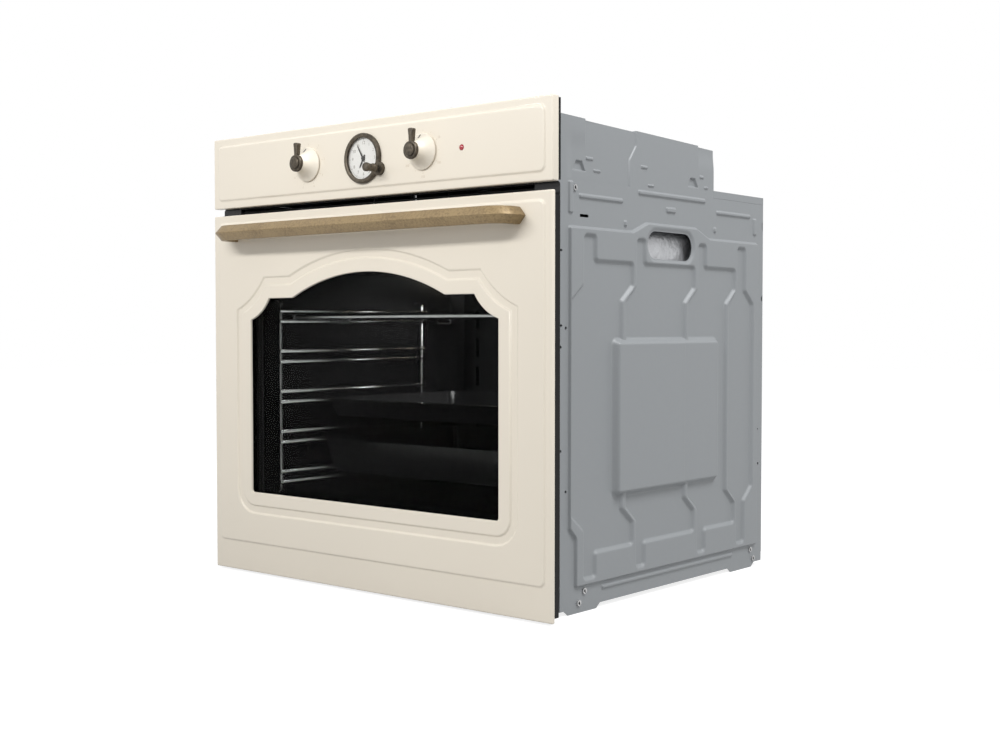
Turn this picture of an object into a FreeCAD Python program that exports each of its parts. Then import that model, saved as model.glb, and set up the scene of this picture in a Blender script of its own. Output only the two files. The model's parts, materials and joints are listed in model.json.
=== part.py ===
# Built-in oven with an arched enamelled door, modelled as separate pieces, in millimetres.
# X runs to the right as seen from the front, Y to the back, Z up.
# The origin lies on the base plane, in the middle of the overall box.
import FreeCAD
import Part
import math
import os

V = FreeCAD.Vector

# Front of the oven
FRONT_WIDTH = 597.0
DOOR_LIFT = 3.0
DOOR_HEIGHT = 489.0
AIR_SLOT = 10.0
PANEL_HEIGHT = 96.0
ENAMEL_SHEET = 1.0
PRESSING = 1.8
PRESSING_SLOPE = 3.0
FIELD_RADIUS = 9.0
DOOR_RETURN = 5.8
PANEL_RETURN = 12.0
DOOR_FIELD_MARGIN = 9.5
DOOR_FIELD_BOTTOM = 39.0
PANEL_FIELD_MARGIN = 9.5

# Arched window in the door, measured from the door's edges
WINDOW_SIDE_MARGIN = 78.5
WINDOW_BOTTOM = 110.0
WINDOW_COVE_HEIGHT = 29.0
WINDOW_ARCH_RISE = 31.0
WINDOW_COVE_WIDTH = 37.0
WINDOW_FLAT_LENGTH = 47.0
WINDOW_TOP_MARGIN = 84.0
WINDOW_CORNER = 4.0
COVE_RADIUS = 64.0
GROOVE_INNER = 16.5
GROOVE_OUTER = 30.0
GROOVE_DEPTH = 2.0
GROOVE_SLOPE = 3.0

# Door build-up behind the front sheet
GLASS = 4.0
INNER_GLASS_DEPTH = 26.0
OUTER_GLASS_MARGIN = 14.5
OUTER_GLASS_BOTTOM = 70.0
OUTER_GLASS_DROP = 46.0
INNER_GLASS_MARGIN = 34.5
INNER_GLASS_BOTTOM = 60.0
INNER_GLASS_DROP = 36.0
GLASS_CORNER = 6.0
PROFILE_WALL = 1.5
PROFILE_EDGE_GAP = 1.0
PROFILE_FRAME_GAP = 1.0
PROFILE_END_GAP = 5.0
RAIL_HEIGHT = 22.0
RAIL_END_MARGIN = 20.0
RAIL_VENT_PITCH = 40.0
RAIL_VENT_LENGTH = 26.0
RAIL_VENT_HEIGHT = 4.0

# Door hinges
HINGE_DEPTH = 9.0
HINGE_HEIGHT = 19.0
HINGE_INSET = 53.5
HINGE_PLATE = 3.0
HINGE_SIDE_GAP = 0.6
HINGE_CHEEK = 1.5
HINGE_PIN_RADIUS = 3.0
HINGE_EYE_RADIUS = 5.4
HINGE_ARM_HALF = 4.6
HINGE_CHEEK_TOP = 56.0
HINGE_CHEEK_WEB = 12.0
HINGE_CHEEK_CORNER = 2.0
HINGE_FOOT_SETBACK = 2.0
HINGE_FOOT_LENGTH = 48.0
HINGE_FOOT_CLEAR = 4.0
HINGE_FOOT_CORNER = 6.0
HINGE_ARM_CORNER = 4.0
HINGE_NOTCH_GAP = 0.6

# Bow handle
HANDLE_INSET = 32.5
HANDLE_DROP = 28.0
HANDLE_BEND = 26.0
HANDLE_BOW_ANGLE = 5.2
HANDLE_RIDGE = 9.0
HANDLE_BACK = 7.0
HANDLE_HALF = 10.5
HANDLE_SCREW_RADIUS = 2.4
HANDLE_SCREW_BITE = 14.0
HANDLE_SCREW_HEAD_RADIUS = 4.6
HANDLE_SCREW_HEAD = 2.2

# Front frame round the cavity mouth
FRAME_SHEET = 1.2
FRAME_DEPTH = 17.5
FRAME_EDGE_MARGIN = 2.5
FRAME_BOTTOM = 39.0
FRAME_LAP = 1.0
FRAME_CORNER = 4.0
FRAME_STEP_GAP = 6.0
FRAME_STEP_DROP = 7.0
FRAME_STEP_RISE = 8.0
FRAME_STEP_CORNER = 10.0
SEAL_ROOM = 6.0
CABINET_HOLE_INSET = 8.0
CABINET_HOLE_LOW = 123.0
CABINET_HOLE_HIGH = 423.0
CABINET_HOLE_RADIUS = 2.6

# Cavity
CAVITY_SIDE_ROOM = 49.0
CAVITY_BOTTOM = 90.0
CAVITY_TOP_DROP = 60.0
CAVITY_REAR_ROOM = 72.0
CAVITY_SHEET = 1.2
CAVITY_CORNER = 14.0
SEAL_OFFSET = 10.0
SEAL_WIDTH = 12.0
SEAL_LIP = 3.0
SEAL_GAP = 0.4
INSULATION_SIDE_MARGIN = 9.0
INSULATION_FLOOR = 28.0
INSULATION_DECK_GAP = 8.0
INSULATION_SETBACK = 16.8
INSULATION_REAR_MARGIN = 6.0
INSULATION_CORNER = 16.0
INSULATION_SIDE_GAP = 0.4
INSULATION_FLOOR_GAP = 14.0

# Convection fan behind its pressed cover
FAN_RISE = 1.0
FAN_COVER_SIDE_GAP = 21.0
FAN_COVER_FLOOR_GAP = 16.0
FAN_COVER_CEILING_GAP = 28.0
FAN_COVER_DEPTH = 34.0
FAN_COVER_SLOPE = 16.0
FAN_COVER_FLANGE = 10.0
FAN_COVER_SHEET = 1.0
FAN_COVER_CORNER = 26.0
INTAKE_RINGS = 3
INTAKE_RING_STEP = 17.0
INTAKE_HOLES_PER_RING = 6
INTAKE_HOLE_RADIUS = 5.0
OUTLET_SLOTS = 5
OUTLET_SLOT_PITCH = 44.0
OUTLET_SLOT_LENGTH = 30.0
OUTLET_SLOT_WIDTH = 7.0
FAN_BLADES = 12
FAN_RADIUS = 72.0
FAN_DISC_RADIUS = 50.4
FAN_HUB_RADIUS = 14.0
FAN_BLADE_ROOT = 36.0
FAN_BLADE_DEPTH = 16.0
FAN_BLADE_SHEET = 1.2
FAN_BLADE_LEAN = 18.0
FAN_WALL_GAP = 6.0
FAN_SHAFT_RADIUS = 4.0
SHAFT_GAP = 0.4
FAN_MOTOR_RADIUS = 36.0
FAN_MOTOR_LENGTH = 46.0
FAN_MOTOR_STANDOFF = 24.0
FAN_MOTOR_LEGS = 4
FAN_MOTOR_LEG = 8.0
FAN_MOTOR_BEVEL = 8.0
RING_HEATER_RADIUS = 92.0
HEATER_RADIUS = 3.2
RING_HEATER_WALL_GAP = 12.0

# Grill and bottom heating loops
GRILL_DROP = 16.0
GRILL_FRONT = 76.0
GRILL_TURN_FRONT = 130.0
GRILL_REAR_ROOM = 86.0
GRILL_LEG_X = 30.0
GRILL_LEG_PITCH = 60.0
GRILL_FOLDS = 3
GRILL_CORNER = 24.0
BOTTOM_LOOP_INSET = 56.0
BOTTOM_LOOP_FRONT = 90.0
BOTTOM_LOOP_TAIL = 6.0
BOTTOM_LOOP_CORNER = 40.0
HEATER_SEAT_GAP = 0.3

# Oven lamp in the back wall
LAMP_INSET = 56.0
LAMP_DROP = 14.0
LAMP_HOLDER_RADIUS = 11.0
LAMP_HOLDER_LENGTH = 34.0
LAMP_HOLDER_TAPER = 2.0
LAMP_FLANGE = 5.0
LAMP_FLANGE_THICKNESS = 4.0
LAMP_LENS_RADIUS = 10.0
LAMP_LENS_LENGTH = 16.0
LAMP_LENS_WALL = 2.0
LAMP_LENS_DOME = 8.0
LAMP_CROWN_INSET = 4.0
LAMP_CROWN_DROP = 1.0
LAMP_SHOULDER_INSET = 1.0
LAMP_SHOULDER_DROP = 4.0

# Wire racks, shelf and trays
RACK_WIRE = 2.5
RACK_POST_GAP = 14.0
RACK_RAIL_OFFSET = 4.2
RACK_BEND = 6.0
RACK_SETBACK = 9.8
RACK_REAR_ROOM = 115.0
RACK_OVERHANG = 5.0
RACK_LEVELS = 5
RACK_FLOOR_GAP = 48.0
RACK_PITCH = 55.75
RACK_PAIR = 14.5
RACK_POST_MARGIN = 14.0
SEAT_GAP = 0.3
SHELF_ROD = 3.0
SHELF_FRONT = 55.0
SHELF_COVER_GAP = 20.0
SHELF_SIDE_GAP = 2.8
SHELF_CORNER = 14.0
SHELF_WIRE = 1.5
SHELF_WIRES = 15
SHELF_BARS = 2
TRAY_SHEET = 1.0
TRAY_COVER_GAP = 12.0
TRAY_RIM_OVERLAP = 0.7
TRAY_RIM = 12.0
TRAY_CORNER = 20.0
TRAY_SLOPE = 9.0
BAKING_TRAY_FRONT = 97.0
BAKING_TRAY_DEPTH = 24.0
DEEP_TRAY_FRONT = 92.0
DEEP_TRAY_DEPTH = 46.0
SHELF_LEVEL = 5
BAKING_TRAY_LEVEL = 3
DEEP_TRAY_LEVEL = 2

# Casing
CASE_SHEET = 1.0
CASE_SIDE_MARGIN = 23.5
CASE_REAR = 518.0
CASE_BOTTOM = 18.0
CASE_RISE = 9.0
TOP_COVER_HEIGHT = 10.0
SIDE_NOTCH_DEPTH = 46.0
SIDE_NOTCH_TOP = 72.0

# Pressed side panels, with depths behind the door's face and margins from the casing's edges
PRESS_MID_DROP = 0.5
FIELD_RISE = 4.0
PRESS_SLOPE = 3.0
PRESS_CORNER = 5.0
SIDE_FIELD_FRONT = 60.0
SIDE_FIELD_REAR_MARGIN = 16.0
SIDE_FIELD_LOW_MARGIN = 12.0
SIDE_FIELD_TOP_MARGIN = 54.0
CREST_RISE = 12.5
CREST_FRONT_LAP = 2.0
CREST_REAR_LAP = 11.0
CREST_RUN = 33.0
FIELD_FOOT_FRONT = 72.0
FIELD_FOOT_RISE = 17.0
NECK_MARGIN = 9.5
TAB_DROP = 30.0
SHOULDER_DROP = 28.0
WAIST_DROP = 19.0
# Front recesses: neck front, neck rear, waist front, waist rear and shoulder rear behind the door's face
FRONT_RECESSES = (
    (82.0, 112.0, 65.0, 166.0, 190.0),
    (199.0, 217.0, 176.0, 309.0, 332.0),
)
# The same distances of the next recess, and of the plain bottle behind it, ahead of the field's rear edge
REAR_RECESS_AHEAD = (160.0, 142.0, 184.0, 89.0, 66.0)
BOTTLE_AHEAD = (59.0, 39.0, 81.0, 17.0)
PAD_RISE = 9.0
PAD_SLOPE = 9.0
PAD_FRONT = 147.0
PAD_REAR_MARGIN = 108.0
PAD_FOOT = 14.0
PAD_HEAD = 44.0
PAD_STEP = 1.6
PAD_STEP_LENGTH = 93.0
SLOT_FRONT = 224.0
SLOT_REAR = 327.0
SLOT_END_FLAT = 1.0
SLOT_HEIGHT = 35.0
SLOT_DROP = 52.0
BEAD_WIDTH = 7.0
BEAD_RISE = 2.0
TOP_BEAD_FRONT = 73.0
TOP_BEAD_REAR = 163.0
TOP_BEAD_DROP = 19.0
REAR_BEAD_LENGTH = 102.0
REAR_BEAD_MARGIN = 26.0
LOW_BEAD_FRONT = 128.0
LOW_BEAD_MARGIN = 80.0
LOW_BEAD_RISE = 6.5

# Base pan
BASE_FLOOR = 6.0
FOOT_SETBACK = 16.0
FOOT_LENGTH = 56.0
FOOT_REAR_MARGIN = 28.0
FOOT_SLOPE = 8.0
RUNNER_INSET = 75.0
RUNNER_WIDTH = 30.0

# Upper housing over the controls and the cooling blower
HOUSING_FRONT = 40.0
HOUSING_REAR_ROOM = 134.0
HOUSING_DROP = 13.5
HOUSING_FALL = 8.5
HOUSING_STEP = 1.6
FRONT_CREASES = (94.0, 199.0)
LAST_CREASE_MARGIN = 40.0
HOUSING_STEP_DROP = 24.5
GUSSET_DEPTH = 3.0
GUSSET_HALF = 14.0
GUSSET_HEIGHT = 12.0
GUSSET_FOOT = 10.0
FRONT_GUSSET = 84.0
REAR_GUSSET_MARGIN = 52.0
DECK_DROP = 37.0
DECK_EDGE = 10.0

# Rear panel with the motor bulge
REAR_BULGE = 27.0
BULGE_HALF = 110.0
BULGE_HEIGHT = 180.0
BULGE_SLOPE = 22.0
BULGE_CORNER = 30.0
REAR_VENTS = 6
REAR_VENT_PITCH = 22.0
REAR_VENT_LENGTH = 72.0
REAR_VENT_STEP = 92.0
REAR_VENT_WIDTH = 6.0
TERMINAL_INSET = 85.0
TERMINAL_DROP = 71.0
TERMINAL_WIDTH = 76.0
TERMINAL_HEIGHT = 46.0
TERMINAL_DEPTH = 25.0
TERMINAL_WALL = 2.0
TERMINAL_CORNER = 6.0
CABLE_RADIUS = 6.0
CABLE_BOSS = 8.0
CABLE_BOSS_WALL = 2.5

# Cooling blower
BLOWER_DEPTH = 250.0
BLOWER_RADIUS = 55.0
BLOWER_HEIGHT = 24.0
BLOWER_BLADES = 20
BLOWER_BLADE_SHEET = 1.5
BLOWER_BLADE_CHORD = 14.0
BLOWER_BLADE_INSET = 0.5
BLOWER_DISC = 1.5
BLOWER_FLOOR_GAP = 3.0
SCROLL_TIGHT = 62.0
SCROLL_WIDE = 82.0
SCROLL_WALL = 1.5
SCROLL_OUTLET = 60.0
SCROLL_TOP_GAP = 3.0
SCROLL_STEPS = 10
INLET_HOLES = 8
INLET_CIRCLE = 46.0
INLET_RADIUS = 6.0
BLOWER_SHAFT_RADIUS = 4.0
BLOWER_MOTOR_RADIUS = 30.0
BLOWER_MOTOR_HEIGHT = 34.0
BLOWER_MOTOR_BEVEL = 6.0
BLOWER_FLANGE = 6.0
BLOWER_FLANGE_THICKNESS = 2.0

# Controls
CONTROL_DROP = 0.5
KNOB_X = 102.0
KNOB_BASE_RADIUS = 22.0
KNOB_NECK_RADIUS = 10.8
KNOB_NECK_LENGTH = 3.0
KNOB_NECK_FLARE = 0.8
KNOB_WAIST_RADIUS = 15.84
KNOB_WAIST_REACH = 10.175
KNOB_REACH = 18.5
KNOB_RIM = 2.5
KNOB_RIM_STEP = 1.5
KNOB_PANEL_GAP = 0.5
CAP_RADIUS = 11.0
CAP_HEIGHT = 4.5
CAP_EDGE = 1.0
BUTTON_RADIUS = 7.5
BUTTON_HEIGHT = 1.8
LEVER_REACH = 26.0
LEVER_NARROW = 5.0
LEVER_WIDE = 8.5
LEVER_DEPTH = 7.0
LEVER_CORNER = 2.0
LEVER_SETBACK = 0.5
SPINDLE_RADIUS = 3.0
SPINDLE_DEPTH = 34.0
RUN_GAP = 0.4
SWITCH_RADIUS = 19.0
SWITCH_LENGTH = 34.0
SWITCH_COLLAR = 8.0
SWITCH_STEP = 2.0
SWITCH_NOSE = 4.0
THERMOSTAT_HALF = 18.0
THERMOSTAT_PLATE = 18.0
THERMOSTAT_DRUM_RADIUS = 14.4
THERMOSTAT_LENGTH = 36.0
THERMOSTAT_CORNER = 4.0
BRACKET_SHEET = 1.2
BRACKET_MARGIN = 2.0
BRACKET_FLANGE = 44.0
BRACKET_FLANGE_INSET = 18.0
BRACKET_EAR_LIFT = 4.0
INDICATOR_X = 164.0
INDICATOR_RADIUS = 3.5
INDICATOR_DOME = 1.6
INDICATOR_CROWN_INSET = 1.4
INDICATOR_CROWN_DROP = 0.32
INDICATOR_LENGTH = 16.0
PROBE_TUBE_INSET = 3.2
PROBE_BULB_RADIUS = 2.6
PROBE_BULB_LENGTH = 90.0
PROBE_TUBE_RADIUS = 1.0
PROBE_CEILING_GAP = 2.6
PROBE_BEND = 4.0

# Clock
BEZEL_RADIUS = 31.5
BEZEL_LIP_RADIUS = 26.0
BEZEL_DEPTH = 5.0
BEZEL_LIP = 1.3
BEZEL_EDGE = 1.5
BEZEL_INNER_BEVEL = 0.6
LENS_RADIUS = 27.7
LENS_THICKNESS = 1.0
LENS_GAP = 0.2
DIAL_RADIUS = 26.6
DIAL_THICKNESS = 1.0
DIAL_HOLE_GAP = 0.5
CLOCK_DRUM_RADIUS = 26.0
CLOCK_BOX_HALF = 36.0
CLOCK_FLANGE_GAP = 2.5
CLOCK_BOX_DROP = 30.0
CLOCK_BOX_CORNER = 5.0
CLOCK_BOX_DEPTH = 28.0
HAND_THICKNESS = 0.4
HAND_STEP = 0.5
MINUTE_LENGTH = 21.0
MINUTE_WIDTH = 2.0
MINUTE_TIP = 5.25
HOUR_LENGTH = 14.0
HOUR_WIDTH = 2.6
HOUR_TIP = 3.5
HAND_BOSS = 0.4
HAND_TAIL = 5.0
MINUTE_ARBOR = 1.0
HOUR_PIPE = 2.2
ARBOR_DEPTH = 12.0
ARBOR_STEP = 2.0
MINUTE_ANGLE = 120.0
HOUR_ANGLE = 240.0
WINDER_OFFSET = 32.5
WINDER_ANGLE = -27.0
WINDER_BOSS_RADIUS = 8.5
WINDER_STEM_RADIUS = 2.2
WINDER_RADIUS = 5.5
WINDER_LENGTH = 19.0
WINDER_TRAVEL = 2.0
WINDER_REST_GAP = 1.0
WINDER_STEM_DEPTH = 24.0
WINDER_WAIST = 0.8
WINDER_CAP = 4.0
WINDER_EDGE = 1.5
WINDER_BAND = 5.0
WINDER_BAND_SLOPE = 1.0

# Air outlet between door and panel
OUTLET_SHEET = 1.5
OUTLET_LENGTH = 6.0
OUTLET_SIDE_MARGIN = 36.0
OUTLET_DROP = 4.0
OUTLET_PANEL_GAP = 1.0
OUTLET_LOUVRES = 2
OUTLET_RISE = 3.0

# Screws that hold the casing
SCREW_HEAD_RADIUS = 3.6
SCREW_HEAD = 2.0
SCREW_SHANK_RADIUS = 1.5
SCREW_SHANK = 5.0
TOP_SCREW_DEPTH = 73.0
TOP_SCREW_DROP = 10.0
LOW_SCREW_DEPTH = 93.0
LOW_SCREW_RISE = 7.0
LOW_SCREW_REAR_MARGIN = 32.0
BASE_SCREW_DEPTH = 82.0
BASE_SCREW_REAR_MARGIN = 24.0
# Small holes in a side panel: depth and height of the front ones
FRONT_HOLES = ((57.0, 337.0), (47.0, 315.0), (47.0, 194.0), (57.0, 146.0))
# Distance ahead of the rear edge and height of the rear ones
REAR_HOLES_AHEAD = ((15.0, 337.0), (12.0, 194.0), (10.0, 145.0))
SIDE_HOLE_RADIUS = 1.8

# Values that follow from the sizes above: the front and the door
FRONT_HALF = FRONT_WIDTH / 2
DOOR_TOP = DOOR_LIFT + DOOR_HEIGHT
PANEL_BOTTOM = DOOR_TOP + AIR_SLOT
PANEL_TOP = PANEL_BOTTOM + PANEL_HEIGHT
CONTROL_Z = (PANEL_BOTTOM + PANEL_TOP) / 2 - CONTROL_DROP
WINDOW_HALF = FRONT_HALF - WINDOW_SIDE_MARGIN
WINDOW_FLAT_HALF = WINDOW_HALF - WINDOW_COVE_WIDTH
WINDOW_ARCH_HALF = WINDOW_FLAT_HALF - WINDOW_FLAT_LENGTH
WINDOW_APEX = DOOR_HEIGHT - WINDOW_TOP_MARGIN
WINDOW_FLAT = WINDOW_APEX - WINDOW_ARCH_RISE
WINDOW_SHOULDER = WINDOW_FLAT - WINDOW_COVE_HEIGHT
OUTER_GLASS_DEPTH = GROOVE_DEPTH + ENAMEL_SHEET + SEAT_GAP
OUTER_GLASS_HALF = FRONT_HALF - OUTER_GLASS_MARGIN
OUTER_GLASS_TOP = DOOR_TOP - OUTER_GLASS_DROP
INNER_GLASS_HALF = FRONT_HALF - INNER_GLASS_MARGIN
INNER_GLASS_TOP = DOOR_TOP - INNER_GLASS_DROP
PROFILE_REAR = FRAME_DEPTH - PROFILE_FRAME_GAP
HINGE_X = FRONT_HALF - HINGE_INSET
HANDLE_END_X = FRONT_HALF - HANDLE_INSET
HANDLE_HEIGHT = DOOR_TOP - HANDLE_DROP
HANDLE_BOW = math.radians(HANDLE_BOW_ANGLE)
HANDLE_BOW_START = HANDLE_END_X - HANDLE_BEND * (1 - math.sin(HANDLE_BOW))
HANDLE_SAGITTA = HANDLE_BOW_START * math.tan(HANDLE_BOW / 2)
HANDLE_CENTRE = HANDLE_BEND * math.cos(HANDLE_BOW) + HANDLE_SAGITTA
HANDLE_REACH = HANDLE_CENTRE + HANDLE_RIDGE

# Values that follow: the casing and the place of everything along Y
CASE_HALF = FRONT_HALF - CASE_SIDE_MARGIN
CASE_FRONT = FRAME_DEPTH + FRAME_SHEET
CASE_TOP = PANEL_BOTTOM + CASE_RISE
TOP_COVER_Z = CASE_TOP + TOP_COVER_HEIGHT
DECK_Z = CASE_TOP - DECK_DROP
OVERALL_REAR = CASE_REAR + CASE_SHEET + REAR_BULGE
FRONT_Y = (HANDLE_REACH - OVERALL_REAR) / 2
BASE_FRONT = SIDE_NOTCH_DEPTH
FOOT_FRONT = BASE_FRONT + FOOT_SETBACK
FOOT_REAR = CASE_REAR - FOOT_REAR_MARGIN
RUNNER_X = CASE_HALF - RUNNER_INSET
HOUSING_REAR = CASE_REAR - HOUSING_REAR_ROOM
HOUSING_FRONT_Z = PANEL_TOP - HOUSING_DROP
HOUSING_REAR_Z = HOUSING_FRONT_Z - HOUSING_FALL
HOUSING_STEP_Z = HOUSING_FRONT_Z - HOUSING_STEP_DROP
HOUSING_CREASES = FRONT_CREASES + (HOUSING_REAR - LAST_CREASE_MARGIN,)
GUSSET_DEPTHS = (FRONT_GUSSET, HOUSING_REAR - REAR_GUSSET_MARGIN)
TERMINAL_X = TERMINAL_INSET - CASE_HALF
TERMINAL_Z = CASE_TOP - TERMINAL_DROP

# Values that follow: the pressings and holes of a side panel
SIDE_FIELD_REAR = CASE_REAR - SIDE_FIELD_REAR_MARGIN
SIDE_FIELD_BOTTOM = CASE_BOTTOM + SIDE_FIELD_LOW_MARGIN
SIDE_FIELD_TOP = CASE_TOP - SIDE_FIELD_TOP_MARGIN
SIDE_FIELD_CREST = SIDE_FIELD_TOP + CREST_RISE
CREST_FRONT = SLOT_FRONT - CREST_FRONT_LAP
CREST_REAR = SLOT_REAR + CREST_REAR_LAP
FIELD_FOOT_TOP = SIDE_NOTCH_TOP + FIELD_FOOT_RISE
PRESS_MID = (SIDE_FIELD_BOTTOM + SIDE_FIELD_TOP) / 2 - PRESS_MID_DROP
NECK_HALF = (SIDE_FIELD_TOP - SIDE_FIELD_BOTTOM) / 2 - NECK_MARGIN
TAB_HALF = NECK_HALF - TAB_DROP
SHOULDER_HALF = TAB_HALF - SHOULDER_DROP
WAIST_HALF = SHOULDER_HALF - WAIST_DROP
REAR_RECESS = tuple(SIDE_FIELD_REAR - ahead for ahead in REAR_RECESS_AHEAD)
TABBED_RECESSES = FRONT_RECESSES + (REAR_RECESS,)
BOTTLE_RECESS = tuple(SIDE_FIELD_REAR - ahead for ahead in BOTTLE_AHEAD)
PAD_REAR = SIDE_FIELD_REAR - PAD_REAR_MARGIN
PAD_STEP_FRONT = PAD_REAR - PAD_STEP_LENGTH
PAD_BOTTOM = PRESS_MID - WAIST_HALF + PAD_FOOT
PAD_TOP = PRESS_MID + WAIST_HALF - PAD_HEAD
SLOT_TOP = CASE_TOP - SLOT_DROP
SLOT_BOTTOM = SLOT_TOP - SLOT_HEIGHT
TOP_BEAD_Z = CASE_TOP - TOP_BEAD_DROP
REAR_BEAD_REAR = CASE_REAR - REAR_BEAD_MARGIN
REAR_BEAD_FRONT = REAR_BEAD_REAR - REAR_BEAD_LENGTH
LOW_BEAD_REAR = CASE_REAR - LOW_BEAD_MARGIN
LOW_BEAD_Z = CASE_BOTTOM + LOW_BEAD_RISE
LOW_SCREW_Z = CASE_BOTTOM + LOW_SCREW_RISE
BASE_SCREW_Z = (BASE_FLOOR + CASE_BOTTOM) / 2
SIDE_SCREWS = (
    (TOP_SCREW_DEPTH, CASE_TOP - TOP_SCREW_DROP),
    (LOW_SCREW_DEPTH, LOW_SCREW_Z),
    (CASE_REAR - LOW_SCREW_REAR_MARGIN, LOW_SCREW_Z),
)
BASE_SCREWS = ((BASE_SCREW_DEPTH, BASE_SCREW_Z), (CASE_REAR - BASE_SCREW_REAR_MARGIN, BASE_SCREW_Z))
SIDE_HOLES = FRONT_HOLES + tuple((CASE_REAR - ahead, z) for ahead, z in REAR_HOLES_AHEAD)

# Values that follow: the frame, the cavity and what is in it
FRAME_HALF = FRONT_HALF - FRAME_EDGE_MARGIN
FRAME_TOP = PANEL_BOTTOM + FRAME_LAP
FRAME_STEP_HALF = INNER_GLASS_HALF + FRAME_STEP_GAP
FRAME_STEP_BOTTOM = INNER_GLASS_BOTTOM - FRAME_STEP_DROP
FRAME_STEP_TOP = INNER_GLASS_TOP + FRAME_STEP_RISE
FRAME_LAND_DEPTH = INNER_GLASS_DEPTH + GLASS + SEAL_ROOM
FRAME_LAND_REAR = FRAME_LAND_DEPTH + FRAME_SHEET
CABINET_HOLE_X = FRAME_HALF - CABINET_HOLE_INSET
OUTLET_HALF = FRAME_HALF - OUTLET_SIDE_MARGIN
OUTLET_BOTTOM = DOOR_TOP - OUTLET_DROP
OUTLET_TOP = PANEL_BOTTOM - OUTLET_PANEL_GAP
CAVITY_HALF = CASE_HALF - CAVITY_SIDE_ROOM
CAVITY_TOP = DOOR_TOP - CAVITY_TOP_DROP
CAVITY_REAR = CASE_REAR - CAVITY_REAR_ROOM
INSULATION_HALF = CASE_HALF - INSULATION_SIDE_MARGIN
INSULATION_BOTTOM = CAVITY_BOTTOM - INSULATION_FLOOR
INSULATION_TOP = DECK_Z - INSULATION_DECK_GAP
INSULATION_FRONT = FRAME_LAND_REAR + INSULATION_SETBACK
INSULATION_REAR = CAVITY_REAR - INSULATION_REAR_MARGIN
HINGE_FOOT_FRONT = BASE_FRONT + HINGE_FOOT_SETBACK
HINGE_FOOT_REAR = HINGE_FOOT_FRONT + HINGE_FOOT_LENGTH
HINGE_FOOT_TOP = INSULATION_BOTTOM - HINGE_FOOT_CLEAR
FAN_Z = (CAVITY_BOTTOM + CAVITY_TOP) / 2 + FAN_RISE
FAN_COVER_HALF = CAVITY_HALF - FAN_COVER_SIDE_GAP
FAN_COVER_BOTTOM = CAVITY_BOTTOM + FAN_COVER_FLOOR_GAP
FAN_COVER_TOP = CAVITY_TOP - FAN_COVER_CEILING_GAP
FAN_COVER_FACE = CAVITY_REAR - FAN_COVER_DEPTH
RING_HEATER_DEPTH = CAVITY_REAR - RING_HEATER_WALL_GAP
GRILL_Z = CAVITY_TOP - GRILL_DROP
GRILL_TURN_REAR = CAVITY_REAR - GRILL_REAR_ROOM
BOTTOM_LOOP_HALF = CAVITY_HALF - BOTTOM_LOOP_INSET
BOTTOM_LOOP_REAR = CAVITY_REAR + BOTTOM_LOOP_TAIL
LAMP_X = LAMP_INSET - CAVITY_HALF
LAMP_Z = CAVITY_TOP - LAMP_DROP
RACK_POST_X = CAVITY_HALF - RACK_POST_GAP
RACK_RAIL_X = RACK_POST_X - RACK_RAIL_OFFSET
RACK_FRONT = FRAME_LAND_REAR + RACK_SETBACK
RACK_REAR = CAVITY_REAR - RACK_REAR_ROOM
RACK_LOWEST_RAIL = CAVITY_BOTTOM + RACK_FLOOR_GAP
SHELF_HALF = RACK_RAIL_X - SHELF_SIDE_GAP
SHELF_REAR = FAN_COVER_FACE - SHELF_COVER_GAP
TRAY_RIM_HALF = RACK_RAIL_X + TRAY_RIM_OVERLAP
TRAY_REAR = FAN_COVER_FACE - TRAY_COVER_GAP

# Values that follow: the controls
WINDER_X = WINDER_OFFSET * math.cos(math.radians(WINDER_ANGLE))
WINDER_Z = CONTROL_Z + WINDER_OFFSET * math.sin(math.radians(WINDER_ANGLE))
BRACKET_REAR = PANEL_RETURN + BRACKET_SHEET
BRACKET_FLANGE_Z = PANEL_TOP - BRACKET_MARGIN - BRACKET_FLANGE_INSET
CLOCK_BOX_RISE = BRACKET_FLANGE_Z - CLOCK_FLANGE_GAP - CONTROL_Z
PROBE_DEPTH = BRACKET_REAR + THERMOSTAT_LENGTH - PROBE_TUBE_INSET
FAR = 1000.0


# Helpers that draw and place outlines
def at(depth):
    """Y of a plane that lies this far behind the door's front face."""
    return FRONT_Y + depth


def front(u, v, w):
    """Point drawn on the front view: u is X, v is Z, w is the depth behind the front face."""
    return V(u, at(w), v)


def side(u, v, w):
    """Point drawn on the side view: u is the depth behind the front face, v is Z, w is X."""
    return V(w, at(u), v)


def plan(u, v, w):
    """Point drawn on the top view: u is X, v is the depth behind the front face, w is Z."""
    return V(u, at(v), w)


def box(x, depth, z):
    """Block between pairs of X, depth and Z."""
    return Part.makeBox(x[1] - x[0], depth[1] - depth[0], z[1] - z[0], V(x[0], at(depth[0]), z[0]))


def rod(start, end, radius):
    """Round bar between two points."""
    return Part.makeCylinder(radius, start.distanceToPoint(end), start, end - start)


def bar_y(x, z, radius, depth):
    """Round bar along Y between two depths."""
    return rod(front(x, z, depth[0]), front(x, z, depth[1]), radius)


def rect(low_u, high_u, low_v, high_v, radius=0.0):
    """Corners of a rectangle, each with the same radius."""
    corners = ((low_u, low_v), (high_u, low_v), (high_u, high_v), (low_u, high_v))
    return [(u, v, radius) for u, v in corners]


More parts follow.
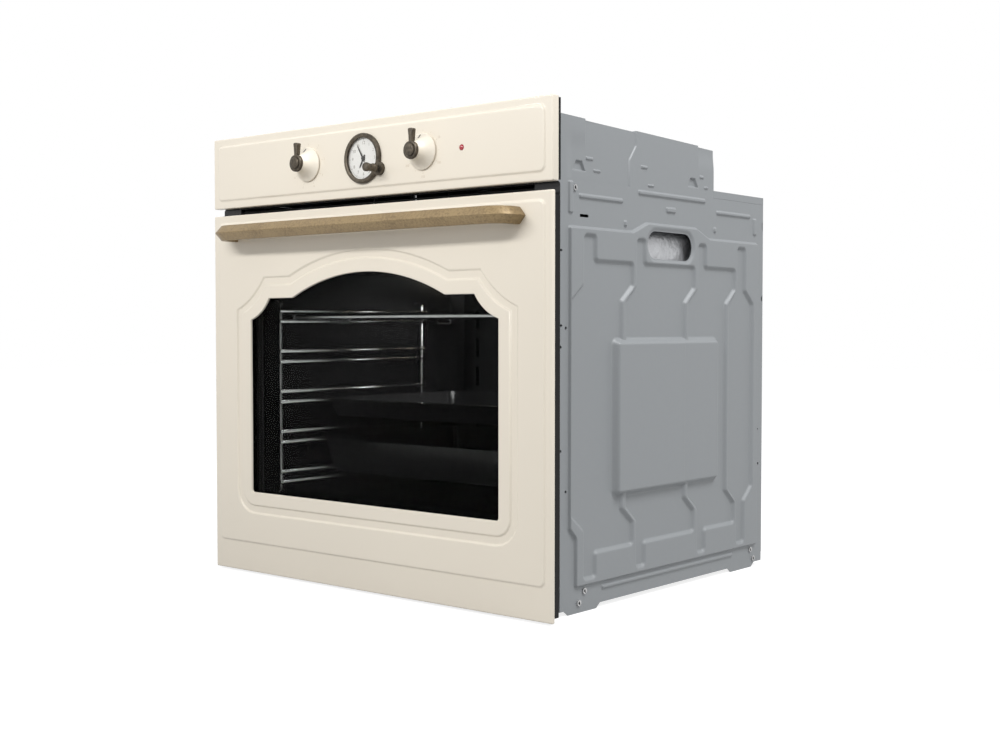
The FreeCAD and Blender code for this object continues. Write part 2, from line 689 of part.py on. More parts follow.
def inset(corners, distance):
    """Corners of an outline drawn in by a distance, or out where it is negative."""
    count = len(corners)
    area = sum(
        corners[i][0] * corners[(i + 1) % count][1] - corners[(i + 1) % count][0] * corners[i][1]
        for i in range(count)
    )
    turn = 1.0 if area > 0 else -1.0
    moved = []
    for i in range(count):
        here = V(corners[i][0], corners[i][1], 0)
        back = (here - V(corners[i - 1][0], corners[i - 1][1], 0)).normalize()
        ahead = (V(corners[(i + 1) % count][0], corners[(i + 1) % count][1], 0) - here).normalize()
        normal_a = V(-back.y, back.x, 0) * turn
        normal_b = V(-ahead.y, ahead.x, 0) * turn
        mitre = (normal_a + normal_b) * (distance / (1 + normal_a.dot(normal_b)))
        moved.append((here.x + mitre.x, here.y + mitre.y, corners[i][2]))
    return moved


def outline(corners, place, w):
    """Closed wire through (u, v, radius) corners, with a tangent arc in each rounded one."""
    count = len(corners)
    runs = []
    for i in range(count):
        here = V(corners[i][0], corners[i][1], 0)
        radius = corners[i][2]
        if radius <= 0:
            runs.append((here, None, here))
            continue
        back = (V(corners[i - 1][0], corners[i - 1][1], 0) - here).normalize()
        ahead = (V(corners[(i + 1) % count][0], corners[(i + 1) % count][1], 0) - here).normalize()
        half = back.getAngle(ahead) / 2
        reach = radius / math.tan(half)
        middle = here + (back + ahead).normalize() * (radius / math.sin(half) - radius)
        runs.append((here + back * reach, middle, here + ahead * reach))
    edges = []
    for i in range(count):
        start, middle, end = (None if p is None else place(p.x, p.y, w) for p in runs[i])
        after = runs[(i + 1) % count][0]
        after = place(after.x, after.y, w)
        if middle is not None:
            edges.append(Part.Arc(start, middle, end).toShape())
        if end.distanceToPoint(after) > 1e-6:
            edges.append(Part.LineSegment(end, after).toShape())
    return Part.Wire(edges)


def prism(corners, place, low, high):
    """Outline carried straight from one level to another."""
    face = Part.Face(outline(corners, place, low))
    return face.extrude(place(0, 0, high) - place(0, 0, low))


def tapered(corners, place, low, high, draw_in):
    """Outline carried from one level to another while its sides lean inwards."""
    wires = [outline(corners, place, low), outline(inset(corners, draw_in), place, high)]
    return Part.makeLoft(wires, True, True)


def turned(profile, x, z):
    """Solid of revolution about an axis along Y, from (radius, depth) points."""
    points = [front(x + radius, z, depth) for radius, depth in profile]
    face = Part.Face(Part.makePolygon(points + points[:1]))
    return face.revolve(V(x, 0, z), V(0, 1, 0), 360)


def spun(profile, x, depth):
    """Solid of revolution about a vertical axis, from (radius, Z) points."""
    points = [plan(x + radius, depth, z) for radius, z in profile]
    face = Part.Face(Part.makePolygon(points + points[:1]))
    return face.revolve(V(x, at(depth), 0), V(0, 0, 1), 360)


def bent_tube(points, bend, radius):
    """Round tube through points, with one bend radius at every inner point."""
    edges = []
    start = points[0]
    for before, here, after in zip(points, points[1:], points[2:]):
        back = (before - here).normalize()
        ahead = (after - here).normalize()
        half = back.getAngle(ahead) / 2
        reach = bend / math.tan(half)
        middle = here + (back + ahead).normalize() * (bend / math.sin(half) - bend)
        enter = here + back * reach
        leave = here + ahead * reach
        if start.distanceToPoint(enter) > 1e-6:
            edges.append(Part.LineSegment(start, enter).toShape())
        edges.append(Part.Arc(enter, middle, leave).toShape())
        start = leave
    edges.append(Part.LineSegment(start, points[-1]).toShape())
    ring = Part.Wire(Part.Circle(points[0], points[1] - points[0], radius).toShape())
    return Part.Wire(edges).makePipeShell([ring], True, False)


def mirrored(shape):
    """The same piece for the other side of the oven."""
    return shape.mirror(V(0, 0, 0), V(1, 0, 0))


def pair(shape):
    """A piece and its mirror image, kept as separate solids."""
    return Part.makeCompound([shape, mirrored(shape)])


# Door front
def window_wire(offset, depth):
    """Outline of the arched window, drawn outwards by an offset."""
    half = WINDOW_HALF + offset
    bottom = DOOR_LIFT + WINDOW_BOTTOM - offset
    flat = DOOR_LIFT + WINDOW_FLAT + offset
    corner = WINDOW_CORNER + max(offset, 0)
    rise = WINDOW_APEX - WINDOW_FLAT
    arch_radius = (WINDOW_ARCH_HALF ** 2 + rise ** 2) / (2 * rise)
    arch_centre = DOOR_LIFT + WINDOW_APEX - arch_radius
    arch_half = math.sqrt((arch_radius + offset) ** 2 - (flat - arch_centre) ** 2)
    shoulder = V(WINDOW_HALF, DOOR_LIFT + WINDOW_SHOULDER, 0)
    tip = V(WINDOW_FLAT_HALF, DOOR_LIFT + WINDOW_FLAT, 0)
    chord = tip - shoulder
    outward = V(chord.y, -chord.x, 0).normalize()
    cove = (shoulder + tip) * 0.5 + outward * math.sqrt(COVE_RADIUS ** 2 - (chord.Length / 2) ** 2)
    cove_radius = COVE_RADIUS - offset
    shoulder_z = cove.y - math.sqrt(cove_radius ** 2 - (half - cove.x) ** 2)
    flat_half = cove.x - math.sqrt(cove_radius ** 2 - (flat - cove.y) ** 2)
    cove_middle = cove - outward * cove_radius
    turn = corner * (1 - math.sqrt(0.5))

    def p(u, v):
        return front(u, v, depth)

    def line(a, b):
        return Part.LineSegment(p(*a), p(*b)).toShape()

    def arc(a, b, c):
        return Part.Arc(p(*a), p(*b), p(*c)).toShape()

    edges = [
        line((corner - half, bottom), (half - corner, bottom)),
        arc((half - corner, bottom), (half - turn, bottom + turn), (half, bottom + corner)),
        line((half, bottom + corner), (half, shoulder_z)),
        arc((half, shoulder_z), (cove_middle.x, cove_middle.y), (flat_half, flat)),
        line((flat_half, flat), (arch_half, flat)),
        arc((arch_half, flat), (0, arch_centre + arch_radius + offset), (-arch_half, flat)),
        line((-arch_half, flat), (-flat_half, flat)),
        arc((-flat_half, flat), (-cove_middle.x, cove_middle.y), (-half, shoulder_z)),
        line((-half, shoulder_z), (-half, bottom + corner)),
        arc((-half, bottom + corner), (turn - half, bottom + turn), (corner - half, bottom)),
    ]
    return Part.Wire(edges)


def window_loft(offset, depth, draw_in):
    """Window outline that narrows by a distance over the groove's depth."""
    wires = [window_wire(offset, depth), window_wire(offset - draw_in, depth + GROOVE_DEPTH)]
    return Part.makeLoft(wires, True, True)


def pressed_front(bottom, top, field, rear, edge, shift):
    """Front block with a raised field, its edges drawn in and its face set back."""
    corners = inset(rect(-FRONT_HALF, FRONT_HALF, bottom, top), edge)
    block = prism(corners, front, PRESSING + shift, rear)
    pad = tapered(field, front, PRESSING + shift, shift, PRESSING_SLOPE)
    return block.fuse(pad).removeSplitter()


def door_block(edge, shift, rear):
    """Door front with its raised field and the groove round the window."""
    half = FRONT_HALF - DOOR_FIELD_MARGIN
    low = DOOR_LIFT + DOOR_FIELD_BOTTOM
    field = rect(-half, half, low, DOOR_TOP - DOOR_FIELD_MARGIN, FIELD_RADIUS)
    block = pressed_front(DOOR_LIFT, DOOR_TOP, field, rear, edge, shift)
    groove = window_loft(GROOVE_OUTER, shift, GROOVE_SLOPE)
    land = window_loft(GROOVE_INNER, shift, -GROOVE_SLOPE)
    return block.cut(groove.cut(land))


def door_front_sheet():
    """Enamelled sheet with folded edges, raised field, groove and arched window."""
    outer = door_block(0, 0, DOOR_RETURN)
    inner = door_block(ENAMEL_SHEET, ENAMEL_SHEET, DOOR_RETURN + ENAMEL_SHEET)
    window = Part.Face(window_wire(0, -PRESSING)).extrude(V(0, FAR, 0))
    sheet = outer.cut(inner).cut(window)
    cuts = []
    notch_half = HINGE_PLATE / 2 + HINGE_SIDE_GAP
    notch_front = HINGE_DEPTH - HINGE_ARM_HALF - HINGE_NOTCH_GAP
    for sign in (-1, 1):
        cuts.append(bar_y(sign * HANDLE_END_X, HANDLE_HEIGHT, HANDLE_SCREW_RADIUS, (-PRESSING, DOOR_RETURN)))
        notch_x = (sign * HINGE_X - notch_half, sign * HINGE_X + notch_half)
        cuts.append(box(notch_x, (notch_front, FAR), (0, DOOR_LIFT + 2 * ENAMEL_SHEET)))
    return sheet.cut(cuts)


def glass_pane(half, bottom, top, depth):
    """Flat pane with rounded corners."""
    return prism(rect(-half, half, bottom, top, GLASS_CORNER), front, depth, depth + GLASS)


def door_side_profile():
    """Right-hand door profile: clamps the outer glass and reaches back to the inner one."""
    outer = FRONT_HALF - ENAMEL_SHEET - PROFILE_EDGE_GAP
    inner = INNER_GLASS_HALF - PROFILE_WALL
    lip = OUTER_GLASS_DEPTH + GLASS
    wall = PROFILE_WALL
    face = PRESSING + ENAMEL_SHEET
    section = [
        (outer, face, 0), (outer, PROFILE_REAR, 0), (inner, PROFILE_REAR, 0), (inner, PROFILE_REAR - wall, 0),
        (outer - wall, PROFILE_REAR - wall, 0), (outer - wall, lip + wall, 0), (inner, lip + wall, 0),
        (inner, lip, 0), (outer - wall, lip, 0), (outer - wall, face, 0),
    ]
    low = DOOR_LIFT + PROFILE_END_GAP
    channel = prism(section, plan, low, DOOR_TOP - PROFILE_END_GAP)
    rail_z = (INNER_GLASS_BOTTOM, INNER_GLASS_TOP)
    rail = box((inner, inner + wall), (PROFILE_REAR - wall, INNER_GLASS_DEPTH), rail_z)
    return channel.fuse(rail).removeSplitter()


def rail_vents(z, depth):
    """Row of rounded air slots through a rail's flat face."""
    half = INNER_GLASS_HALF - PROFILE_WALL
    count = int((2 * half - 2 * RAIL_END_MARGIN) // RAIL_VENT_PITCH)
    slots = []
    for i in range(count):
        x = (i - (count - 1) / 2) * RAIL_VENT_PITCH
        low = x - RAIL_VENT_LENGTH / 2
        slots.append(box((low, low + RAIL_VENT_LENGTH), depth, z))
    return slots


def door_top_rail():
    """Channel that joins the side profiles above the glasses, with air slots."""
    half = INNER_GLASS_HALF - PROFILE_WALL - SEAT_GAP
    top = DOOR_TOP - PROFILE_END_GAP
    lip = OUTER_GLASS_DEPTH + GLASS
    wall = PROFILE_WALL
    section = [
        (lip, top - RAIL_HEIGHT, 0), (lip + wall, top - RAIL_HEIGHT, 0), (lip + wall, top - wall, 0),
        (PROFILE_REAR - wall, top - wall, 0), (PROFILE_REAR - wall, top - RAIL_HEIGHT, 0),
        (PROFILE_REAR, top - RAIL_HEIGHT, 0), (PROFILE_REAR, top, 0), (lip, top, 0),
    ]
    rail = prism(section, side, -half, half)
    middle = (lip + PROFILE_REAR) / 2
    depth = (middle - RAIL_VENT_HEIGHT / 2, middle + RAIL_VENT_HEIGHT / 2)
    return rail.cut(rail_vents((top - 2 * wall, top + wall), depth))


def door_bottom_rail():
    """Angle under the glasses, cut away where the hinges pass."""
    half = INNER_GLASS_HALF - PROFILE_WALL - SEAT_GAP
    lip = OUTER_GLASS_DEPTH + GLASS
    top = OUTER_GLASS_BOTTOM
    wall = PROFILE_WALL
    section = [
        (lip, top - RAIL_HEIGHT, 0), (PROFILE_REAR, top - RAIL_HEIGHT, 0),
        (PROFILE_REAR, top, 0), (PROFILE_REAR - wall, top, 0),
        (PROFILE_REAR - wall, top - RAIL_HEIGHT + wall, 0), (lip + wall, top - RAIL_HEIGHT + wall, 0),
        (lip + wall, top, 0), (lip, top, 0),
    ]
    rail = prism(section, side, -half, half)
    reach = HINGE_PLATE / 2 + HINGE_SIDE_GAP + HINGE_CHEEK + SEAT_GAP
    for x in (-HINGE_X, HINGE_X):
        rail = rail.cut(box((x - reach, x + reach), (0, FAR), (0, HINGE_CHEEK_TOP + SEAT_GAP)))
    return rail


def hinge_housing():
    """Right-hand hinge housing in the door: two cheeks joined by a web above the arm."""
    inner = HINGE_PLATE / 2 + HINGE_SIDE_GAP
    low = DOOR_LIFT + ENAMEL_SHEET + SEAT_GAP
    face = PRESSING + ENAMEL_SHEET
    profile = rect(face, PROFILE_REAR, low, HINGE_CHEEK_TOP, HINGE_CHEEK_CORNER)
    cheek = prism(profile, side, HINGE_X + inner, HINGE_X + inner + HINGE_CHEEK)
    other = prism(profile, side, HINGE_X - inner - HINGE_CHEEK, HINGE_X - inner)
    web_z = (HINGE_CHEEK_TOP - HINGE_CHEEK_WEB, HINGE_CHEEK_TOP)
    web = box((HINGE_X - inner, HINGE_X + inner), (OUTER_GLASS_DEPTH + GLASS, PROFILE_REAR), web_z)
    body = cheek.fuse([other, web]).removeSplitter()
    pin_axis = (side(HINGE_DEPTH, HINGE_HEIGHT, 0), side(HINGE_DEPTH, HINGE_HEIGHT, FAR))
    return body.cut(rod(pin_axis[0], pin_axis[1], HINGE_PIN_RADIUS))


def hinge_pin():
    """Right-hand pivot pin, pressed into both cheeks."""
    reach = HINGE_PLATE / 2 + HINGE_SIDE_GAP + HINGE_CHEEK
    start = side(HINGE_DEPTH, HINGE_HEIGHT, HINGE_X - reach)
    return rod(start, side(HINGE_DEPTH, HINGE_HEIGHT, HINGE_X + reach), HINGE_PIN_RADIUS)


def hinge_arm():
    """Right-hand hinge arm: an eye on the pin, a straight arm and a foot on the base pan."""
    low_x = HINGE_X - HINGE_PLATE / 2
    high_x = HINGE_X + HINGE_PLATE / 2
    eye_start = side(HINGE_DEPTH, HINGE_HEIGHT, low_x)
    eye = rod(eye_start, side(HINGE_DEPTH, HINGE_HEIGHT, high_x), HINGE_EYE_RADIUS)
    low = HINGE_HEIGHT - HINGE_ARM_HALF
    high = HINGE_HEIGHT + HINGE_ARM_HALF
    floor = BASE_FLOOR + CASE_SHEET
    plate = [
        (HINGE_DEPTH, low, 0), (HINGE_FOOT_FRONT, low, HINGE_ARM_CORNER), (HINGE_FOOT_FRONT, floor, 0),
        (HINGE_FOOT_REAR, floor, 0), (HINGE_FOOT_REAR, HINGE_FOOT_TOP, HINGE_FOOT_CORNER),
        (HINGE_FOOT_FRONT, HINGE_FOOT_TOP, HINGE_FOOT_CORNER), (HINGE_FOOT_FRONT, high, HINGE_ARM_CORNER),
        (HINGE_DEPTH, high, 0),
    ]
    arm = eye.fuse(prism(plate, side, low_x, high_x)).removeSplitter()
    bore = HINGE_PIN_RADIUS + SEAT_GAP
    axis = (side(HINGE_DEPTH, HINGE_HEIGHT, 0), side(HINGE_DEPTH, HINGE_HEIGHT, FAR))
    return arm.cut(rod(axis[0], axis[1], bore))


def handle():
    """Bow handle with a ridged front, swept from door face to door face."""
    full = math.pi / 2 - HANDLE_BOW

    def end_point(sign, turn):
        reach = HANDLE_END_X - HANDLE_BEND * (1 - math.cos(turn))
        return front(sign * reach, HANDLE_HEIGHT, -HANDLE_BEND * math.sin(turn))

    middle = front(0, HANDLE_HEIGHT, -HANDLE_CENTRE)
    curves = [
        Part.Arc(end_point(-1, 0), end_point(-1, full / 2), end_point(-1, full)),
        Part.Arc(end_point(-1, full), middle, end_point(1, full)),
        Part.Arc(end_point(1, full), end_point(1, full / 2), end_point(1, 0)),
    ]
    path = Part.Wire([curve.toShape() for curve in curves])
    left = -HANDLE_END_X
    section = [
        (left - HANDLE_RIDGE, HANDLE_HEIGHT, 0),
        (left, HANDLE_HEIGHT - HANDLE_HALF, 0),
        (left + HANDLE_BACK, HANDLE_HEIGHT - HANDLE_HALF, 0),
        (left + HANDLE_BACK, HANDLE_HEIGHT + HANDLE_HALF, 0),
        (left, HANDLE_HEIGHT + HANDLE_HALF, 0),
    ]
    bow = path.makePipeShell([outline(section, front, 0)], True, False)
    for x in (-HANDLE_END_X, HANDLE_END_X):
        bow = bow.cut(bar_y(x, HANDLE_HEIGHT, HANDLE_SCREW_RADIUS, (-HANDLE_SCREW_BITE, ENAMEL_SHEET)))
    return bow


def handle_screw():
    """Right-hand handle screw, with its head behind the front sheet."""
    face = ENAMEL_SHEET
    shank = bar_y(HANDLE_END_X, HANDLE_HEIGHT, HANDLE_SCREW_RADIUS, (-HANDLE_SCREW_BITE, face))
    head = bar_y(HANDLE_END_X, HANDLE_HEIGHT, HANDLE_SCREW_HEAD_RADIUS, (face, face + HANDLE_SCREW_HEAD))
    return shank.fuse(head)


# Frame and cavity
def front_frame():
    """Pressed surround: an outer flange, a step back round the glass and a land round the mouth."""
    flange = rect(-FRAME_HALF, FRAME_HALF, FRAME_BOTTOM, FRAME_TOP, FRAME_CORNER)
    step = rect(-FRAME_STEP_HALF, FRAME_STEP_HALF, FRAME_STEP_BOTTOM, FRAME_STEP_TOP, FRAME_STEP_CORNER)
    frame = prism(flange, front, FRAME_DEPTH, FRAME_DEPTH + FRAME_SHEET)
    frame = frame.fuse(prism(inset(step, -FRAME_SHEET), front, FRAME_DEPTH, FRAME_LAND_REAR))
    frame = frame.cut(prism(step, front, FRAME_DEPTH - FRAME_SHEET, FRAME_LAND_DEPTH))
    outlet = box((-OUTLET_HALF, OUTLET_HALF), (0, FAR), (OUTLET_BOTTOM, OUTLET_TOP))
    frame = frame.cut([prism(cavity_mouth(), front, 0, FAR), outlet]).removeSplitter()
    for x in (-CABINET_HOLE_X, CABINET_HOLE_X):
        for z in (CABINET_HOLE_LOW, CABINET_HOLE_HIGH):
            frame = frame.cut(bar_y(x, z, CABINET_HOLE_RADIUS, (0, CASE_REAR)))
    return frame


def cavity_mouth():
    """Outline of the cavity's inside."""
    return rect(-CAVITY_HALF, CAVITY_HALF, CAVITY_BOTTOM, CAVITY_TOP, CAVITY_CORNER)


def cavity_shell():
    """Enamelled box with holes for the fan shaft, the lamp, the probe and the heater ends."""
    outer = prism(inset(cavity_mouth(), -CAVITY_SHEET), front, FRAME_LAND_REAR, CAVITY_REAR + CAVITY_SHEET)
    shell = outer.cut(prism(cavity_mouth(), front, FRAME_LAND_REAR, CAVITY_REAR))
    wall = (CAVITY_REAR - CAVITY_SHEET, CAVITY_REAR + 2 * CAVITY_SHEET)
    shell = shell.cut(bar_y(0, FAN_Z, FAN_SHAFT_RADIUS + SHAFT_GAP, wall))
    shell = shell.cut(bar_y(LAMP_X, LAMP_Z, LAMP_LENS_RADIUS + SEAT_GAP, wall))
    for x in (-GRILL_LEG_X, GRILL_LEG_X):
        shell = shell.cut(bar_y(x, GRILL_Z, HEATER_RADIUS + SEAT_GAP, wall))
        shell = shell.cut(bar_y(x / 2, ring_heater_end(), HEATER_RADIUS + SEAT_GAP, wall))
    return shell.cut(probe_hole())


def probe_hole():
    """Way for the thermostat's thin tube, up from the cavity's ceiling."""
    low = plan(KNOB_X, PROBE_DEPTH, CAVITY_TOP - CAVITY_SHEET)
    return rod(low, plan(KNOB_X, PROBE_DEPTH, CASE_TOP), PROBE_TUBE_RADIUS + SEAT_GAP)


def ring_heater_end():
    """Height at which the ring heater's two ends pass the back wall."""
    return FAN_Z + math.sqrt(RING_HEATER_RADIUS ** 2 - (GRILL_LEG_X / 2) ** 2)


def door_seal():
    """Gasket round the mouth, with a lip that meets the inner glass."""
    path = inset(cavity_mouth(), -SEAL_OFFSET)
    base = prism(inset(path, -SEAL_WIDTH), front, FRAME_LAND_DEPTH - SEAL_LIP, FRAME_LAND_DEPTH)
    base = base.cut(prism(path, front, 0, FAR))
    lip_front = INNER_GLASS_DEPTH + GLASS + SEAL_GAP
    lip = prism(inset(path, -SEAL_WIDTH / 2 - SEAL_LIP / 2), front, lip_front, FRAME_LAND_DEPTH - SEAL_LIP)
    lip = lip.cut(prism(inset(path, -SEAL_WIDTH / 2 + SEAL_LIP / 2), front, 0, FAR))
    return base.fuse(lip).removeSplitter()


def insulation_blanket():
    """Wrap round the cavity, with room for the heating loop under the floor."""
    outer = rect(-INSULATION_HALF, INSULATION_HALF, INSULATION_BOTTOM, INSULATION_TOP, INSULATION_CORNER)
    gap = CAVITY_SHEET + INSULATION_SIDE_GAP
    inner = rect(-CAVITY_HALF - gap, CAVITY_HALF + gap, CAVITY_BOTTOM - INSULATION_FLOOR_GAP,
                 CAVITY_TOP + gap, CAVITY_CORNER)
    ring = prism(outer, front, INSULATION_FRONT, INSULATION_REAR)
    return ring.cut(prism(inner, front, 0, FAR))


def fan_cover():
    """Dished cover over the fan with a ring of intake holes and side outlets."""
    rim = rect(-FAN_COVER_HALF, FAN_COVER_HALF, FAN_COVER_BOTTOM, FAN_COVER_TOP, FAN_COVER_CORNER)
    foot = inset(rim, FAN_COVER_FLANGE)
    sheet = FAN_COVER_SHEET
    rear = CAVITY_REAR - sheet
    flange = prism(rim, front, rear, CAVITY_REAR)
    cover = flange.fuse(tapered(foot, front, rear, FAN_COVER_FACE, FAN_COVER_SLOPE))
    hollow = tapered(inset(foot, sheet), front, CAVITY_REAR, FAN_COVER_FACE + sheet, FAN_COVER_SLOPE)
    cover = cover.cut(hollow).removeSplitter()
    holes = []
    through = (FAN_COVER_FACE - sheet, FAN_COVER_FACE + 2 * sheet)
    for ring in range(1, INTAKE_RINGS + 1):
        for i in range(INTAKE_HOLES_PER_RING * ring):
            angle = 2 * math.pi * (i + ring / 2) / (INTAKE_HOLES_PER_RING * ring)
            x = INTAKE_RING_STEP * ring * math.cos(angle)
            z = FAN_Z + INTAKE_RING_STEP * ring * math.sin(angle)
            holes.append(bar_y(x, z, INTAKE_HOLE_RADIUS, through))
    face_half = FAN_COVER_HALF - FAN_COVER_FLANGE - FAN_COVER_SLOPE
    for i in range(OUTLET_SLOTS):
        z = FAN_Z + (i - (OUTLET_SLOTS - 1) / 2) * OUTLET_SLOT_PITCH
        low = z - OUTLET_SLOT_LENGTH / 2
        for x in (-face_half + OUTLET_SLOT_WIDTH, face_half - 2 * OUTLET_SLOT_WIDTH):
            holes.append(box((x, x + OUTLET_SLOT_WIDTH), through, (low, low + OUTLET_SLOT_LENGTH)))
    return cover.cut(holes)


def convection_fan():
    """Hub, back disc and leaning blades on the motor's shaft."""
    rear = CAVITY_REAR - FAN_WALL_GAP
    front_edge = rear - FAN_BLADE_DEPTH
    disc = bar_y(0, FAN_Z, FAN_DISC_RADIUS, (rear - FAN_BLADE_SHEET, rear))
    hub = bar_y(0, FAN_Z, FAN_HUB_RADIUS, (front_edge, rear))
    fan = disc.fuse(hub)
    blades = []
    blade_z = (FAN_Z - FAN_BLADE_SHEET / 2, FAN_Z + FAN_BLADE_SHEET / 2)
    for i in range(FAN_BLADES):
        blade = box((FAN_BLADE_ROOT, FAN_RADIUS), (front_edge, rear), blade_z)
        blade.rotate(V(FAN_BLADE_ROOT, 0, FAN_Z), V(0, 1, 0), FAN_BLADE_LEAN)
        blade.rotate(V(0, 0, FAN_Z), V(0, 1, 0), 360.0 * i / FAN_BLADES)
        blades.append(blade)
    shaft_end = CAVITY_REAR + FAN_MOTOR_STANDOFF
    shaft = bar_y(0, FAN_Z, FAN_SHAFT_RADIUS, (rear - FAN_BLADE_SHEET, shaft_end))
    return fan.fuse(blades + [shaft]).removeSplitter()


def fan_motor():
    """Motor behind the cavity on four legs, bored for the fan's shaft."""
    start = CAVITY_REAR + CAVITY_SHEET + FAN_MOTOR_STANDOFF / 2
    rear = start + FAN_MOTOR_LENGTH
    radius = FAN_MOTOR_RADIUS
    bevel = FAN_MOTOR_BEVEL
    profile = [(0, start), (radius, start), (radius, rear - bevel), (radius - bevel, rear), (0, rear)]
    body = turned(profile, 0, FAN_Z)
    legs = []
    for i in range(FAN_MOTOR_LEGS):
        angle = 2 * math.pi * (i + 0.5) / FAN_MOTOR_LEGS
        x = (radius - FAN_MOTOR_LEG) * math.cos(angle)
        z = FAN_Z + (radius - FAN_MOTOR_LEG) * math.sin(angle)
        legs.append(bar_y(x, z, FAN_MOTOR_LEG / 2, (CAVITY_REAR + CAVITY_SHEET, start + FAN_MOTOR_LEG)))
    shaft_end = CAVITY_REAR + FAN_MOTOR_STANDOFF + SHAFT_GAP
    bore = bar_y(0, FAN_Z, FAN_SHAFT_RADIUS + SHAFT_GAP, (CAVITY_REAR, shaft_end))
    return body.fuse(legs).cut(bore).removeSplitter()


def ring_heater():
    """Round heating loop about the fan, with its two ends through the back wall."""
    gap = GRILL_LEG_X / 2
    radius = RING_HEATER_RADIUS
    end_z = ring_heater_end()
    left = front(-gap, end_z, RING_HEATER_DEPTH)
    right = front(gap, end_z, RING_HEATER_DEPTH)
    loop = Part.Wire(Part.Arc(left, front(0, FAN_Z - radius, RING_HEATER_DEPTH), right).toShape())
    tangent = V(FAN_Z - end_z, 0, -gap)
    ring = Part.Wire(Part.Circle(left, tangent, HEATER_RADIUS).toShape())
    tube = loop.makePipeShell([ring], True, False)
    ends = []
    for x in (-gap, gap):
        ball = Part.makeSphere(HEATER_RADIUS, front(x, end_z, RING_HEATER_DEPTH))
        tail = bar_y(x, end_z, HEATER_RADIUS, (RING_HEATER_DEPTH, CAVITY_REAR + 2 * CAVITY_SHEET))
        ends += [ball, tail]
    return tube.fuse(ends).removeSplitter()


def grill_heater():
    """Folded heating loop under the ceiling, from the back wall to the front and back."""
    legs = [GRILL_LEG_X + i * GRILL_LEG_PITCH for i in range(GRILL_FOLDS)]
    half = [
        (legs[0], CAVITY_REAR + 2 * CAVITY_SHEET), (legs[0], GRILL_TURN_FRONT), (legs[1], GRILL_TURN_FRONT),
        (legs[1], GRILL_TURN_REAR), (legs[2], GRILL_TURN_REAR), (legs[2], GRILL_FRONT),
    ]
    points = [plan(x, depth, GRILL_Z) for x, depth in half]
    points += [plan(-x, depth, GRILL_Z) for x, depth in reversed(half)]
    return bent_tube(points, GRILL_CORNER, HEATER_RADIUS)


def bottom_heater():
    """Plain heating loop close under the cavity floor."""
    z = CAVITY_BOTTOM - CAVITY_SHEET - HEATER_SEAT_GAP - HEATER_RADIUS
    half = BOTTOM_LOOP_HALF
    route = [
        (-GRILL_LEG_X, BOTTOM_LOOP_REAR), (-GRILL_LEG_X, CAVITY_REAR - BOTTOM_LOOP_CORNER * 2),
        (-half, CAVITY_REAR - BOTTOM_LOOP_CORNER * 2), (-half, BOTTOM_LOOP_FRONT),
        (half, BOTTOM_LOOP_FRONT), (half, CAVITY_REAR - BOTTOM_LOOP_CORNER * 2),
        (GRILL_LEG_X, CAVITY_REAR - BOTTOM_LOOP_CORNER * 2), (GRILL_LEG_X, BOTTOM_LOOP_REAR),
    ]
    return bent_tube([plan(x, depth, z) for x, depth in route], BOTTOM_LOOP_CORNER, HEATER_RADIUS)


def lamp_holder():
    """Porcelain lamp socket behind the back wall."""
    start = CAVITY_REAR + CAVITY_SHEET
    rear = start + LAMP_HOLDER_LENGTH
    flange = LAMP_HOLDER_RADIUS + LAMP_FLANGE
    step = start + LAMP_FLANGE_THICKNESS
    return turned([
        (0, start), (flange, start), (flange, step), (LAMP_HOLDER_RADIUS, step),
        (LAMP_HOLDER_RADIUS - LAMP_HOLDER_TAPER, rear), (0, rear),
    ], LAMP_X, LAMP_Z)


def lamp_lens():
    """Domed glass cap over the lamp, through the back wall."""
    rear = CAVITY_REAR + CAVITY_SHEET
    face = rear - LAMP_LENS_LENGTH
    wall = LAMP_LENS_WALL
    radius = LAMP_LENS_RADIUS
    shoulder = radius - LAMP_SHOULDER_INSET
    drop = face + LAMP_SHOULDER_DROP
    foot = face + LAMP_LENS_DOME
    outer = [(0, face), (radius - LAMP_CROWN_INSET, face + LAMP_CROWN_DROP), (shoulder, drop), (radius, foot)]
    inner = [(radius - wall, foot), (shoulder - wall, drop + wall / 2), (0, face + wall)]
    return turned([*outer, (radius, rear), (radius - wall, rear), *inner], LAMP_X, LAMP_Z)


# Racks, shelf and trays
def rail_top(level):
    """Height of the top wire of a rack level, counted from the lowest."""
    return RACK_LOWEST_RAIL + (level - 1) * RACK_PITCH


def runner_z(level):
    """Height on which a shelf or a tray's rim lies in a rack level."""
    return rail_top(level) - RACK_PAIR + RACK_WIRE + SEAT_GAP


def side_rack():
    """Right-hand wire rack: two posts, a pair of rails a level and pegs into the wall."""
    low = rail_top(1) - RACK_PAIR - RACK_POST_MARGIN
    high = rail_top(RACK_LEVELS) + RACK_POST_MARGIN
    reach = (RACK_FRONT - RACK_OVERHANG, RACK_REAR + RACK_OVERHANG)
    wires = []
    for depth in (RACK_FRONT, RACK_REAR):
        route = [(CAVITY_HALF, low), (RACK_POST_X, low), (RACK_POST_X, high), (CAVITY_HALF, high)]
        wires.append(bent_tube([plan(x, depth, z) for x, z in route], RACK_BEND, RACK_WIRE))
    for level in range(1, RACK_LEVELS + 1):
        for z in (rail_top(level), rail_top(level) - RACK_PAIR):
            wires.append(bar_y(RACK_RAIL_X, z, RACK_WIRE, reach))
    return wires[0].fuse(wires[1:]).removeSplitter()


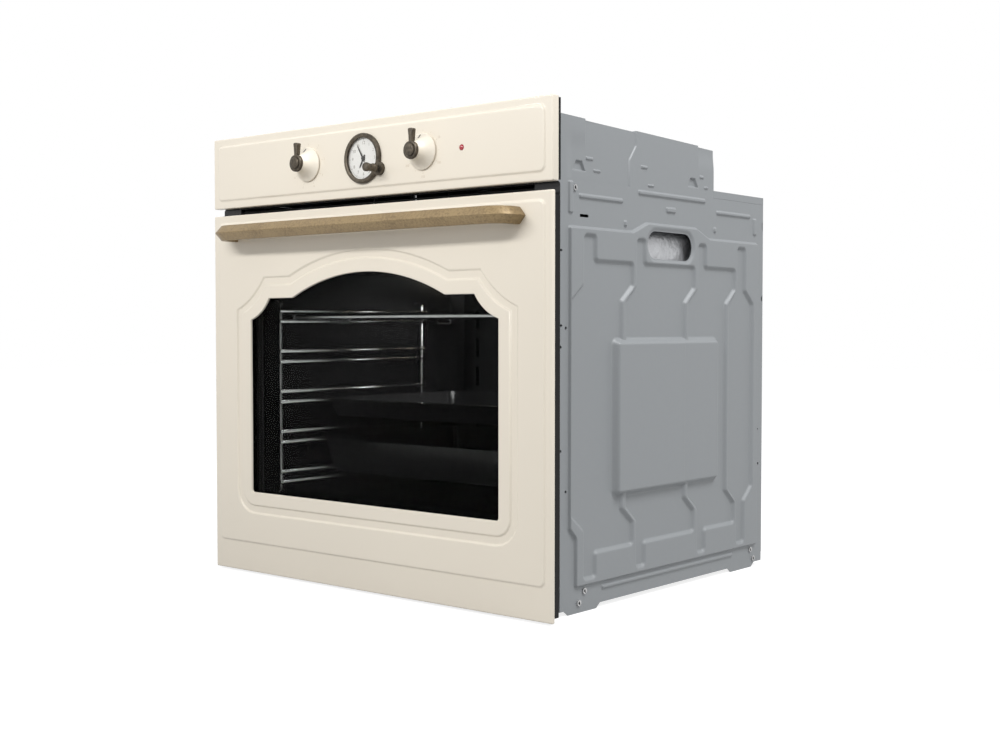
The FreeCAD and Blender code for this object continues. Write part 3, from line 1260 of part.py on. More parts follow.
def wire_shelf():
    """Shelf of wires on two bars inside a rounded rod frame."""
    z = runner_z(SHELF_LEVEL) + SHELF_ROD
    corners = rect(-SHELF_HALF, SHELF_HALF, SHELF_FRONT + SHELF_ROD, SHELF_REAR - SHELF_ROD, SHELF_CORNER)
    path = outline(corners, plan, z)
    start = path.Edges[0].Vertexes[0].Point
    heading = path.Edges[0].tangentAt(path.Edges[0].FirstParameter)
    ring = Part.Wire(Part.Circle(start, heading, SHELF_ROD).toShape())
    pieces = []
    span = SHELF_REAR - SHELF_FRONT
    for i in range(SHELF_BARS):
        depth = SHELF_FRONT + span * (i + 1) / (SHELF_BARS + 1)
        start_end = [plan(x, depth, z - SHELF_WIRE) for x in (-SHELF_HALF, SHELF_HALF)]
        pieces.append(rod(start_end[0], start_end[1], SHELF_WIRE))
    for i in range(SHELF_WIRES):
        x = (i - (SHELF_WIRES - 1) / 2) * 2 * SHELF_HALF / (SHELF_WIRES + 1)
        pieces.append(bar_y(x, z, SHELF_WIRE, (SHELF_FRONT + SHELF_ROD, SHELF_REAR - SHELF_ROD)))
    return path.makePipeShell([ring], True, False).fuse(pieces).removeSplitter()


def tray(level, front_edge, depth):
    """Pressed tray with a flat rim that runs in a rack level."""
    rim_low = runner_z(level)
    rim = rect(-TRAY_RIM_HALF, TRAY_RIM_HALF, front_edge, TRAY_REAR, TRAY_CORNER)
    well = inset(rim, TRAY_RIM)
    shell = prism(rim, plan, rim_low, rim_low + TRAY_SHEET)
    shell = shell.fuse(tapered(well, plan, rim_low, rim_low - depth, TRAY_SLOPE))
    hollow = tapered(inset(well, TRAY_SHEET), plan, rim_low, rim_low - depth + TRAY_SHEET, TRAY_SLOPE)
    mouth = prism(inset(well, TRAY_SHEET), plan, rim_low, rim_low + 2 * TRAY_SHEET)
    return shell.cut(hollow.fuse(mouth)).removeSplitter()


# Casing
def recess_outline(neck_front, neck_rear, waist_front, waist_rear, shoulder_rear=None):
    """Bottle-shaped recess, with a tab cut into its rear shoulder where one is given."""
    if shoulder_rear is None:
        quarter = [(neck_rear, NECK_HALF), (neck_rear, SHOULDER_HALF), (waist_rear, WAIST_HALF)]
    else:
        quarter = [
            (neck_rear, NECK_HALF), (neck_rear, TAB_HALF), (shoulder_rear, TAB_HALF),
            (shoulder_rear, SHOULDER_HALF), (waist_rear, WAIST_HALF),
        ]
    front_side = [(waist_front, WAIST_HALF), (neck_front, SHOULDER_HALF), (neck_front, NECK_HALF)]
    lower = [(u, -v) for u, v in reversed(quarter)]
    front_low = [(u, -v) for u, v in reversed(front_side)]
    points = quarter + lower + front_low + front_side
    return [(u, PRESS_MID + v, PRESS_CORNER) for u, v in points]


def side_field():
    """Outline of the large raised field, with its crest over the slot and its low front foot."""
    points = [
        (FIELD_FOOT_FRONT, SIDE_FIELD_BOTTOM), (SIDE_FIELD_REAR, SIDE_FIELD_BOTTOM),
        (SIDE_FIELD_REAR, SIDE_FIELD_TOP), (CREST_REAR + CREST_RUN, SIDE_FIELD_TOP),
        (CREST_REAR, SIDE_FIELD_CREST), (CREST_FRONT, SIDE_FIELD_CREST),
        (CREST_FRONT - CREST_RUN, SIDE_FIELD_TOP), (SIDE_FIELD_FRONT, SIDE_FIELD_TOP),
        (SIDE_FIELD_FRONT, FIELD_FOOT_TOP + FIELD_FOOT_FRONT - SIDE_FIELD_FRONT),
        (FIELD_FOOT_FRONT, FIELD_FOOT_TOP),
    ]
    return [(u, v, PRESS_CORNER) for u, v in points]


def pressed_side(level):
    """Right-hand side as a block whose outer face carries every pressing, set in by a level."""
    low_x = CASE_HALF - PAD_RISE - level
    base_x = CASE_HALF - level
    edge = [
        (SIDE_NOTCH_DEPTH, CASE_BOTTOM, 0), (CASE_REAR, CASE_BOTTOM, 0), (CASE_REAR, CASE_TOP, 0),
        (CASE_FRONT, CASE_TOP, 0), (CASE_FRONT, SIDE_NOTCH_TOP, 0), (SIDE_NOTCH_DEPTH, SIDE_NOTCH_TOP, 0),
    ]
    block = prism(edge, side, low_x, base_x)
    field = tapered(side_field(), side, base_x, base_x + FIELD_RISE, PRESS_SLOPE)
    recesses = [recess_outline(*sizes) for sizes in TABBED_RECESSES] + [recess_outline(*BOTTLE_RECESS)]
    for recess in recesses:
        grown = inset(recess, -PRESS_SLOPE / 2)
        field = field.cut(tapered(grown, side, base_x + FIELD_RISE, base_x, PRESS_SLOPE))
    pad_corners = rect(PAD_FRONT, PAD_REAR, PAD_BOTTOM, PAD_TOP, 2 * PRESS_CORNER)
    pad = tapered(pad_corners, side, base_x, base_x + PAD_RISE, PAD_SLOPE)
    step = box((base_x + PAD_RISE - PAD_STEP, FAR), (PAD_STEP_FRONT, PAD_REAR), (PAD_BOTTOM, PAD_TOP))
    pad = pad.cut(step)
    beads = []
    for start, end, z in (
        (TOP_BEAD_FRONT, TOP_BEAD_REAR, TOP_BEAD_Z),
        (REAR_BEAD_FRONT, REAR_BEAD_REAR, TOP_BEAD_Z),
        (LOW_BEAD_FRONT, LOW_BEAD_REAR, LOW_BEAD_Z),
    ):
        corners = rect(start, end, z - BEAD_WIDTH / 2, z + BEAD_WIDTH / 2)
        beads.append(tapered(corners, side, base_x, base_x + BEAD_RISE, BEAD_WIDTH / 3))
    return block.fuse([field, pad] + beads).removeSplitter()


def side_panel():
    """Right-hand pressed side panel with its handhold slot."""
    sheet = pressed_side(0).cut(pressed_side(CASE_SHEET))
    sheet = sheet.common(box((CASE_HALF - CASE_SHEET, FAR), (0, CASE_REAR), (CASE_BOTTOM, CASE_TOP)))
    slot_corner = (SLOT_HEIGHT - SLOT_END_FLAT) / 2
    slot = prism(rect(SLOT_FRONT, SLOT_REAR, SLOT_BOTTOM, SLOT_TOP, slot_corner), side, 0, FAR)
    bores = side_bores(SIDE_SCREWS, SCREW_SHANK_RADIUS) + side_bores(SIDE_HOLES, SIDE_HOLE_RADIUS)
    return sheet.cut([slot] + bores)


def side_bores(places, radius):
    """Round holes through the right-hand side at pairs of depth and height."""
    inner = CASE_HALF - PAD_RISE
    return [rod(side(depth, z, inner), side(depth, z, FAR), radius) for depth, z in places]


def casing_screws():
    """Pan-head screws along the edges of both side panels."""
    screws = []
    face = CASE_HALF
    for depth, z in SIDE_SCREWS + BASE_SCREWS:
        head = rod(side(depth, z, face), side(depth, z, face + SCREW_HEAD), SCREW_HEAD_RADIUS)
        shank = rod(side(depth, z, face - SCREW_SHANK), side(depth, z, face), SCREW_SHANK_RADIUS)
        screws.append(head.fuse(shank))
    return Part.makeCompound(screws + [mirrored(screw) for screw in screws])


def base_pan():
    """Pan with feet pressed into its side walls and two runners under its floor."""
    wall = [
        (BASE_FRONT, BASE_FLOOR, 0), (FOOT_FRONT - FOOT_SLOPE, BASE_FLOOR, 0), (FOOT_FRONT, 0, 0),
        (FOOT_FRONT + FOOT_LENGTH, 0, 0), (FOOT_FRONT + FOOT_LENGTH + FOOT_SLOPE, BASE_FLOOR, 0),
        (FOOT_REAR - FOOT_LENGTH - FOOT_SLOPE, BASE_FLOOR, 0), (FOOT_REAR - FOOT_LENGTH, 0, 0),
        (FOOT_REAR, 0, 0), (FOOT_REAR + FOOT_SLOPE, BASE_FLOOR, 0), (CASE_REAR, BASE_FLOOR, 0),
        (CASE_REAR, CASE_BOTTOM, 0), (BASE_FRONT, CASE_BOTTOM, 0),
    ]
    sheet = CASE_SHEET
    pan = prism(wall, side, CASE_HALF - sheet, CASE_HALF).cut(side_bores(BASE_SCREWS, SCREW_SHANK_RADIUS))
    pan = pan.fuse(mirrored(pan))
    floor = box((-CASE_HALF, CASE_HALF), (BASE_FRONT, CASE_REAR), (BASE_FLOOR, BASE_FLOOR + sheet))
    rear = box((-CASE_HALF, CASE_HALF), (CASE_REAR - sheet, CASE_REAR), (BASE_FLOOR, CASE_BOTTOM))
    runners = []
    for x in (-RUNNER_X, RUNNER_X):
        channel = [
            (x - RUNNER_WIDTH / 2 - FOOT_SLOPE, BASE_FLOOR, 0), (x - RUNNER_WIDTH / 2, 0, 0),
            (x + RUNNER_WIDTH / 2, 0, 0), (x + RUNNER_WIDTH / 2 + FOOT_SLOPE, BASE_FLOOR, 0),
        ]
        runners.append(prism(channel, front, FOOT_FRONT, FOOT_REAR))
    return pan.fuse([floor, rear] + runners).removeSplitter()


def housing_top(depth):
    """Height of the upper housing's roof at a depth, without its steps."""
    share = (depth - HOUSING_FRONT) / (HOUSING_REAR - HOUSING_FRONT)
    return HOUSING_FRONT_Z + share * (HOUSING_REAR_Z - HOUSING_FRONT_Z)


def housing_block(level):
    """Upper housing as a block with a stepped roof and pressed gussets, set in by a level."""
    half = CASE_HALF - level
    front_depth = HOUSING_FRONT - level * 2
    rear_depth = HOUSING_REAR - level
    roof = [(front_depth, housing_top(HOUSING_FRONT) - level, 0)]
    lowered = 0.0
    for crease in HOUSING_CREASES:
        z = housing_top(crease) - level
        roof.append((crease, z - lowered, 0))
        lowered = HOUSING_STEP - lowered
        roof.append((crease + HOUSING_STEP, z - lowered, 0))
    roof.append((rear_depth, housing_top(HOUSING_REAR) - lowered - level, 0))
    low = CASE_TOP - level * 2
    profile = [(front_depth, low, 0)] + roof + [(rear_depth, low, 0)]
    block = prism(profile, side, -half, half)
    dents = []
    for depth in GUSSET_DEPTHS:
        foot = CASE_TOP + GUSSET_FOOT
        tip = (depth, foot + GUSSET_HEIGHT, 0)
        dent = [(depth - GUSSET_HALF, foot, 0), (depth + GUSSET_HALF, foot, 0), tip]
        dents.append(tapered(dent, side, half, half - GUSSET_DEPTH, GUSSET_DEPTH))
    for start, end in zip(HOUSING_CREASES[0::2], HOUSING_CREASES[1::2] + (CASE_REAR,)):
        dents.append(box((half - HOUSING_STEP, half), (start, end), (HOUSING_STEP_Z + level, FAR)))
    return block.cut(dents + [mirrored(dent) for dent in dents])


def upper_housing():
    """Sheet hood over the controls and the blower, open below and in front."""
    return housing_block(0).cut(housing_block(CASE_SHEET))


def top_cover():
    """Low roof behind the hood, folded down to the side panels."""
    half = CASE_HALF
    sheet = CASE_SHEET
    outer = box((-half, half), (HOUSING_REAR, CASE_REAR), (CASE_TOP, TOP_COVER_Z))
    along = (HOUSING_REAR - sheet, CASE_REAR + sheet)
    return outer.cut(box((sheet - half, half - sheet), along, (CASE_TOP - sheet, TOP_COVER_Z - sheet)))


def cooling_deck():
    """Shelf above the insulation that carries the blower and closes the air duct."""
    half = CASE_HALF - CASE_SHEET
    sheet = CASE_SHEET
    top = DECK_Z + DECK_EDGE
    floor = DECK_Z + sheet
    section = [
        (-half, DECK_Z, 0), (half, DECK_Z, 0), (half, top, 0), (half - sheet, top, 0),
        (half - sheet, floor, 0), (sheet - half, floor, 0), (sheet - half, top, 0), (-half, top, 0),
    ]
    return prism(section, front, CASE_FRONT, CASE_REAR).cut(probe_hole())


def rear_panel():
    """Rear wall with a hollow bulge over the fan motor and rows of air slots."""
    half = CASE_HALF
    sheet = CASE_SHEET
    rear = CASE_REAR + sheet
    bulge = rect(-BULGE_HALF, BULGE_HALF, FAN_Z - BULGE_HEIGHT / 2, FAN_Z + BULGE_HEIGHT / 2, BULGE_CORNER)
    wall = box((-half, half), (CASE_REAR, rear), (CASE_BOTTOM, TOP_COVER_Z))
    wall = wall.fuse(tapered(bulge, front, rear, rear + REAR_BULGE, BULGE_SLOPE))
    wall = wall.cut(tapered(bulge, front, CASE_REAR, CASE_REAR + REAR_BULGE, BULGE_SLOPE))
    slots = []
    through = (CASE_REAR - sheet, rear + sheet)
    for i in range(REAR_VENTS):
        z = FAN_Z + BULGE_HEIGHT / 2 + (i + 1) * REAR_VENT_PITCH
        for column in (-1, 0, 1):
            low = column * REAR_VENT_STEP - REAR_VENT_LENGTH / 2
            slots.append(box((low, low + REAR_VENT_LENGTH), through, (z, z + REAR_VENT_WIDTH)))
    return wall.cut(slots).removeSplitter()


def terminal_box():
    """Cover over the mains terminals, with a cable boss that points down."""
    start = CASE_REAR + CASE_SHEET
    rear = start + TERMINAL_DEPTH
    low_x = TERMINAL_X - TERMINAL_WIDTH / 2
    high_x = TERMINAL_X + TERMINAL_WIDTH / 2
    low_z = TERMINAL_Z - TERMINAL_HEIGHT / 2
    high_z = TERMINAL_Z + TERMINAL_HEIGHT / 2
    wall = TERMINAL_WALL
    cover = prism(rect(low_x, high_x, low_z, high_z, TERMINAL_CORNER), front, start, rear)
    hollow = box((low_x + wall, high_x - wall), (start - wall, rear - wall), (low_z + wall, high_z - wall))
    depth = start + TERMINAL_DEPTH / 2
    boss_low = plan(TERMINAL_X, depth, low_z - CABLE_BOSS + wall)
    boss = rod(boss_low, plan(TERMINAL_X, depth, low_z + wall), CABLE_RADIUS + CABLE_BOSS_WALL)
    bore_low = plan(TERMINAL_X, depth, low_z - CABLE_BOSS)
    bore = rod(bore_low, plan(TERMINAL_X, depth, low_z + 2 * wall), CABLE_RADIUS)
    return cover.cut(hollow).fuse(boss).cut(bore).removeSplitter()


# Cooling blower
def scroll_outline(extra):
    """Spiral wall of the blower in plan, closed by its straight outlet towards the front."""
    points = []
    for i in range(SCROLL_STEPS + 1):
        angle = math.pi * 1.5 * i / SCROLL_STEPS
        radius = SCROLL_TIGHT + (SCROLL_WIDE - SCROLL_TIGHT) * i / SCROLL_STEPS + extra
        depth = BLOWER_DEPTH + radius * math.sin(angle)
        points.append(plan(radius * math.cos(angle), depth, DECK_Z + CASE_SHEET))
    return points


def scroll_face(extra):
    """Face inside the spiral and its outlet."""
    points = scroll_outline(extra)
    curve = Part.BSplineCurve()
    curve.interpolate(points)
    end = points[-1]
    start = points[0]
    mouth = at(BLOWER_DEPTH - SCROLL_WIDE - SCROLL_OUTLET)
    near = V(end.x - SCROLL_WALL - extra, mouth, end.z)
    far = V(start.x, mouth, end.z)
    inner = V(end.x - SCROLL_WALL - extra, end.y, end.z)
    lines = [Part.LineSegment(end, inner), Part.LineSegment(inner, near), Part.LineSegment(near, far),
             Part.LineSegment(far, start)]
    return Part.Face(Part.Wire([curve.toShape()] + [line.toShape() for line in lines]))


def blower_housing():
    """Spiral housing on the deck: a wall, and a roof that the motor hangs through."""
    floor = DECK_Z + CASE_SHEET
    height = BLOWER_FLOOR_GAP + BLOWER_HEIGHT + SCROLL_TOP_GAP
    outer = scroll_face(SCROLL_WALL).extrude(V(0, 0, height + SCROLL_WALL))
    shell = outer.cut(scroll_face(0).extrude(V(0, 0, height)))
    holes = [rod(plan(0, BLOWER_DEPTH, floor), plan(0, BLOWER_DEPTH, FAR), BLOWER_SHAFT_RADIUS + SHAFT_GAP)]
    for i in range(INLET_HOLES):
        angle = 2 * math.pi * i / INLET_HOLES
        x = INLET_CIRCLE * math.cos(angle)
        depth = BLOWER_DEPTH + INLET_CIRCLE * math.sin(angle)
        holes.append(rod(plan(x, depth, floor), plan(x, depth, FAR), INLET_RADIUS))
    return shell.cut(holes)


def blower_rotor():
    """Cage of blades under a disc, with its shaft up into the motor."""
    low = DECK_Z + CASE_SHEET + BLOWER_FLOOR_GAP
    top = low + BLOWER_HEIGHT
    disc = rod(plan(0, BLOWER_DEPTH, top - BLOWER_DISC), plan(0, BLOWER_DEPTH, top), BLOWER_RADIUS)
    ring = rod(plan(0, BLOWER_DEPTH, low), plan(0, BLOWER_DEPTH, low + BLOWER_DISC), BLOWER_RADIUS)
    root = BLOWER_RADIUS - BLOWER_BLADE_CHORD
    eye = rod(plan(0, BLOWER_DEPTH, low - BLOWER_DISC), plan(0, BLOWER_DEPTH, top), root)
    parts = [ring.cut(eye)]
    chord = BLOWER_BLADE_CHORD - 2 * BLOWER_BLADE_INSET
    height = BLOWER_HEIGHT - 2 * BLOWER_BLADE_INSET
    for i in range(BLOWER_BLADES):
        corner = plan(root, BLOWER_DEPTH, low + BLOWER_BLADE_INSET)
        blade = Part.makeBox(chord, BLOWER_BLADE_SHEET, height, corner)
        blade.rotate(V(0, at(BLOWER_DEPTH), 0), V(0, 0, 1), 360.0 * i / BLOWER_BLADES)
        parts.append(blade)
    shaft_top = top + SCROLL_TOP_GAP + SCROLL_WALL + BLOWER_MOTOR_HEIGHT / 2
    shaft_low = plan(0, BLOWER_DEPTH, top - BLOWER_DISC)
    parts.append(rod(shaft_low, plan(0, BLOWER_DEPTH, shaft_top), BLOWER_SHAFT_RADIUS))
    return disc.fuse(parts).removeSplitter()


def blower_motor():
    """Motor on the housing's roof, bored for the rotor's shaft."""
    low = DECK_Z + CASE_SHEET + BLOWER_FLOOR_GAP + BLOWER_HEIGHT + SCROLL_TOP_GAP + SCROLL_WALL
    high = low + BLOWER_MOTOR_HEIGHT
    radius = BLOWER_MOTOR_RADIUS
    flange = radius + BLOWER_FLANGE
    step = low + BLOWER_FLANGE_THICKNESS
    bevel = BLOWER_MOTOR_BEVEL
    body = spun([
        (0, low), (flange, low), (flange, step), (radius, step), (radius, high - bevel),
        (radius - bevel, high), (0, high),
    ], 0, BLOWER_DEPTH)
    bore_top = plan(0, BLOWER_DEPTH, low + BLOWER_MOTOR_HEIGHT / 2 + SHAFT_GAP)
    bore = rod(plan(0, BLOWER_DEPTH, low - SHAFT_GAP), bore_top, BLOWER_SHAFT_RADIUS + SHAFT_GAP)
    return body.cut(bore)


# Controls
def control_panel():
    """Enamelled control panel with folded edges, raised field and holes for the controls."""
    half = FRONT_HALF - PANEL_FIELD_MARGIN
    margin = PANEL_FIELD_MARGIN
    field = rect(-half, half, PANEL_BOTTOM + margin, PANEL_TOP - margin, FIELD_RADIUS)
    sheet = ENAMEL_SHEET
    outer = pressed_front(PANEL_BOTTOM, PANEL_TOP, field, PANEL_RETURN, 0, 0)
    inner = pressed_front(PANEL_BOTTOM, PANEL_TOP, field, PANEL_RETURN + sheet, sheet, sheet)
    through = (-PRESSING, PANEL_RETURN)
    holes = [bar_y(x, CONTROL_Z, SPINDLE_RADIUS + RUN_GAP, through) for x in (-KNOB_X, KNOB_X)]
    holes.append(bar_y(0, CONTROL_Z, DIAL_RADIUS + DIAL_HOLE_GAP, through))
    holes.append(bar_y(INDICATOR_X, CONTROL_Z, INDICATOR_RADIUS + LENS_GAP, through))
    holes.append(bar_y(WINDER_X, WINDER_Z, WINDER_STEM_RADIUS + RUN_GAP, through))
    return outer.cut(inner).cut(holes)


def panel_bracket():
    """Black carrier behind the control panel, flanged back into the upper housing."""
    half = FRONT_HALF - BRACKET_MARGIN
    low = PANEL_BOTTOM + BRACKET_MARGIN
    high = PANEL_TOP - BRACKET_MARGIN
    sheet = BRACKET_SHEET
    bracket = box((-half, half), (PANEL_RETURN, BRACKET_REAR), (low, high))
    for x in (-half, half - sheet):
        bracket = bracket.fuse(box((x, x + sheet), (PANEL_RETURN, CASE_FRONT), (low, high)))
    flange_z = BRACKET_FLANGE_Z
    ear = CASE_HALF - CASE_SHEET
    reach = (PANEL_RETURN, PANEL_RETURN + BRACKET_FLANGE)
    bracket = bracket.fuse(box((-ear, ear), reach, (flange_z, flange_z + sheet)))
    for x in (-ear, ear - sheet):
        bracket = bracket.fuse(box((x, x + sheet), reach, (CASE_TOP + BRACKET_EAR_LIFT, flange_z)))
    holes = [bar_y(x, CONTROL_Z, SPINDLE_RADIUS + RUN_GAP, (0, CASE_FRONT)) for x in (-KNOB_X, KNOB_X)]
    holes.append(bar_y(0, CONTROL_Z, CLOCK_DRUM_RADIUS + SEAT_GAP, (0, CASE_FRONT)))
    holes.append(bar_y(INDICATOR_X, CONTROL_Z, INDICATOR_RADIUS + LENS_GAP, (0, CASE_FRONT)))
    holes.append(bar_y(WINDER_X, WINDER_Z, WINDER_STEM_RADIUS + RUN_GAP, (0, CASE_FRONT)))
    return bracket.cut(holes).removeSplitter()


def air_outlet_trim():
    """Black louvred strip in the slot between the door and the control panel."""
    sheet = OUTLET_SHEET
    half = OUTLET_HALF + sheet
    low = OUTLET_BOTTOM - sheet
    high = OUTLET_TOP + sheet
    start = CASE_FRONT
    reach = (start, start + OUTLET_LENGTH)
    frame = box((-half, half), reach, (low, high))
    trim = frame.cut(box((-OUTLET_HALF, OUTLET_HALF), (0, FAR), (OUTLET_BOTTOM, OUTLET_TOP)))
    gap = (OUTLET_TOP - OUTLET_BOTTOM) / (OUTLET_LOUVRES + 1)
    pieces = [box((-sheet / 2, sheet / 2), reach, (low, high))]
    for i in range(OUTLET_LOUVRES):
        z = OUTLET_BOTTOM + gap * (i + 1)
        louvre = [(reach[0], z - OUTLET_RISE / 2, 0), (reach[1], z + OUTLET_RISE / 2 - sheet, 0),
                  (reach[1], z + OUTLET_RISE / 2, 0), (reach[0], z - OUTLET_RISE / 2 + sheet, 0)]
        pieces.append(prism(louvre, side, -half, half))
    return trim.fuse(pieces).removeSplitter()


def knob_skirt(x):
    """Cream cone of a knob, hollow behind and bored for the spindle."""
    rear = -KNOB_PANEL_GAP
    tip = rear - KNOB_REACH
    bore = SPINDLE_RADIUS
    boss = bore + KNOB_RIM
    base = KNOB_BASE_RADIUS
    hollow = rear - 2 * KNOB_RIM
    return turned([
        (bore, tip), (KNOB_NECK_RADIUS, tip), (KNOB_NECK_RADIUS + KNOB_NECK_FLARE, tip + KNOB_NECK_LENGTH),
        (KNOB_WAIST_RADIUS, tip + KNOB_WAIST_REACH), (base - KNOB_RIM_STEP, hollow), (base, rear - KNOB_RIM),
        (base, rear), (base - KNOB_RIM, rear), (base - 2 * KNOB_RIM, hollow), (boss, hollow), (boss, rear),
        (bore, rear),
    ], x, CONTROL_Z)


def knob_lever(x):
    """Bronze cap with its flared lever and the spindle that drives the switch."""
    seat = -KNOB_PANEL_GAP - KNOB_REACH
    face = seat - CAP_HEIGHT
    tip = face - BUTTON_HEIGHT
    edge = CAP_EDGE
    cap = turned([
        (0, tip), (BUTTON_RADIUS - edge, tip), (BUTTON_RADIUS, face - edge), (BUTTON_RADIUS, face),
        (CAP_RADIUS - edge, face), (CAP_RADIUS, face + edge), (CAP_RADIUS, seat - edge),
        (CAP_RADIUS - edge, seat), (0, seat),
    ], x, CONTROL_Z)
    low = CONTROL_Z + BUTTON_RADIUS
    high = CONTROL_Z + LEVER_REACH
    blade = [
        (x - LEVER_NARROW / 2, low, 0), (x + LEVER_NARROW / 2, low, 0),
        (x + LEVER_WIDE / 2, high, LEVER_CORNER), (x - LEVER_WIDE / 2, high, LEVER_CORNER),
    ]
    lever = prism(blade, front, face + LEVER_SETBACK, face + LEVER_SETBACK + LEVER_DEPTH)
    flare = (KNOB_NECK_RADIUS + KNOB_NECK_FLARE, seat + KNOB_NECK_LENGTH)
    rim = seat + KNOB_REACH
    cone = [(0, seat), (KNOB_NECK_RADIUS, seat), flare, (KNOB_BASE_RADIUS, rim), (0, rim)]
    lever = lever.cut(turned(cone, x, CONTROL_Z))
    spindle = bar_y(x, CONTROL_Z, SPINDLE_RADIUS, (seat - edge, SPINDLE_DEPTH))
    return cap.fuse([lever, spindle]).removeSplitter()


def function_switch():
    """Rotary switch on the bracket, bored for the spindle."""
    start = BRACKET_REAR
    rear = start + SWITCH_LENGTH
    radius = SWITCH_RADIUS
    drum = radius - SWITCH_STEP
    collar = start + SWITCH_COLLAR
    body = turned([
        (0, start), (radius, start), (radius, collar), (drum, collar + SWITCH_STEP / 2),
        (drum, rear - SWITCH_NOSE), (drum - SWITCH_NOSE, rear), (0, rear),
    ], -KNOB_X, CONTROL_Z)
    bore = bar_y(-KNOB_X, CONTROL_Z, SPINDLE_RADIUS + RUN_GAP, (0, SPINDLE_DEPTH + RUN_GAP))
    return body.cut(bore)


def thermostat():
    """Thermostat body on the bracket, with a drum for its switch."""
    start = BRACKET_REAR
    half = THERMOSTAT_HALF
    square = rect(KNOB_X - half, KNOB_X + half, CONTROL_Z - half, CONTROL_Z + half, THERMOSTAT_CORNER)
    plate = prism(square, front, start, start + THERMOSTAT_PLATE)
    drum = bar_y(KNOB_X, CONTROL_Z, THERMOSTAT_DRUM_RADIUS, (start, start + THERMOSTAT_LENGTH))
    bore = bar_y(KNOB_X, CONTROL_Z, SPINDLE_RADIUS + RUN_GAP, (0, SPINDLE_DEPTH + RUN_GAP))
    return plate.fuse(drum).cut(bore).removeSplitter()


def thermostat_probe():
    """Sensing bulb under the ceiling, on a thin tube from the thermostat."""
    z = CAVITY_TOP - PROBE_CEILING_GAP - PROBE_BULB_RADIUS
    top = plan(KNOB_X, PROBE_DEPTH, CONTROL_Z - THERMOSTAT_DRUM_RADIUS)
    bend = plan(KNOB_X, PROBE_DEPTH, z)
    bulb_start = PROBE_DEPTH + 2 * PROBE_BEND
    tube = bent_tube([top, bend, plan(KNOB_X, bulb_start + PROBE_BEND, z)], PROBE_BEND, PROBE_TUBE_RADIUS)
    bulb = bar_y(KNOB_X, z, PROBE_BULB_RADIUS, (bulb_start, bulb_start + PROBE_BULB_LENGTH))
    return tube.fuse(bulb)


def indicator_lens():
    """Red lens with a shallow dome, through the panel and the bracket."""
    radius = INDICATOR_RADIUS
    crown = (radius - INDICATOR_CROWN_INSET, INDICATOR_CROWN_DROP - INDICATOR_DOME)
    profile = [(0, -INDICATOR_DOME), crown, (radius, 0), (radius, INDICATOR_LENGTH), (0, INDICATOR_LENGTH)]
    return turned(profile, INDICATOR_X, CONTROL_Z)


def clock_bezel():
    """Ring round the dial that grips the lens, with a boss for the winder."""
    lip = -BEZEL_DEPTH
    seat = lip + BEZEL_LIP
    groove = seat + LENS_THICKNESS + 2 * LENS_GAP
    bore = DIAL_RADIUS + DIAL_HOLE_GAP
    well = LENS_RADIUS + LENS_GAP
    ring = turned([
        (BEZEL_LIP_RADIUS, lip + BEZEL_INNER_BEVEL), (BEZEL_LIP_RADIUS + BEZEL_EDGE, lip),
        (BEZEL_RADIUS - BEZEL_EDGE, lip), (BEZEL_RADIUS, lip + BEZEL_EDGE), (BEZEL_RADIUS, 0), (bore, 0),
        (bore, groove), (well, groove), (well, seat), (BEZEL_LIP_RADIUS, seat),
    ], 0, CONTROL_Z)
    boss = bar_y(WINDER_X, WINDER_Z, WINDER_BOSS_RADIUS, (lip, 0))
    through = (lip - BEZEL_LIP, BEZEL_LIP)
    keep_out = bar_y(0, CONTROL_Z, well, through)
    hole = bar_y(WINDER_X, WINDER_Z, WINDER_STEM_RADIUS + RUN_GAP, through)
    return ring.fuse(boss.cut(keep_out)).cut(hole).removeSplitter()


def clock_lens():
    """Clear disc in the bezel's groove."""
    start = -BEZEL_DEPTH + BEZEL_LIP + LENS_GAP
    return bar_y(0, CONTROL_Z, LENS_RADIUS, (start, start + LENS_THICKNESS))


def clock_dial():
    """White dial plate with a hole for the hands' arbors."""
    disc = bar_y(0, CONTROL_Z, DIAL_RADIUS, (0, DIAL_THICKNESS))
    return disc.cut(bar_y(0, CONTROL_Z, HOUR_PIPE + RUN_GAP, (-DIAL_THICKNESS, 2 * DIAL_THICKNESS)))


def clock_module():
    """Movement behind the dial, bored for the arbors and the winder."""
    drum = bar_y(0, CONTROL_Z, CLOCK_DRUM_RADIUS, (DIAL_THICKNESS, BRACKET_REAR))
    half = CLOCK_BOX_HALF
    corners = rect(-half, half, CONTROL_Z - CLOCK_BOX_DROP, CONTROL_Z + CLOCK_BOX_RISE, CLOCK_BOX_CORNER)
    case = prism(corners, front, BRACKET_REAR, BRACKET_REAR + CLOCK_BOX_DEPTH)
    arbor = bar_y(0, CONTROL_Z, HOUR_PIPE + RUN_GAP, (0, ARBOR_DEPTH + RUN_GAP))
    stem_end = WINDER_STEM_DEPTH + WINDER_TRAVEL + RUN_GAP
    stem = bar_y(WINDER_X, WINDER_Z, WINDER_STEM_RADIUS + RUN_GAP, (0, stem_end))
    return drum.fuse(case).cut([arbor, stem]).removeSplitter()


def clock_hand(angle, length, wide, tip, depth):
    """Flat tapered hand that points at an angle from the right, turning to the left."""
    shoulder = length - tip
    blade = [
        (-HAND_TAIL, -wide / 3, 0), (0, -wide / 2, 0), (shoulder, -wide / 3, 0), (length, 0, 0),
        (shoulder, wide / 3, 0), (0, wide / 2, 0), (-HAND_TAIL, wide / 3, 0),
    ]
    shape = prism([(u, CONTROL_Z + v, r) for u, v, r in blade], front, depth - HAND_THICKNESS, depth)
    shape = shape.fuse(bar_y(0, CONTROL_Z, HOUR_PIPE + HAND_BOSS, (depth - HAND_THICKNESS, depth)))
    shape.rotate(V(0, 0, CONTROL_Z), V(0, 1, 0), -angle)
    return shape


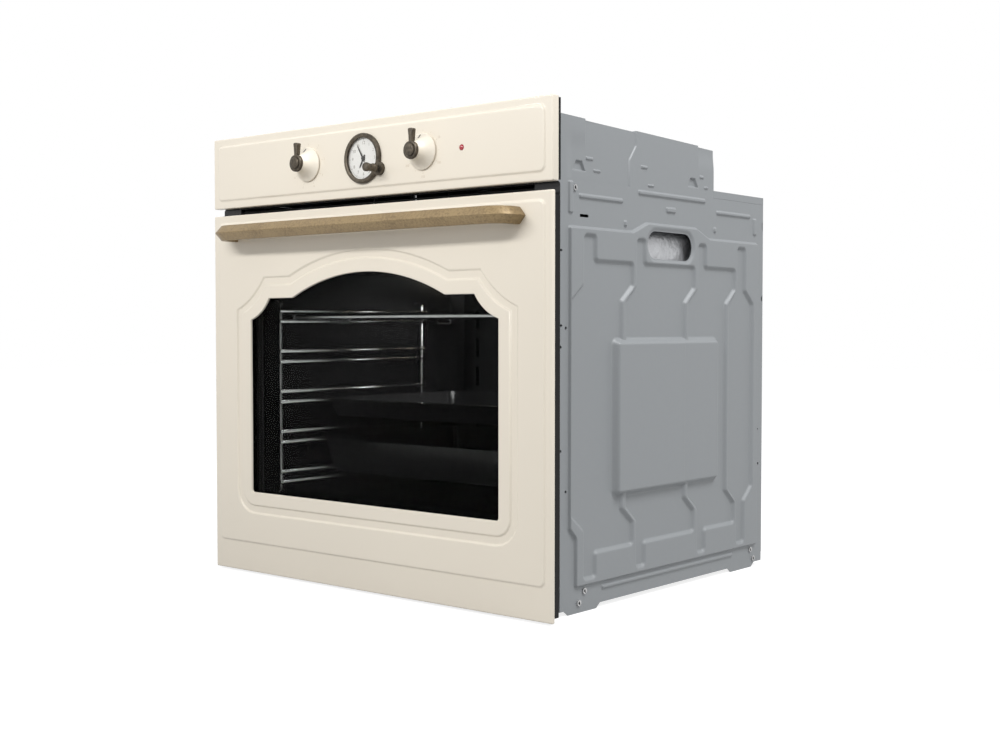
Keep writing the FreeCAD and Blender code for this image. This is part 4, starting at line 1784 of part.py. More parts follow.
def hour_hand():
    """Short hand on its hollow pipe."""
    hand = clock_hand(HOUR_ANGLE, HOUR_LENGTH, HOUR_WIDTH, HOUR_TIP, -HAND_STEP)
    hand = hand.fuse(bar_y(0, CONTROL_Z, HOUR_PIPE, (-HAND_STEP, ARBOR_DEPTH - ARBOR_STEP)))
    return hand.cut(bar_y(0, CONTROL_Z, MINUTE_ARBOR + RUN_GAP, (-BEZEL_DEPTH, ARBOR_DEPTH))).removeSplitter()


def minute_hand():
    """Long hand on its thin arbor, which runs inside the hour pipe."""
    depth = -2 * HAND_STEP - HAND_THICKNESS
    hand = clock_hand(MINUTE_ANGLE, MINUTE_LENGTH, MINUTE_WIDTH, MINUTE_TIP, depth)
    return hand.fuse(bar_y(0, CONTROL_Z, MINUTE_ARBOR, (depth, ARBOR_DEPTH))).removeSplitter()


def winder_stem():
    """Stem that slides through the bezel's boss into the movement."""
    knob_rear = -BEZEL_DEPTH - WINDER_TRAVEL - WINDER_REST_GAP
    tip = knob_rear - WINDER_LENGTH + WINDER_CAP
    return bar_y(WINDER_X, WINDER_Z, WINDER_STEM_RADIUS, (tip, WINDER_STEM_DEPTH))


def winder_knob():
    """Small barrel knob that turns on the stem."""
    rear = -BEZEL_DEPTH - WINDER_TRAVEL - WINDER_REST_GAP
    tip = rear - WINDER_LENGTH
    radius = WINDER_RADIUS
    waist = radius - WINDER_WAIST
    bore = WINDER_STEM_RADIUS + SEAT_GAP
    inner = tip + WINDER_CAP - SEAT_GAP
    band = WINDER_BAND
    slope = WINDER_BAND_SLOPE
    return turned([
        (0, tip), (radius - WINDER_EDGE, tip), (radius, tip + WINDER_EDGE), (radius, tip + band),
        (waist, tip + band + slope), (waist, rear - band - slope), (radius, rear - band),
        (radius, rear - slope), (radius - slope, rear), (bore, rear), (bore, inner), (0, inner),
    ], WINDER_X, WINDER_Z)


def build():
    """Every node's shape under its name."""
    rack = side_rack()
    panel = side_panel()
    profile = door_side_profile()
    outer_glass = glass_pane(OUTER_GLASS_HALF, OUTER_GLASS_BOTTOM, OUTER_GLASS_TOP, OUTER_GLASS_DEPTH)
    inner_glass = glass_pane(INNER_GLASS_HALF, INNER_GLASS_BOTTOM, INNER_GLASS_TOP, INNER_GLASS_DEPTH)
    return {
        "front_frame": front_frame(),
        "cavity_shell": cavity_shell(),
        "door_seal": door_seal(),
        "insulation_blanket": insulation_blanket(),
        "fan_cover": fan_cover(),
        "fan_motor": fan_motor(),
        "ring_heater": ring_heater(),
        "grill_heater": grill_heater(),
        "bottom_heater": bottom_heater(),
        "lamp_holder": lamp_holder(),
        "lamp_lens": lamp_lens(),
        "side_rack_right": rack,
        "side_rack_left": mirrored(rack),
        "side_panel_right": panel,
        "side_panel_left": mirrored(panel),
        "casing_screws": casing_screws(),
        "base_pan": base_pan(),
        "upper_housing": upper_housing(),
        "top_cover": top_cover(),
        "cooling_deck": cooling_deck(),
        "rear_panel": rear_panel(),
        "terminal_box": terminal_box(),
        "blower_housing": blower_housing(),
        "blower_motor": blower_motor(),
        "control_panel": control_panel(),
        "panel_bracket": panel_bracket(),
        "air_outlet_trim": air_outlet_trim(),
        "function_switch": function_switch(),
        "thermostat": thermostat(),
        "thermostat_probe": thermostat_probe(),
        "indicator_lens": indicator_lens(),
        "clock_module": clock_module(),
        "clock_dial": clock_dial(),
        "clock_bezel": clock_bezel(),
        "clock_lens": clock_lens(),
        "hinge_arms": pair(hinge_arm()),
        "door_front_sheet": door_front_sheet(),
        "door_outer_glass": outer_glass,
        "door_inner_glass": inner_glass,
        "door_side_profile_right": profile,
        "door_side_profile_left": mirrored(profile),
        "door_top_rail": door_top_rail(),
        "door_bottom_rail": door_bottom_rail(),
        "hinge_housings": pair(hinge_housing()),
        "hinge_pins": pair(hinge_pin()),
        "handle": handle(),
        "handle_screws": pair(handle_screw()),
        "function_knob_skirt": knob_skirt(-KNOB_X),
        "function_knob_lever": knob_lever(-KNOB_X),
        "temperature_knob_skirt": knob_skirt(KNOB_X),
        "temperature_knob_lever": knob_lever(KNOB_X),
        "winder_stem": winder_stem(),
        "winder_knob": winder_knob(),
        "minute_hand": minute_hand(),
        "hour_hand": hour_hand(),
        "convection_fan": convection_fan(),
        "blower_rotor": blower_rotor(),
        "wire_shelf": wire_shelf(),
        "baking_tray": tray(BAKING_TRAY_LEVEL, BAKING_TRAY_FRONT, BAKING_TRAY_DEPTH),
        "deep_tray": tray(DEEP_TRAY_LEVEL, DEEP_TRAY_FRONT, DEEP_TRAY_DEPTH),
    }


def main():
    """Write one file a node."""
    os.makedirs("parts", exist_ok=True)
    for name, shape in build().items():
        shape.exportStep("parts/" + name + ".step")


main()
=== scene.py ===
"""Dresses the built-in oven: pressed enamel front, sheet casing, cavity, controls and finishes."""
import json
import logging
import math
from collections.abc import Iterable, Sequence
from dataclasses import dataclass
from enum import Enum
from typing import ClassVar

import bmesh
import bpy
import numpy as np
from mathutils import Matrix, Vector, noise
from mathutils.geometry import delaunay_2d_cdt


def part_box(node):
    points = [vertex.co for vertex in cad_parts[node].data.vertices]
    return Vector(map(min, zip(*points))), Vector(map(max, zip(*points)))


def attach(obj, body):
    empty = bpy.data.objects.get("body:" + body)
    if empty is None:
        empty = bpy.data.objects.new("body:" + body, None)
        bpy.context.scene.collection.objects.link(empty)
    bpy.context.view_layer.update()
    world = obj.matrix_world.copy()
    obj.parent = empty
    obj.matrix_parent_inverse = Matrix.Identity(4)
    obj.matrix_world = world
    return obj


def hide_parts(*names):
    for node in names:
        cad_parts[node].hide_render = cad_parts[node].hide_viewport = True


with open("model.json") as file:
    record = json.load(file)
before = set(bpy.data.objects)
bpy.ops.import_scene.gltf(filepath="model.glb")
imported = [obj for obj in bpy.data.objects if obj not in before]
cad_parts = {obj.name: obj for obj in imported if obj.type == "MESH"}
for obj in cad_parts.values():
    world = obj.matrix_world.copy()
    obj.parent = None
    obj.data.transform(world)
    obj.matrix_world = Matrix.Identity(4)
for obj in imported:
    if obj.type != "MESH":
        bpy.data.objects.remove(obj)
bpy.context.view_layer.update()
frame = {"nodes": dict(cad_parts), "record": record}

LOG = logging.getLogger("oven")
MM = 0.001
FRONT_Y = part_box("door_front_sheet")[0][1]

# Sizes that sub-assemblies share, in millimetres
CONTROL_Z = 549.5
KNOB_X = 102.0
LENS_X = 164.0
CASE_FACE = 275.0

# Mesh settings, with angles in degrees
MERGE = 1e-6
FILL_WELD = 1e-5
SHEET_WELD = 1e-4
TINY = 1e-12
AXIS_RADIUS = 1e-5
LEAST_RADIUS = 0.2
LEAST_MITRE = 0.5
CORNER_STEPS = 5
CIRCLE_STEPS = 40
EDGE_SEGMENTS = 2
WIRE_SIDES = 10
TYPE_STEPS = 3
TYPE_FILM = 0.04
FLAT_ANGLE = 0.4
TYPE_ANGLE = 30.0
SMOOTH_ANGLE = 35.0
FRONT_ANGLE = 50.0
PRESSING_ANGLE = 60.0
FOIL_ANGLE = 80.0

# Sockets of the Mix node's colours
MIX_FIRST, MIX_SECOND, MIX_RESULT = 6, 7, 2

Flat = tuple[float, float]
Corner = tuple[float, float, float]
Colour = tuple[float, float, float]
Block = tuple[float, float, float, float]
Rings = list[list[int]]
Values = dict[str | int, object]
Piece = bpy.types.Object
Material = bpy.types.Material
Socket = bpy.types.NodeSocket


class Side(Enum):
    """A side of the casing, as the sign of its x."""

    RIGHT = 1
    LEFT = -1


class Detail(Enum):
    """How many finer layers a noise pattern has."""

    SMOOTH = 2.0
    MEDIUM = 3.0
    FINE = 4.0
    FINEST = 5.0


# Places and outlines
def spot(x: float, depth: float, z: float) -> Vector:
    """Point in metres.

    Args:
        x: Millimetres to the right of the middle.
        depth: Millimetres behind the door's front face.
        z: Millimetres above the base plane.

    Returns:
        The point in the shared frame.
    """
    return Vector((x * MM, FRONT_Y + depth * MM, z * MM))


def smooth_step(share: np.ndarray | float) -> np.ndarray | float:
    """Eases a share from 0 to 1, with level ends."""
    held = np.clip(share, 0.0, 1.0)
    return held * held * (3.0 - 2.0 * held)


def block_corners(low_u: float, high_u: float, low_v: float, high_v: float, radius: float) -> list[Corner]:
    """Corners of a rectangle that share one radius, anticlockwise."""
    places = ((low_u, low_v), (high_u, low_v), (high_u, high_v), (low_u, high_v))
    return [(u, v, radius) for u, v in places]


def drawn_in(corners: Sequence[Corner], distance: float) -> list[Corner]:
    """Moves an anticlockwise outline inwards.

    Args:
        corners: Points with their radius.
        distance: How far every side moves, outwards where it is negative.

    Returns:
        The new corners, with each radius kept concentric.
    """
    moved = []
    for i, (u, v, radius) in enumerate(corners):
        here = Vector((u, v))
        back = (here - Vector(corners[i - 1][:2])).normalized()
        ahead = (Vector(corners[(i + 1) % len(corners)][:2]) - here).normalized()
        normal_a = Vector((-back.y, back.x))
        normal_b = Vector((-ahead.y, ahead.x))
        mitre = (normal_a + normal_b) * (distance / (1.0 + normal_a.dot(normal_b)))
        turn = back.x * ahead.y - back.y * ahead.x
        grown = radius - distance if turn > 0 else radius + distance
        kept = 0.0 if radius <= 0 else max(grown, LEAST_RADIUS)
        moved.append((here.x + mitre.x, here.y + mitre.y, kept))
    return moved


def rounded(corners: Sequence[Corner], steps: int = CORNER_STEPS) -> list[Flat]:
    """Polyline through an outline, with an arc in each rounded corner.

    Args:
        corners: Points with their radius.
        steps: Straight pieces in each arc.

    Returns:
        The points of the closed polyline.
    """
    points: list[Flat] = []
    for i, (u, v, radius) in enumerate(corners):
        if radius <= 0:
            points.append((u, v))
            continue
        here = Vector((u, v))
        back = (Vector(corners[i - 1][:2]) - here).normalized()
        ahead = (Vector(corners[(i + 1) % len(corners)][:2]) - here).normalized()
        half = back.angle(ahead) / 2
        centre = here + (back + ahead).normalized() * (radius / math.sin(half))
        start = here + back * (radius / math.tan(half)) - centre
        turn = (math.pi - 2 * half) * (1 if back.x * ahead.y - back.y * ahead.x < 0 else -1)
        for step in range(steps + 1):
            arm = Matrix.Rotation(turn * step / steps, 2) @ start
            points.append((centre.x + arm.x, centre.y + arm.y))
    return points


def circle(u: float, v: float, radius: float, steps: int = CIRCLE_STEPS) -> list[Flat]:
    """Closed polyline of a circle, anticlockwise."""
    turns = [2 * math.pi * i / steps for i in range(steps)]
    return [(u + radius * math.cos(a), v + radius * math.sin(a)) for a in turns]


def arc(u: float, v: float, radius: float, first: float, last: float, steps: int) -> list[Flat]:
    """Points of an arc between two angles in radians."""
    turns = [first + (last - first) * i / steps for i in range(steps + 1)]
    return [(u + radius * math.cos(a), v + radius * math.sin(a)) for a in turns]


def evened(points: Sequence[Flat], step: float) -> list[Flat]:
    """Closed polyline with its long runs divided into steps.

    Args:
        points: The polyline's points.
        step: Length of a step.

    Returns:
        The points, in the same order.
    """
    spread = []
    for i, here in enumerate(points):
        after = points[(i + 1) % len(points)]
        count = max(1, round(math.dist(here, after) / step))
        spread += [(here[0] + (after[0] - here[0]) * j / count, here[1] + (after[1] - here[1]) * j / count)
                   for j in range(count)]
    return spread


def signed_distance(points: np.ndarray, outline: np.ndarray) -> np.ndarray:
    """Distance of points from a closed polyline.

    Args:
        points: Rows of two coordinates.
        outline: The polyline's points in order.

    Returns:
        One distance a point, positive inside.
    """
    start = outline[None]
    run = np.roll(outline, -1, axis=0)[None] - start
    away = points[:, None, :] - start
    share = np.clip((away * run).sum(-1) / np.maximum((run * run).sum(-1), TINY), 0, 1)
    gap = np.linalg.norm(away - share[..., None] * run, axis=-1).min(1)
    rise = np.where(np.abs(run[..., 1]) < TINY, TINY, run[..., 1])
    crossing = (start[..., 1] > points[:, None, 1]) != (start[..., 1] + run[..., 1] > points[:, None, 1])
    left_of = points[:, None, 0] < start[..., 0] + run[..., 0] * away[..., 1] / rise
    inside = (crossing & left_of).sum(1) % 2 == 1
    return np.where(inside, gap, -gap)


# Meshes
def joined(name: str, mesh: bpy.types.Mesh, angle: float = SMOOTH_ANGLE) -> Piece:
    """Makes a mesh an object with smooth shading and sharp edges past an angle in degrees.

    Args:
        name: The object's name.
        mesh: Its mesh.
        angle: Angle between faces past which an edge is sharp.

    Returns:
        The object, in the scene.
    """
    mesh.shade_smooth()
    mesh.set_sharp_from_angle(angle=math.radians(angle))
    piece = bpy.data.objects.new(name, mesh)
    bpy.context.scene.collection.objects.link(piece)
    return piece


def settled(piece: Piece) -> Piece:
    """Turns a piece's modifiers into plain mesh and returns it.

    Args:
        piece: An object with modifiers.

    Returns:
        The same object.
    """
    graph = bpy.context.evaluated_depsgraph_get()
    mesh = bpy.data.meshes.new_from_object(
        piece.evaluated_get(graph), preserve_all_data_layers=True, depsgraph=graph
    )
    piece.modifiers.clear()
    piece.data = mesh
    return piece


def softened(piece: Piece, width: float) -> Piece:
    """Rounds a piece's sharp edges.

    Args:
        piece: A mesh object.
        width: Width of the rounding in millimetres.

    Returns:
        The same object with a plain mesh.
    """
    bevel = piece.modifiers.new("Edge", "BEVEL")
    bevel.width = width * MM
    bevel.segments = EDGE_SEGMENTS
    bevel.limit_method = "ANGLE"
    bevel.angle_limit = math.radians(SMOOTH_ANGLE)
    bevel.harden_normals = True
    return settled(piece)


class Draft:
    """Points and faces of one piece while it is drawn."""

    def __init__(self) -> None:
        """Starts with nothing drawn."""
        self.points: list[Vector] = []
        self.faces: list[tuple[int, ...]] = []

    def ring(self, points: Iterable[Vector]) -> list[int]:
        """Adds points and returns their numbers.

        Args:
            points: Points in metres.

        Returns:
            The numbers that faces use.
        """
        start = len(self.points)
        self.points.extend(points)
        return list(range(start, len(self.points)))

    def upright(self, points: Iterable[Flat], depth: float) -> list[int]:
        """Adds an upright outline at a depth, in millimetres, and returns its points' numbers."""
        return self.ring(spot(u, depth, v) for u, v in points)

    def skin(self, rings: Sequence[list[int]]) -> None:
        """Joins closed rings of equal length with rows of faces.

        Args:
            rings: Point numbers of each ring.
        """
        count = len(rings[0])
        for near, far in zip(rings, rings[1:]):
            for i in range(count):
                j = (i + 1) % count
                self.faces.append((near[i], near[j], far[j], far[i]))

    def fill(self, outer: list[int], holes: Sequence[list[int]]) -> None:
        """Covers the upright flat between a ring and the rings inside it.

        Args:
            outer: Point numbers of the outer ring.
            holes: Point numbers of each inner ring.
        """
        edges: list[tuple[int, int]] = []
        loops = [outer, *holes]
        start = 0
        for loop in loops:
            edges += [(start + i, start + (i + 1) % len(loop)) for i in range(len(loop))]
            start += len(loop)
        numbers = [number for loop in loops for number in loop]
        flats = [Vector((self.points[n].x / MM, self.points[n].z / MM)) for n in numbers]
        made = delaunay_2d_cdt(flats, edges, [], 0, FILL_WELD)
        spots, triangles, sources = made[0], made[2], made[3]
        centres = np.array([sum((Vector(spots[i]) for i in t), Vector((0, 0))) / 3 for t in triangles])
        outlines = [np.array([flats[numbers.index(n)] for n in loop]) for loop in loops]
        keep = signed_distance(centres, outlines[0]) > 0
        for outline in outlines[1:]:
            keep &= signed_distance(centres, outline) < 0
        for triangle, kept in zip(triangles, keep):
            if kept:
                self.faces.append(tuple(numbers[sources[i][0]] for i in triangle))

    def tube(self, rings: Sequence[list[int]]) -> None:
        """Joins rings and closes the first and the last."""
        self.skin(rings)
        self.faces += [tuple(rings[0]), tuple(rings[-1])]

    def piece(self, name: str, angle: float = SMOOTH_ANGLE) -> Piece:
        """Makes the drawing an object with its faces outwards.

        Args:
            name: The piece's name.
            angle: Angle in degrees past which an edge is sharp.

        Returns:
            The piece.
        """
        mesh = bpy.data.meshes.new(name)
        mesh.from_pydata(self.points, [], self.faces)
        sheet = bmesh.new()
        sheet.from_mesh(mesh)
        bmesh.ops.remove_doubles(sheet, verts=sheet.verts, dist=MERGE)
        bmesh.ops.recalc_face_normals(sheet, faces=sheet.faces)
        sheet.to_mesh(mesh)
        sheet.free()
        return joined(name, mesh, angle)


def revolved(name: str, profile: Sequence[Flat], x: float, z: float, steps: int) -> Piece:
    """Turns a profile about an axis that runs from front to back.

    Args:
        name: The piece's name.
        profile: Pairs of radius and depth in millimetres, with both ends on the axis or equal.
        x: Axis position to the right.
        z: Axis height.
        steps: Faces round the axis.

    Returns:
        The closed piece.
    """
    draft = Draft()
    rings = []
    for radius, depth in profile:
        rings.append(draft.upright(circle(x, z, max(radius, AXIS_RADIUS), steps), depth))
    if profile[0] != profile[-1]:
        draft.faces += [tuple(rings[0]), tuple(rings[-1])]
    draft.skin(rings)
    return draft.piece(name)


def refined(node: str, bevel: float) -> Piece:
    """Copies a CAD node's shape with merged points, whole faces and rounded edges.

    Args:
        node: The node's name.
        bevel: Width of the rounding in millimetres, or 0 for none.

    Returns:
        The new piece.
    """
    mesh = frame["nodes"][node].data.copy()
    sheet = bmesh.new()
    sheet.from_mesh(mesh)
    bmesh.ops.remove_doubles(sheet, verts=sheet.verts, dist=MERGE)
    if bevel:
        flat = math.radians(FLAT_ANGLE)
        bmesh.ops.dissolve_limit(sheet, angle_limit=flat, verts=sheet.verts, edges=sheet.edges)
    sheet.to_mesh(mesh)
    sheet.free()
    mesh.materials.clear()
    piece = joined(node + "_form", mesh)
    return softened(piece, bevel) if bevel else piece


def merged(first: Piece, *others: Piece) -> Piece:
    """Puts pieces into the first one's mesh as further closed shells.

    Args:
        first: The piece that stays.
        others: The pieces that are taken up.

    Returns:
        The first piece.
    """
    sheet = bmesh.new()
    for piece in (first, *others):
        sheet.from_mesh(piece.data)
    sheet.to_mesh(first.data)
    sheet.free()
    for piece in others:
        bpy.data.objects.remove(piece)
    return first


def wire(name: str, route: Sequence[Vector], radius: float) -> Piece:
    """Bends a round wire along straight runs.

    Args:
        name: The piece's name.
        route: Its corners in metres.
        radius: Its radius in millimetres.

    Returns:
        The closed wire.
    """
    draft = Draft()
    rings = []
    turns = [2 * math.pi * i / WIRE_SIDES for i in range(WIRE_SIDES)]
    for i, place in enumerate(route):
        back = (place - route[i - 1]).normalized() if i else (route[1] - place).normalized()
        ahead = (route[i + 1] - place).normalized() if i + 1 < len(route) else back
        along = (back + ahead).normalized()
        across = Vector((1.0, 0.0, 0.0))
        up = along.cross(across) / max(along.dot(back), LEAST_MITRE)
        rings.append(draft.ring(
            place + (across * math.cos(a) + up * math.sin(a)) * radius * MM for a in turns
        ))
    draft.tube(rings)
    return draft.piece(name)


def lettered(name: str, text: str, place: Vector, height: float, material: Material) -> Piece:
    """Prints a number on the front.

    Args:
        name: The piece's name.
        text: The number.
        place: Middle of the number, on the printed face.
        height: Height of the type in millimetres.
        material: The ink.

    Returns:
        The number as a thin mesh.
    """
    curve = bpy.data.curves.new(name, "FONT")
    curve.body = text
    curve.align_x = "CENTER"
    curve.align_y = "CENTER"
    curve.size = height * MM
    curve.extrude = TYPE_FILM * MM
    curve.resolution_u = TYPE_STEPS
    writer = bpy.data.objects.new(name + "_type", curve)
    bpy.context.scene.collection.objects.link(writer)
    graph = bpy.context.evaluated_depsgraph_get()
    mesh = bpy.data.meshes.new_from_object(writer.evaluated_get(graph), depsgraph=graph)
    bpy.data.objects.remove(writer)
    mesh.transform(Matrix.Translation(place) @ Matrix.Rotation(math.pi / 2, 4, "X"))
    mesh.materials.clear()
    mesh.materials.append(material)
    return joined(name, mesh, TYPE_ANGLE)


# Node trees
class Wire:
    """A node's output, with the arithmetic that values need."""

    def __init__(self, tree: "NodeTree", socket: Socket) -> None:
        """Wraps a socket of a tree."""
        self.tree = tree
        self.socket = socket

    def __add__(self, other: "Wire | float") -> "Wire":
        """Sum."""
        return self.tree.maths("ADD", self, other)

    __radd__ = __add__

    def __mul__(self, other: "Wire | float") -> "Wire":
        """Product."""
        return self.tree.maths("MULTIPLY", self, other)

    __rmul__ = __mul__

    def __pow__(self, other: float) -> "Wire":
        """Power."""
        return self.tree.maths("POWER", self, other)


class NodeTree:
    """A node tree while it is written, with one way to add a node."""

    def __init__(self, tree: bpy.types.NodeTree) -> None:
        """Keeps the tree."""
        self.tree = tree

    def add(self, kind: str, values: Values, **settings: object) -> bpy.types.Node:
        """Adds a node.

        Args:
            kind: The node's type.
            values: Inputs, as constants, sockets or wires.
            settings: Properties, which are set first.

        Returns:
            The node.
        """
        made = self.tree.nodes.new(kind)
        for name, value in settings.items():
            setattr(made, name, value)
        for name, value in values.items():
            held = made.inputs[name]
            given = value.socket if isinstance(value, Wire) else value
            if isinstance(given, Socket):
                self.tree.links.new(given, held)
            else:
                held.default_value = (*given, 1.0) if held.type == "RGBA" else given
        return made

    def node(self, kind: str, values: Values, output: str | int = 0, **settings: object) -> Wire:
        """Adds a node as above and returns the output that is wanted."""
        return Wire(self, self.add(kind, values, **settings).outputs[output])

    def maths(self, operation: str, *values: Wire | Socket | float) -> Wire:
        """Adds a Math node and returns its result."""
        return self.node("ShaderNodeMath", dict(enumerate(values)), operation=operation)


class Shader(NodeTree):
    """A material's node tree."""

    def __init__(self, name: str) -> None:
        """Starts a material with an empty tree."""
        self.material = bpy.data.materials.new(name)
        self.material.use_nodes = True
        super().__init__(self.material.node_tree)
        self.tree.nodes.clear()

    def place(self, scale: Corner = (1.0, 1.0, 1.0)) -> Wire:
        """Object coordinates, stretched by a scale."""
        coords = self.node("ShaderNodeTexCoord", {}, "Object")
        return self.node("ShaderNodeMapping", {"Vector": coords, "Scale": scale})

    def grain(self, scale: float, detail: Detail = Detail.MEDIUM, stretch: Corner = (1.0, 1.0, 1.0)) -> Wire:
        """Noise between 0 and 1, with this many features a metre."""
        values = {"Vector": self.place(stretch), "Scale": scale, "Detail": detail.value}
        return self.node("ShaderNodeTexNoise", values)

    def cells(self, scale: float, feature: str = "F1", output: str = "Distance") -> Wire:
        """Cell pattern with this many cells a metre."""
        values = {"Vector": self.place(), "Scale": scale}
        return self.node("ShaderNodeTexVoronoi", values, output, feature=feature)

    def mix(self, factor: Wire, first: Colour, second: Colour) -> Wire:
        """Blends two colours."""
        values = {0: factor, MIX_FIRST: first, MIX_SECOND: second}
        return self.node("ShaderNodeMix", values, MIX_RESULT, data_type="RGBA")

    def ramp(self, factor: Wire, places: Flat, first: Colour, second: Colour) -> Wire:
        """Blends two colours between two places of the factor.

        Args:
            factor: What the colour follows.
            places: Where the blend starts and ends.
            first: Colour before it.
            second: Colour after it.

        Returns:
            The colour.
        """
        made = self.add("ShaderNodeValToRGB", {"Fac": factor})
        for stop, place, colour in zip(made.color_ramp.elements, places, (first, second)):
            stop.position = place
            stop.color = (*colour, 1.0)
        return Wire(self, made.outputs[0])

    def bump(self, height: Wire, strength: float, distance: float) -> Wire:
        """Surface relief from a height, with its depth in metres."""
        return self.node("ShaderNodeBump", {"Strength": strength, "Distance": distance, "Height": height})

    def finish(self, surface: Wire) -> Material:
        """Ends the tree with a surface and returns the material."""
        self.add("ShaderNodeOutputMaterial", {"Surface": surface})
        return self.material

    def surface(self, values: Values) -> Material:
        """Ends the tree with one plain surface and returns the material."""
        return self.finish(self.node("ShaderNodeBsdfPrincipled", values))


class Repeat(NodeTree):
    """A Geometry Nodes tree that lays copies of one shape out, with named sizes."""

    def __init__(self, name: str, places: Sequence[Vector] = ()) -> None:
        """Starts an empty tree.

        Args:
            name: The tree's name.
            places: Points that the tree starts from, if it needs any.
        """
        super().__init__(bpy.data.node_groups.new(name, "GeometryNodeTree"))
        self.places = list(places)
        self.tree.interface.new_socket("Places", in_out="INPUT", socket_type="NodeSocketGeometry")
        self.tree.interface.new_socket("Geometry", in_out="OUTPUT", socket_type="NodeSocketGeometry")
        self.inputs = self.tree.nodes.new("NodeGroupInput")
        self.sizes: dict[str, float | int] = {}

    def size(self, name: str, value: float | int) -> Socket:
        """Adds a named input.

        Args:
            name: What the size is.
            value: Its value in metres, radians or as a count.

        Returns:
            The socket inside the tree.
        """
        kind = "NodeSocketInt" if isinstance(value, int) else "NodeSocketFloat"
        self.tree.interface.new_socket(name, in_out="INPUT", socket_type=kind)
        self.sizes[name] = value
        return self.inputs.outputs[name]

    def join(self, *shapes: Wire) -> Wire:
        """Joins shapes into one.

        Args:
            shapes: The shapes.

        Returns:
            All of them.
        """
        made = self.add("GeometryNodeJoinGeometry", {})
        for shape in shapes:
            self.tree.links.new(shape.socket, made.inputs[0])
        return Wire(self, made.outputs[0])

    def piece(self, name: str, copies: Values, material: Material) -> Piece:
        """Runs the tree and keeps its result as a plain mesh.

        Args:
            name: The piece's name.
            copies: The points, the shape and its rotation at each point.
            material: The finish of the copies.

        Returns:
            The piece.
        """
        laid = self.node("GeometryNodeInstanceOnPoints", copies)
        real = self.node("GeometryNodeRealizeInstances", {"Geometry": laid})
        dressed = self.node("GeometryNodeSetMaterial", {"Geometry": real, "Material": material})
        self.add("NodeGroupOutput", {0: dressed})
        mesh = bpy.data.meshes.new(name)
        mesh.from_pydata(self.places, [], [])
        piece = bpy.data.objects.new(name, mesh)
        bpy.context.scene.collection.objects.link(piece)
        modifier = piece.modifiers.new("Repeat", "NODES")
        modifier.node_group = self.tree
        for item in self.tree.interface.items_tree:
            if item.in_out == "INPUT" and item.name in self.sizes:
                modifier[item.identifier] = self.sizes[item.name]
        settled(piece)
        bpy.data.node_groups.remove(self.tree)
        return piece


@dataclass(frozen=True)
class Marks:
    """A ring of printed strokes, in millimetres and degrees from the right."""

    radius: float
    length: float
    width: float
    count: int
    first: float
    step: float
    film: float = 0.08

    def piece(self, name: str, centre: Vector, ink: Material) -> Piece:
        """Prints the strokes.

        Args:
            name: The piece's name.
            centre: Middle of the ring, on the printed face.
            ink: The strokes' finish.

        Returns:
            The ring of strokes.
        """
        repeat = Repeat(name)
        count = repeat.size("Count", self.count)
        radius = repeat.size("Radius", self.radius * MM)
        first = repeat.size("First angle", math.radians(self.first))
        step = repeat.size("Step", math.radians(self.step))
        size = repeat.node("ShaderNodeCombineXYZ", {
            "X": repeat.size("Length", self.length * MM),
            "Y": repeat.size("Film", self.film * MM),
            "Z": repeat.size("Width", self.width * MM),
        })
        stroke = repeat.node("GeometryNodeMeshCube", {"Size": size})
        points = repeat.node("GeometryNodePoints", {"Count": count})
        turn = repeat.maths("MULTIPLY_ADD", repeat.node("GeometryNodeInputIndex", {}), step, first)
        across, up = repeat.maths("COSINE", turn), repeat.maths("SINE", turn)
        arm = repeat.node("ShaderNodeCombineXYZ", {"X": across, "Z": up})
        reach = repeat.node("ShaderNodeVectorMath", {0: arm, "Scale": radius}, operation="SCALE")
        place = repeat.node("ShaderNodeVectorMath", {0: reach, 1: centre}, operation="ADD")
        moved = repeat.node("GeometryNodeSetPosition", {"Geometry": points, "Position": place})
        facing = repeat.node("ShaderNodeCombineXYZ", {"Y": turn * -1.0})
        return repeat.piece(name, {"Points": moved, "Instance": stroke, "Rotation": facing}, ink)


# Finishes
@dataclass(frozen=True)
class Finish:
    """What every finish has: a name, a colour, how rough it is and its darkest and lightest tone."""

    name: str
    colour: Colour
    roughness: float

    tones: Flat = (1.0, 1.0)

    def material(self) -> Material:
        """Builds the material."""
        raise NotImplementedError

    def shade(self, share: float) -> Colour:
        """The colour made darker or lighter by a share."""
        return tuple(min(c * share, 1.0) for c in self.colour)

    def toned(self, shader: Shader, pattern: Wire) -> Wire:
        """The colour, varied between its two tones by a pattern."""
        dark, light = self.tones
        return shader.mix(pattern, self.shade(dark), self.shade(light))

    def uneven(self, *parts: tuple[Wire, float]) -> Wire:
        """The roughness, spread by patterns that each have a width.

        Args:
            parts: Each pattern with its width.

        Returns:
            The roughness.
        """
        pattern, width = parts[0]
        total = pattern * width
        for pattern, width in parts[1:]:
            total = total + pattern * width
        return total + (self.roughness - sum(width for _, width in parts) / 2)


@dataclass(frozen=True)
class Enamel(Finish):
    """Fired enamel or glossy paint with a fine orange peel."""

    coat: float = 0.35
    peel: float = 0.05
    gloss: float = 0.5

    tones: Flat = (0.97, 1.03)
    cloud_scale: float = 5.0
    peel_scale: float = 420.0
    peel_depth: float = 0.0004
    wear_scale: float = 60.0
    wear: float = 0.1
    coat_roughness: float = 0.08

    def material(self) -> Material:
        """Builds the material.

        Returns:
            The finished material.
        """
        shader = Shader(self.name)
        cloud = shader.grain(self.cloud_scale, Detail.SMOOTH)
        peel = shader.grain(self.peel_scale, Detail.SMOOTH)
        return shader.surface({
            "Base Color": self.toned(shader, cloud),
            "Roughness": self.uneven((shader.grain(self.wear_scale), self.wear)),
            "Coat Weight": self.coat, "Coat Roughness": self.coat_roughness,
            "Specular IOR Level": self.gloss, "Normal": shader.bump(peel, self.peel, self.peel_depth),
        })


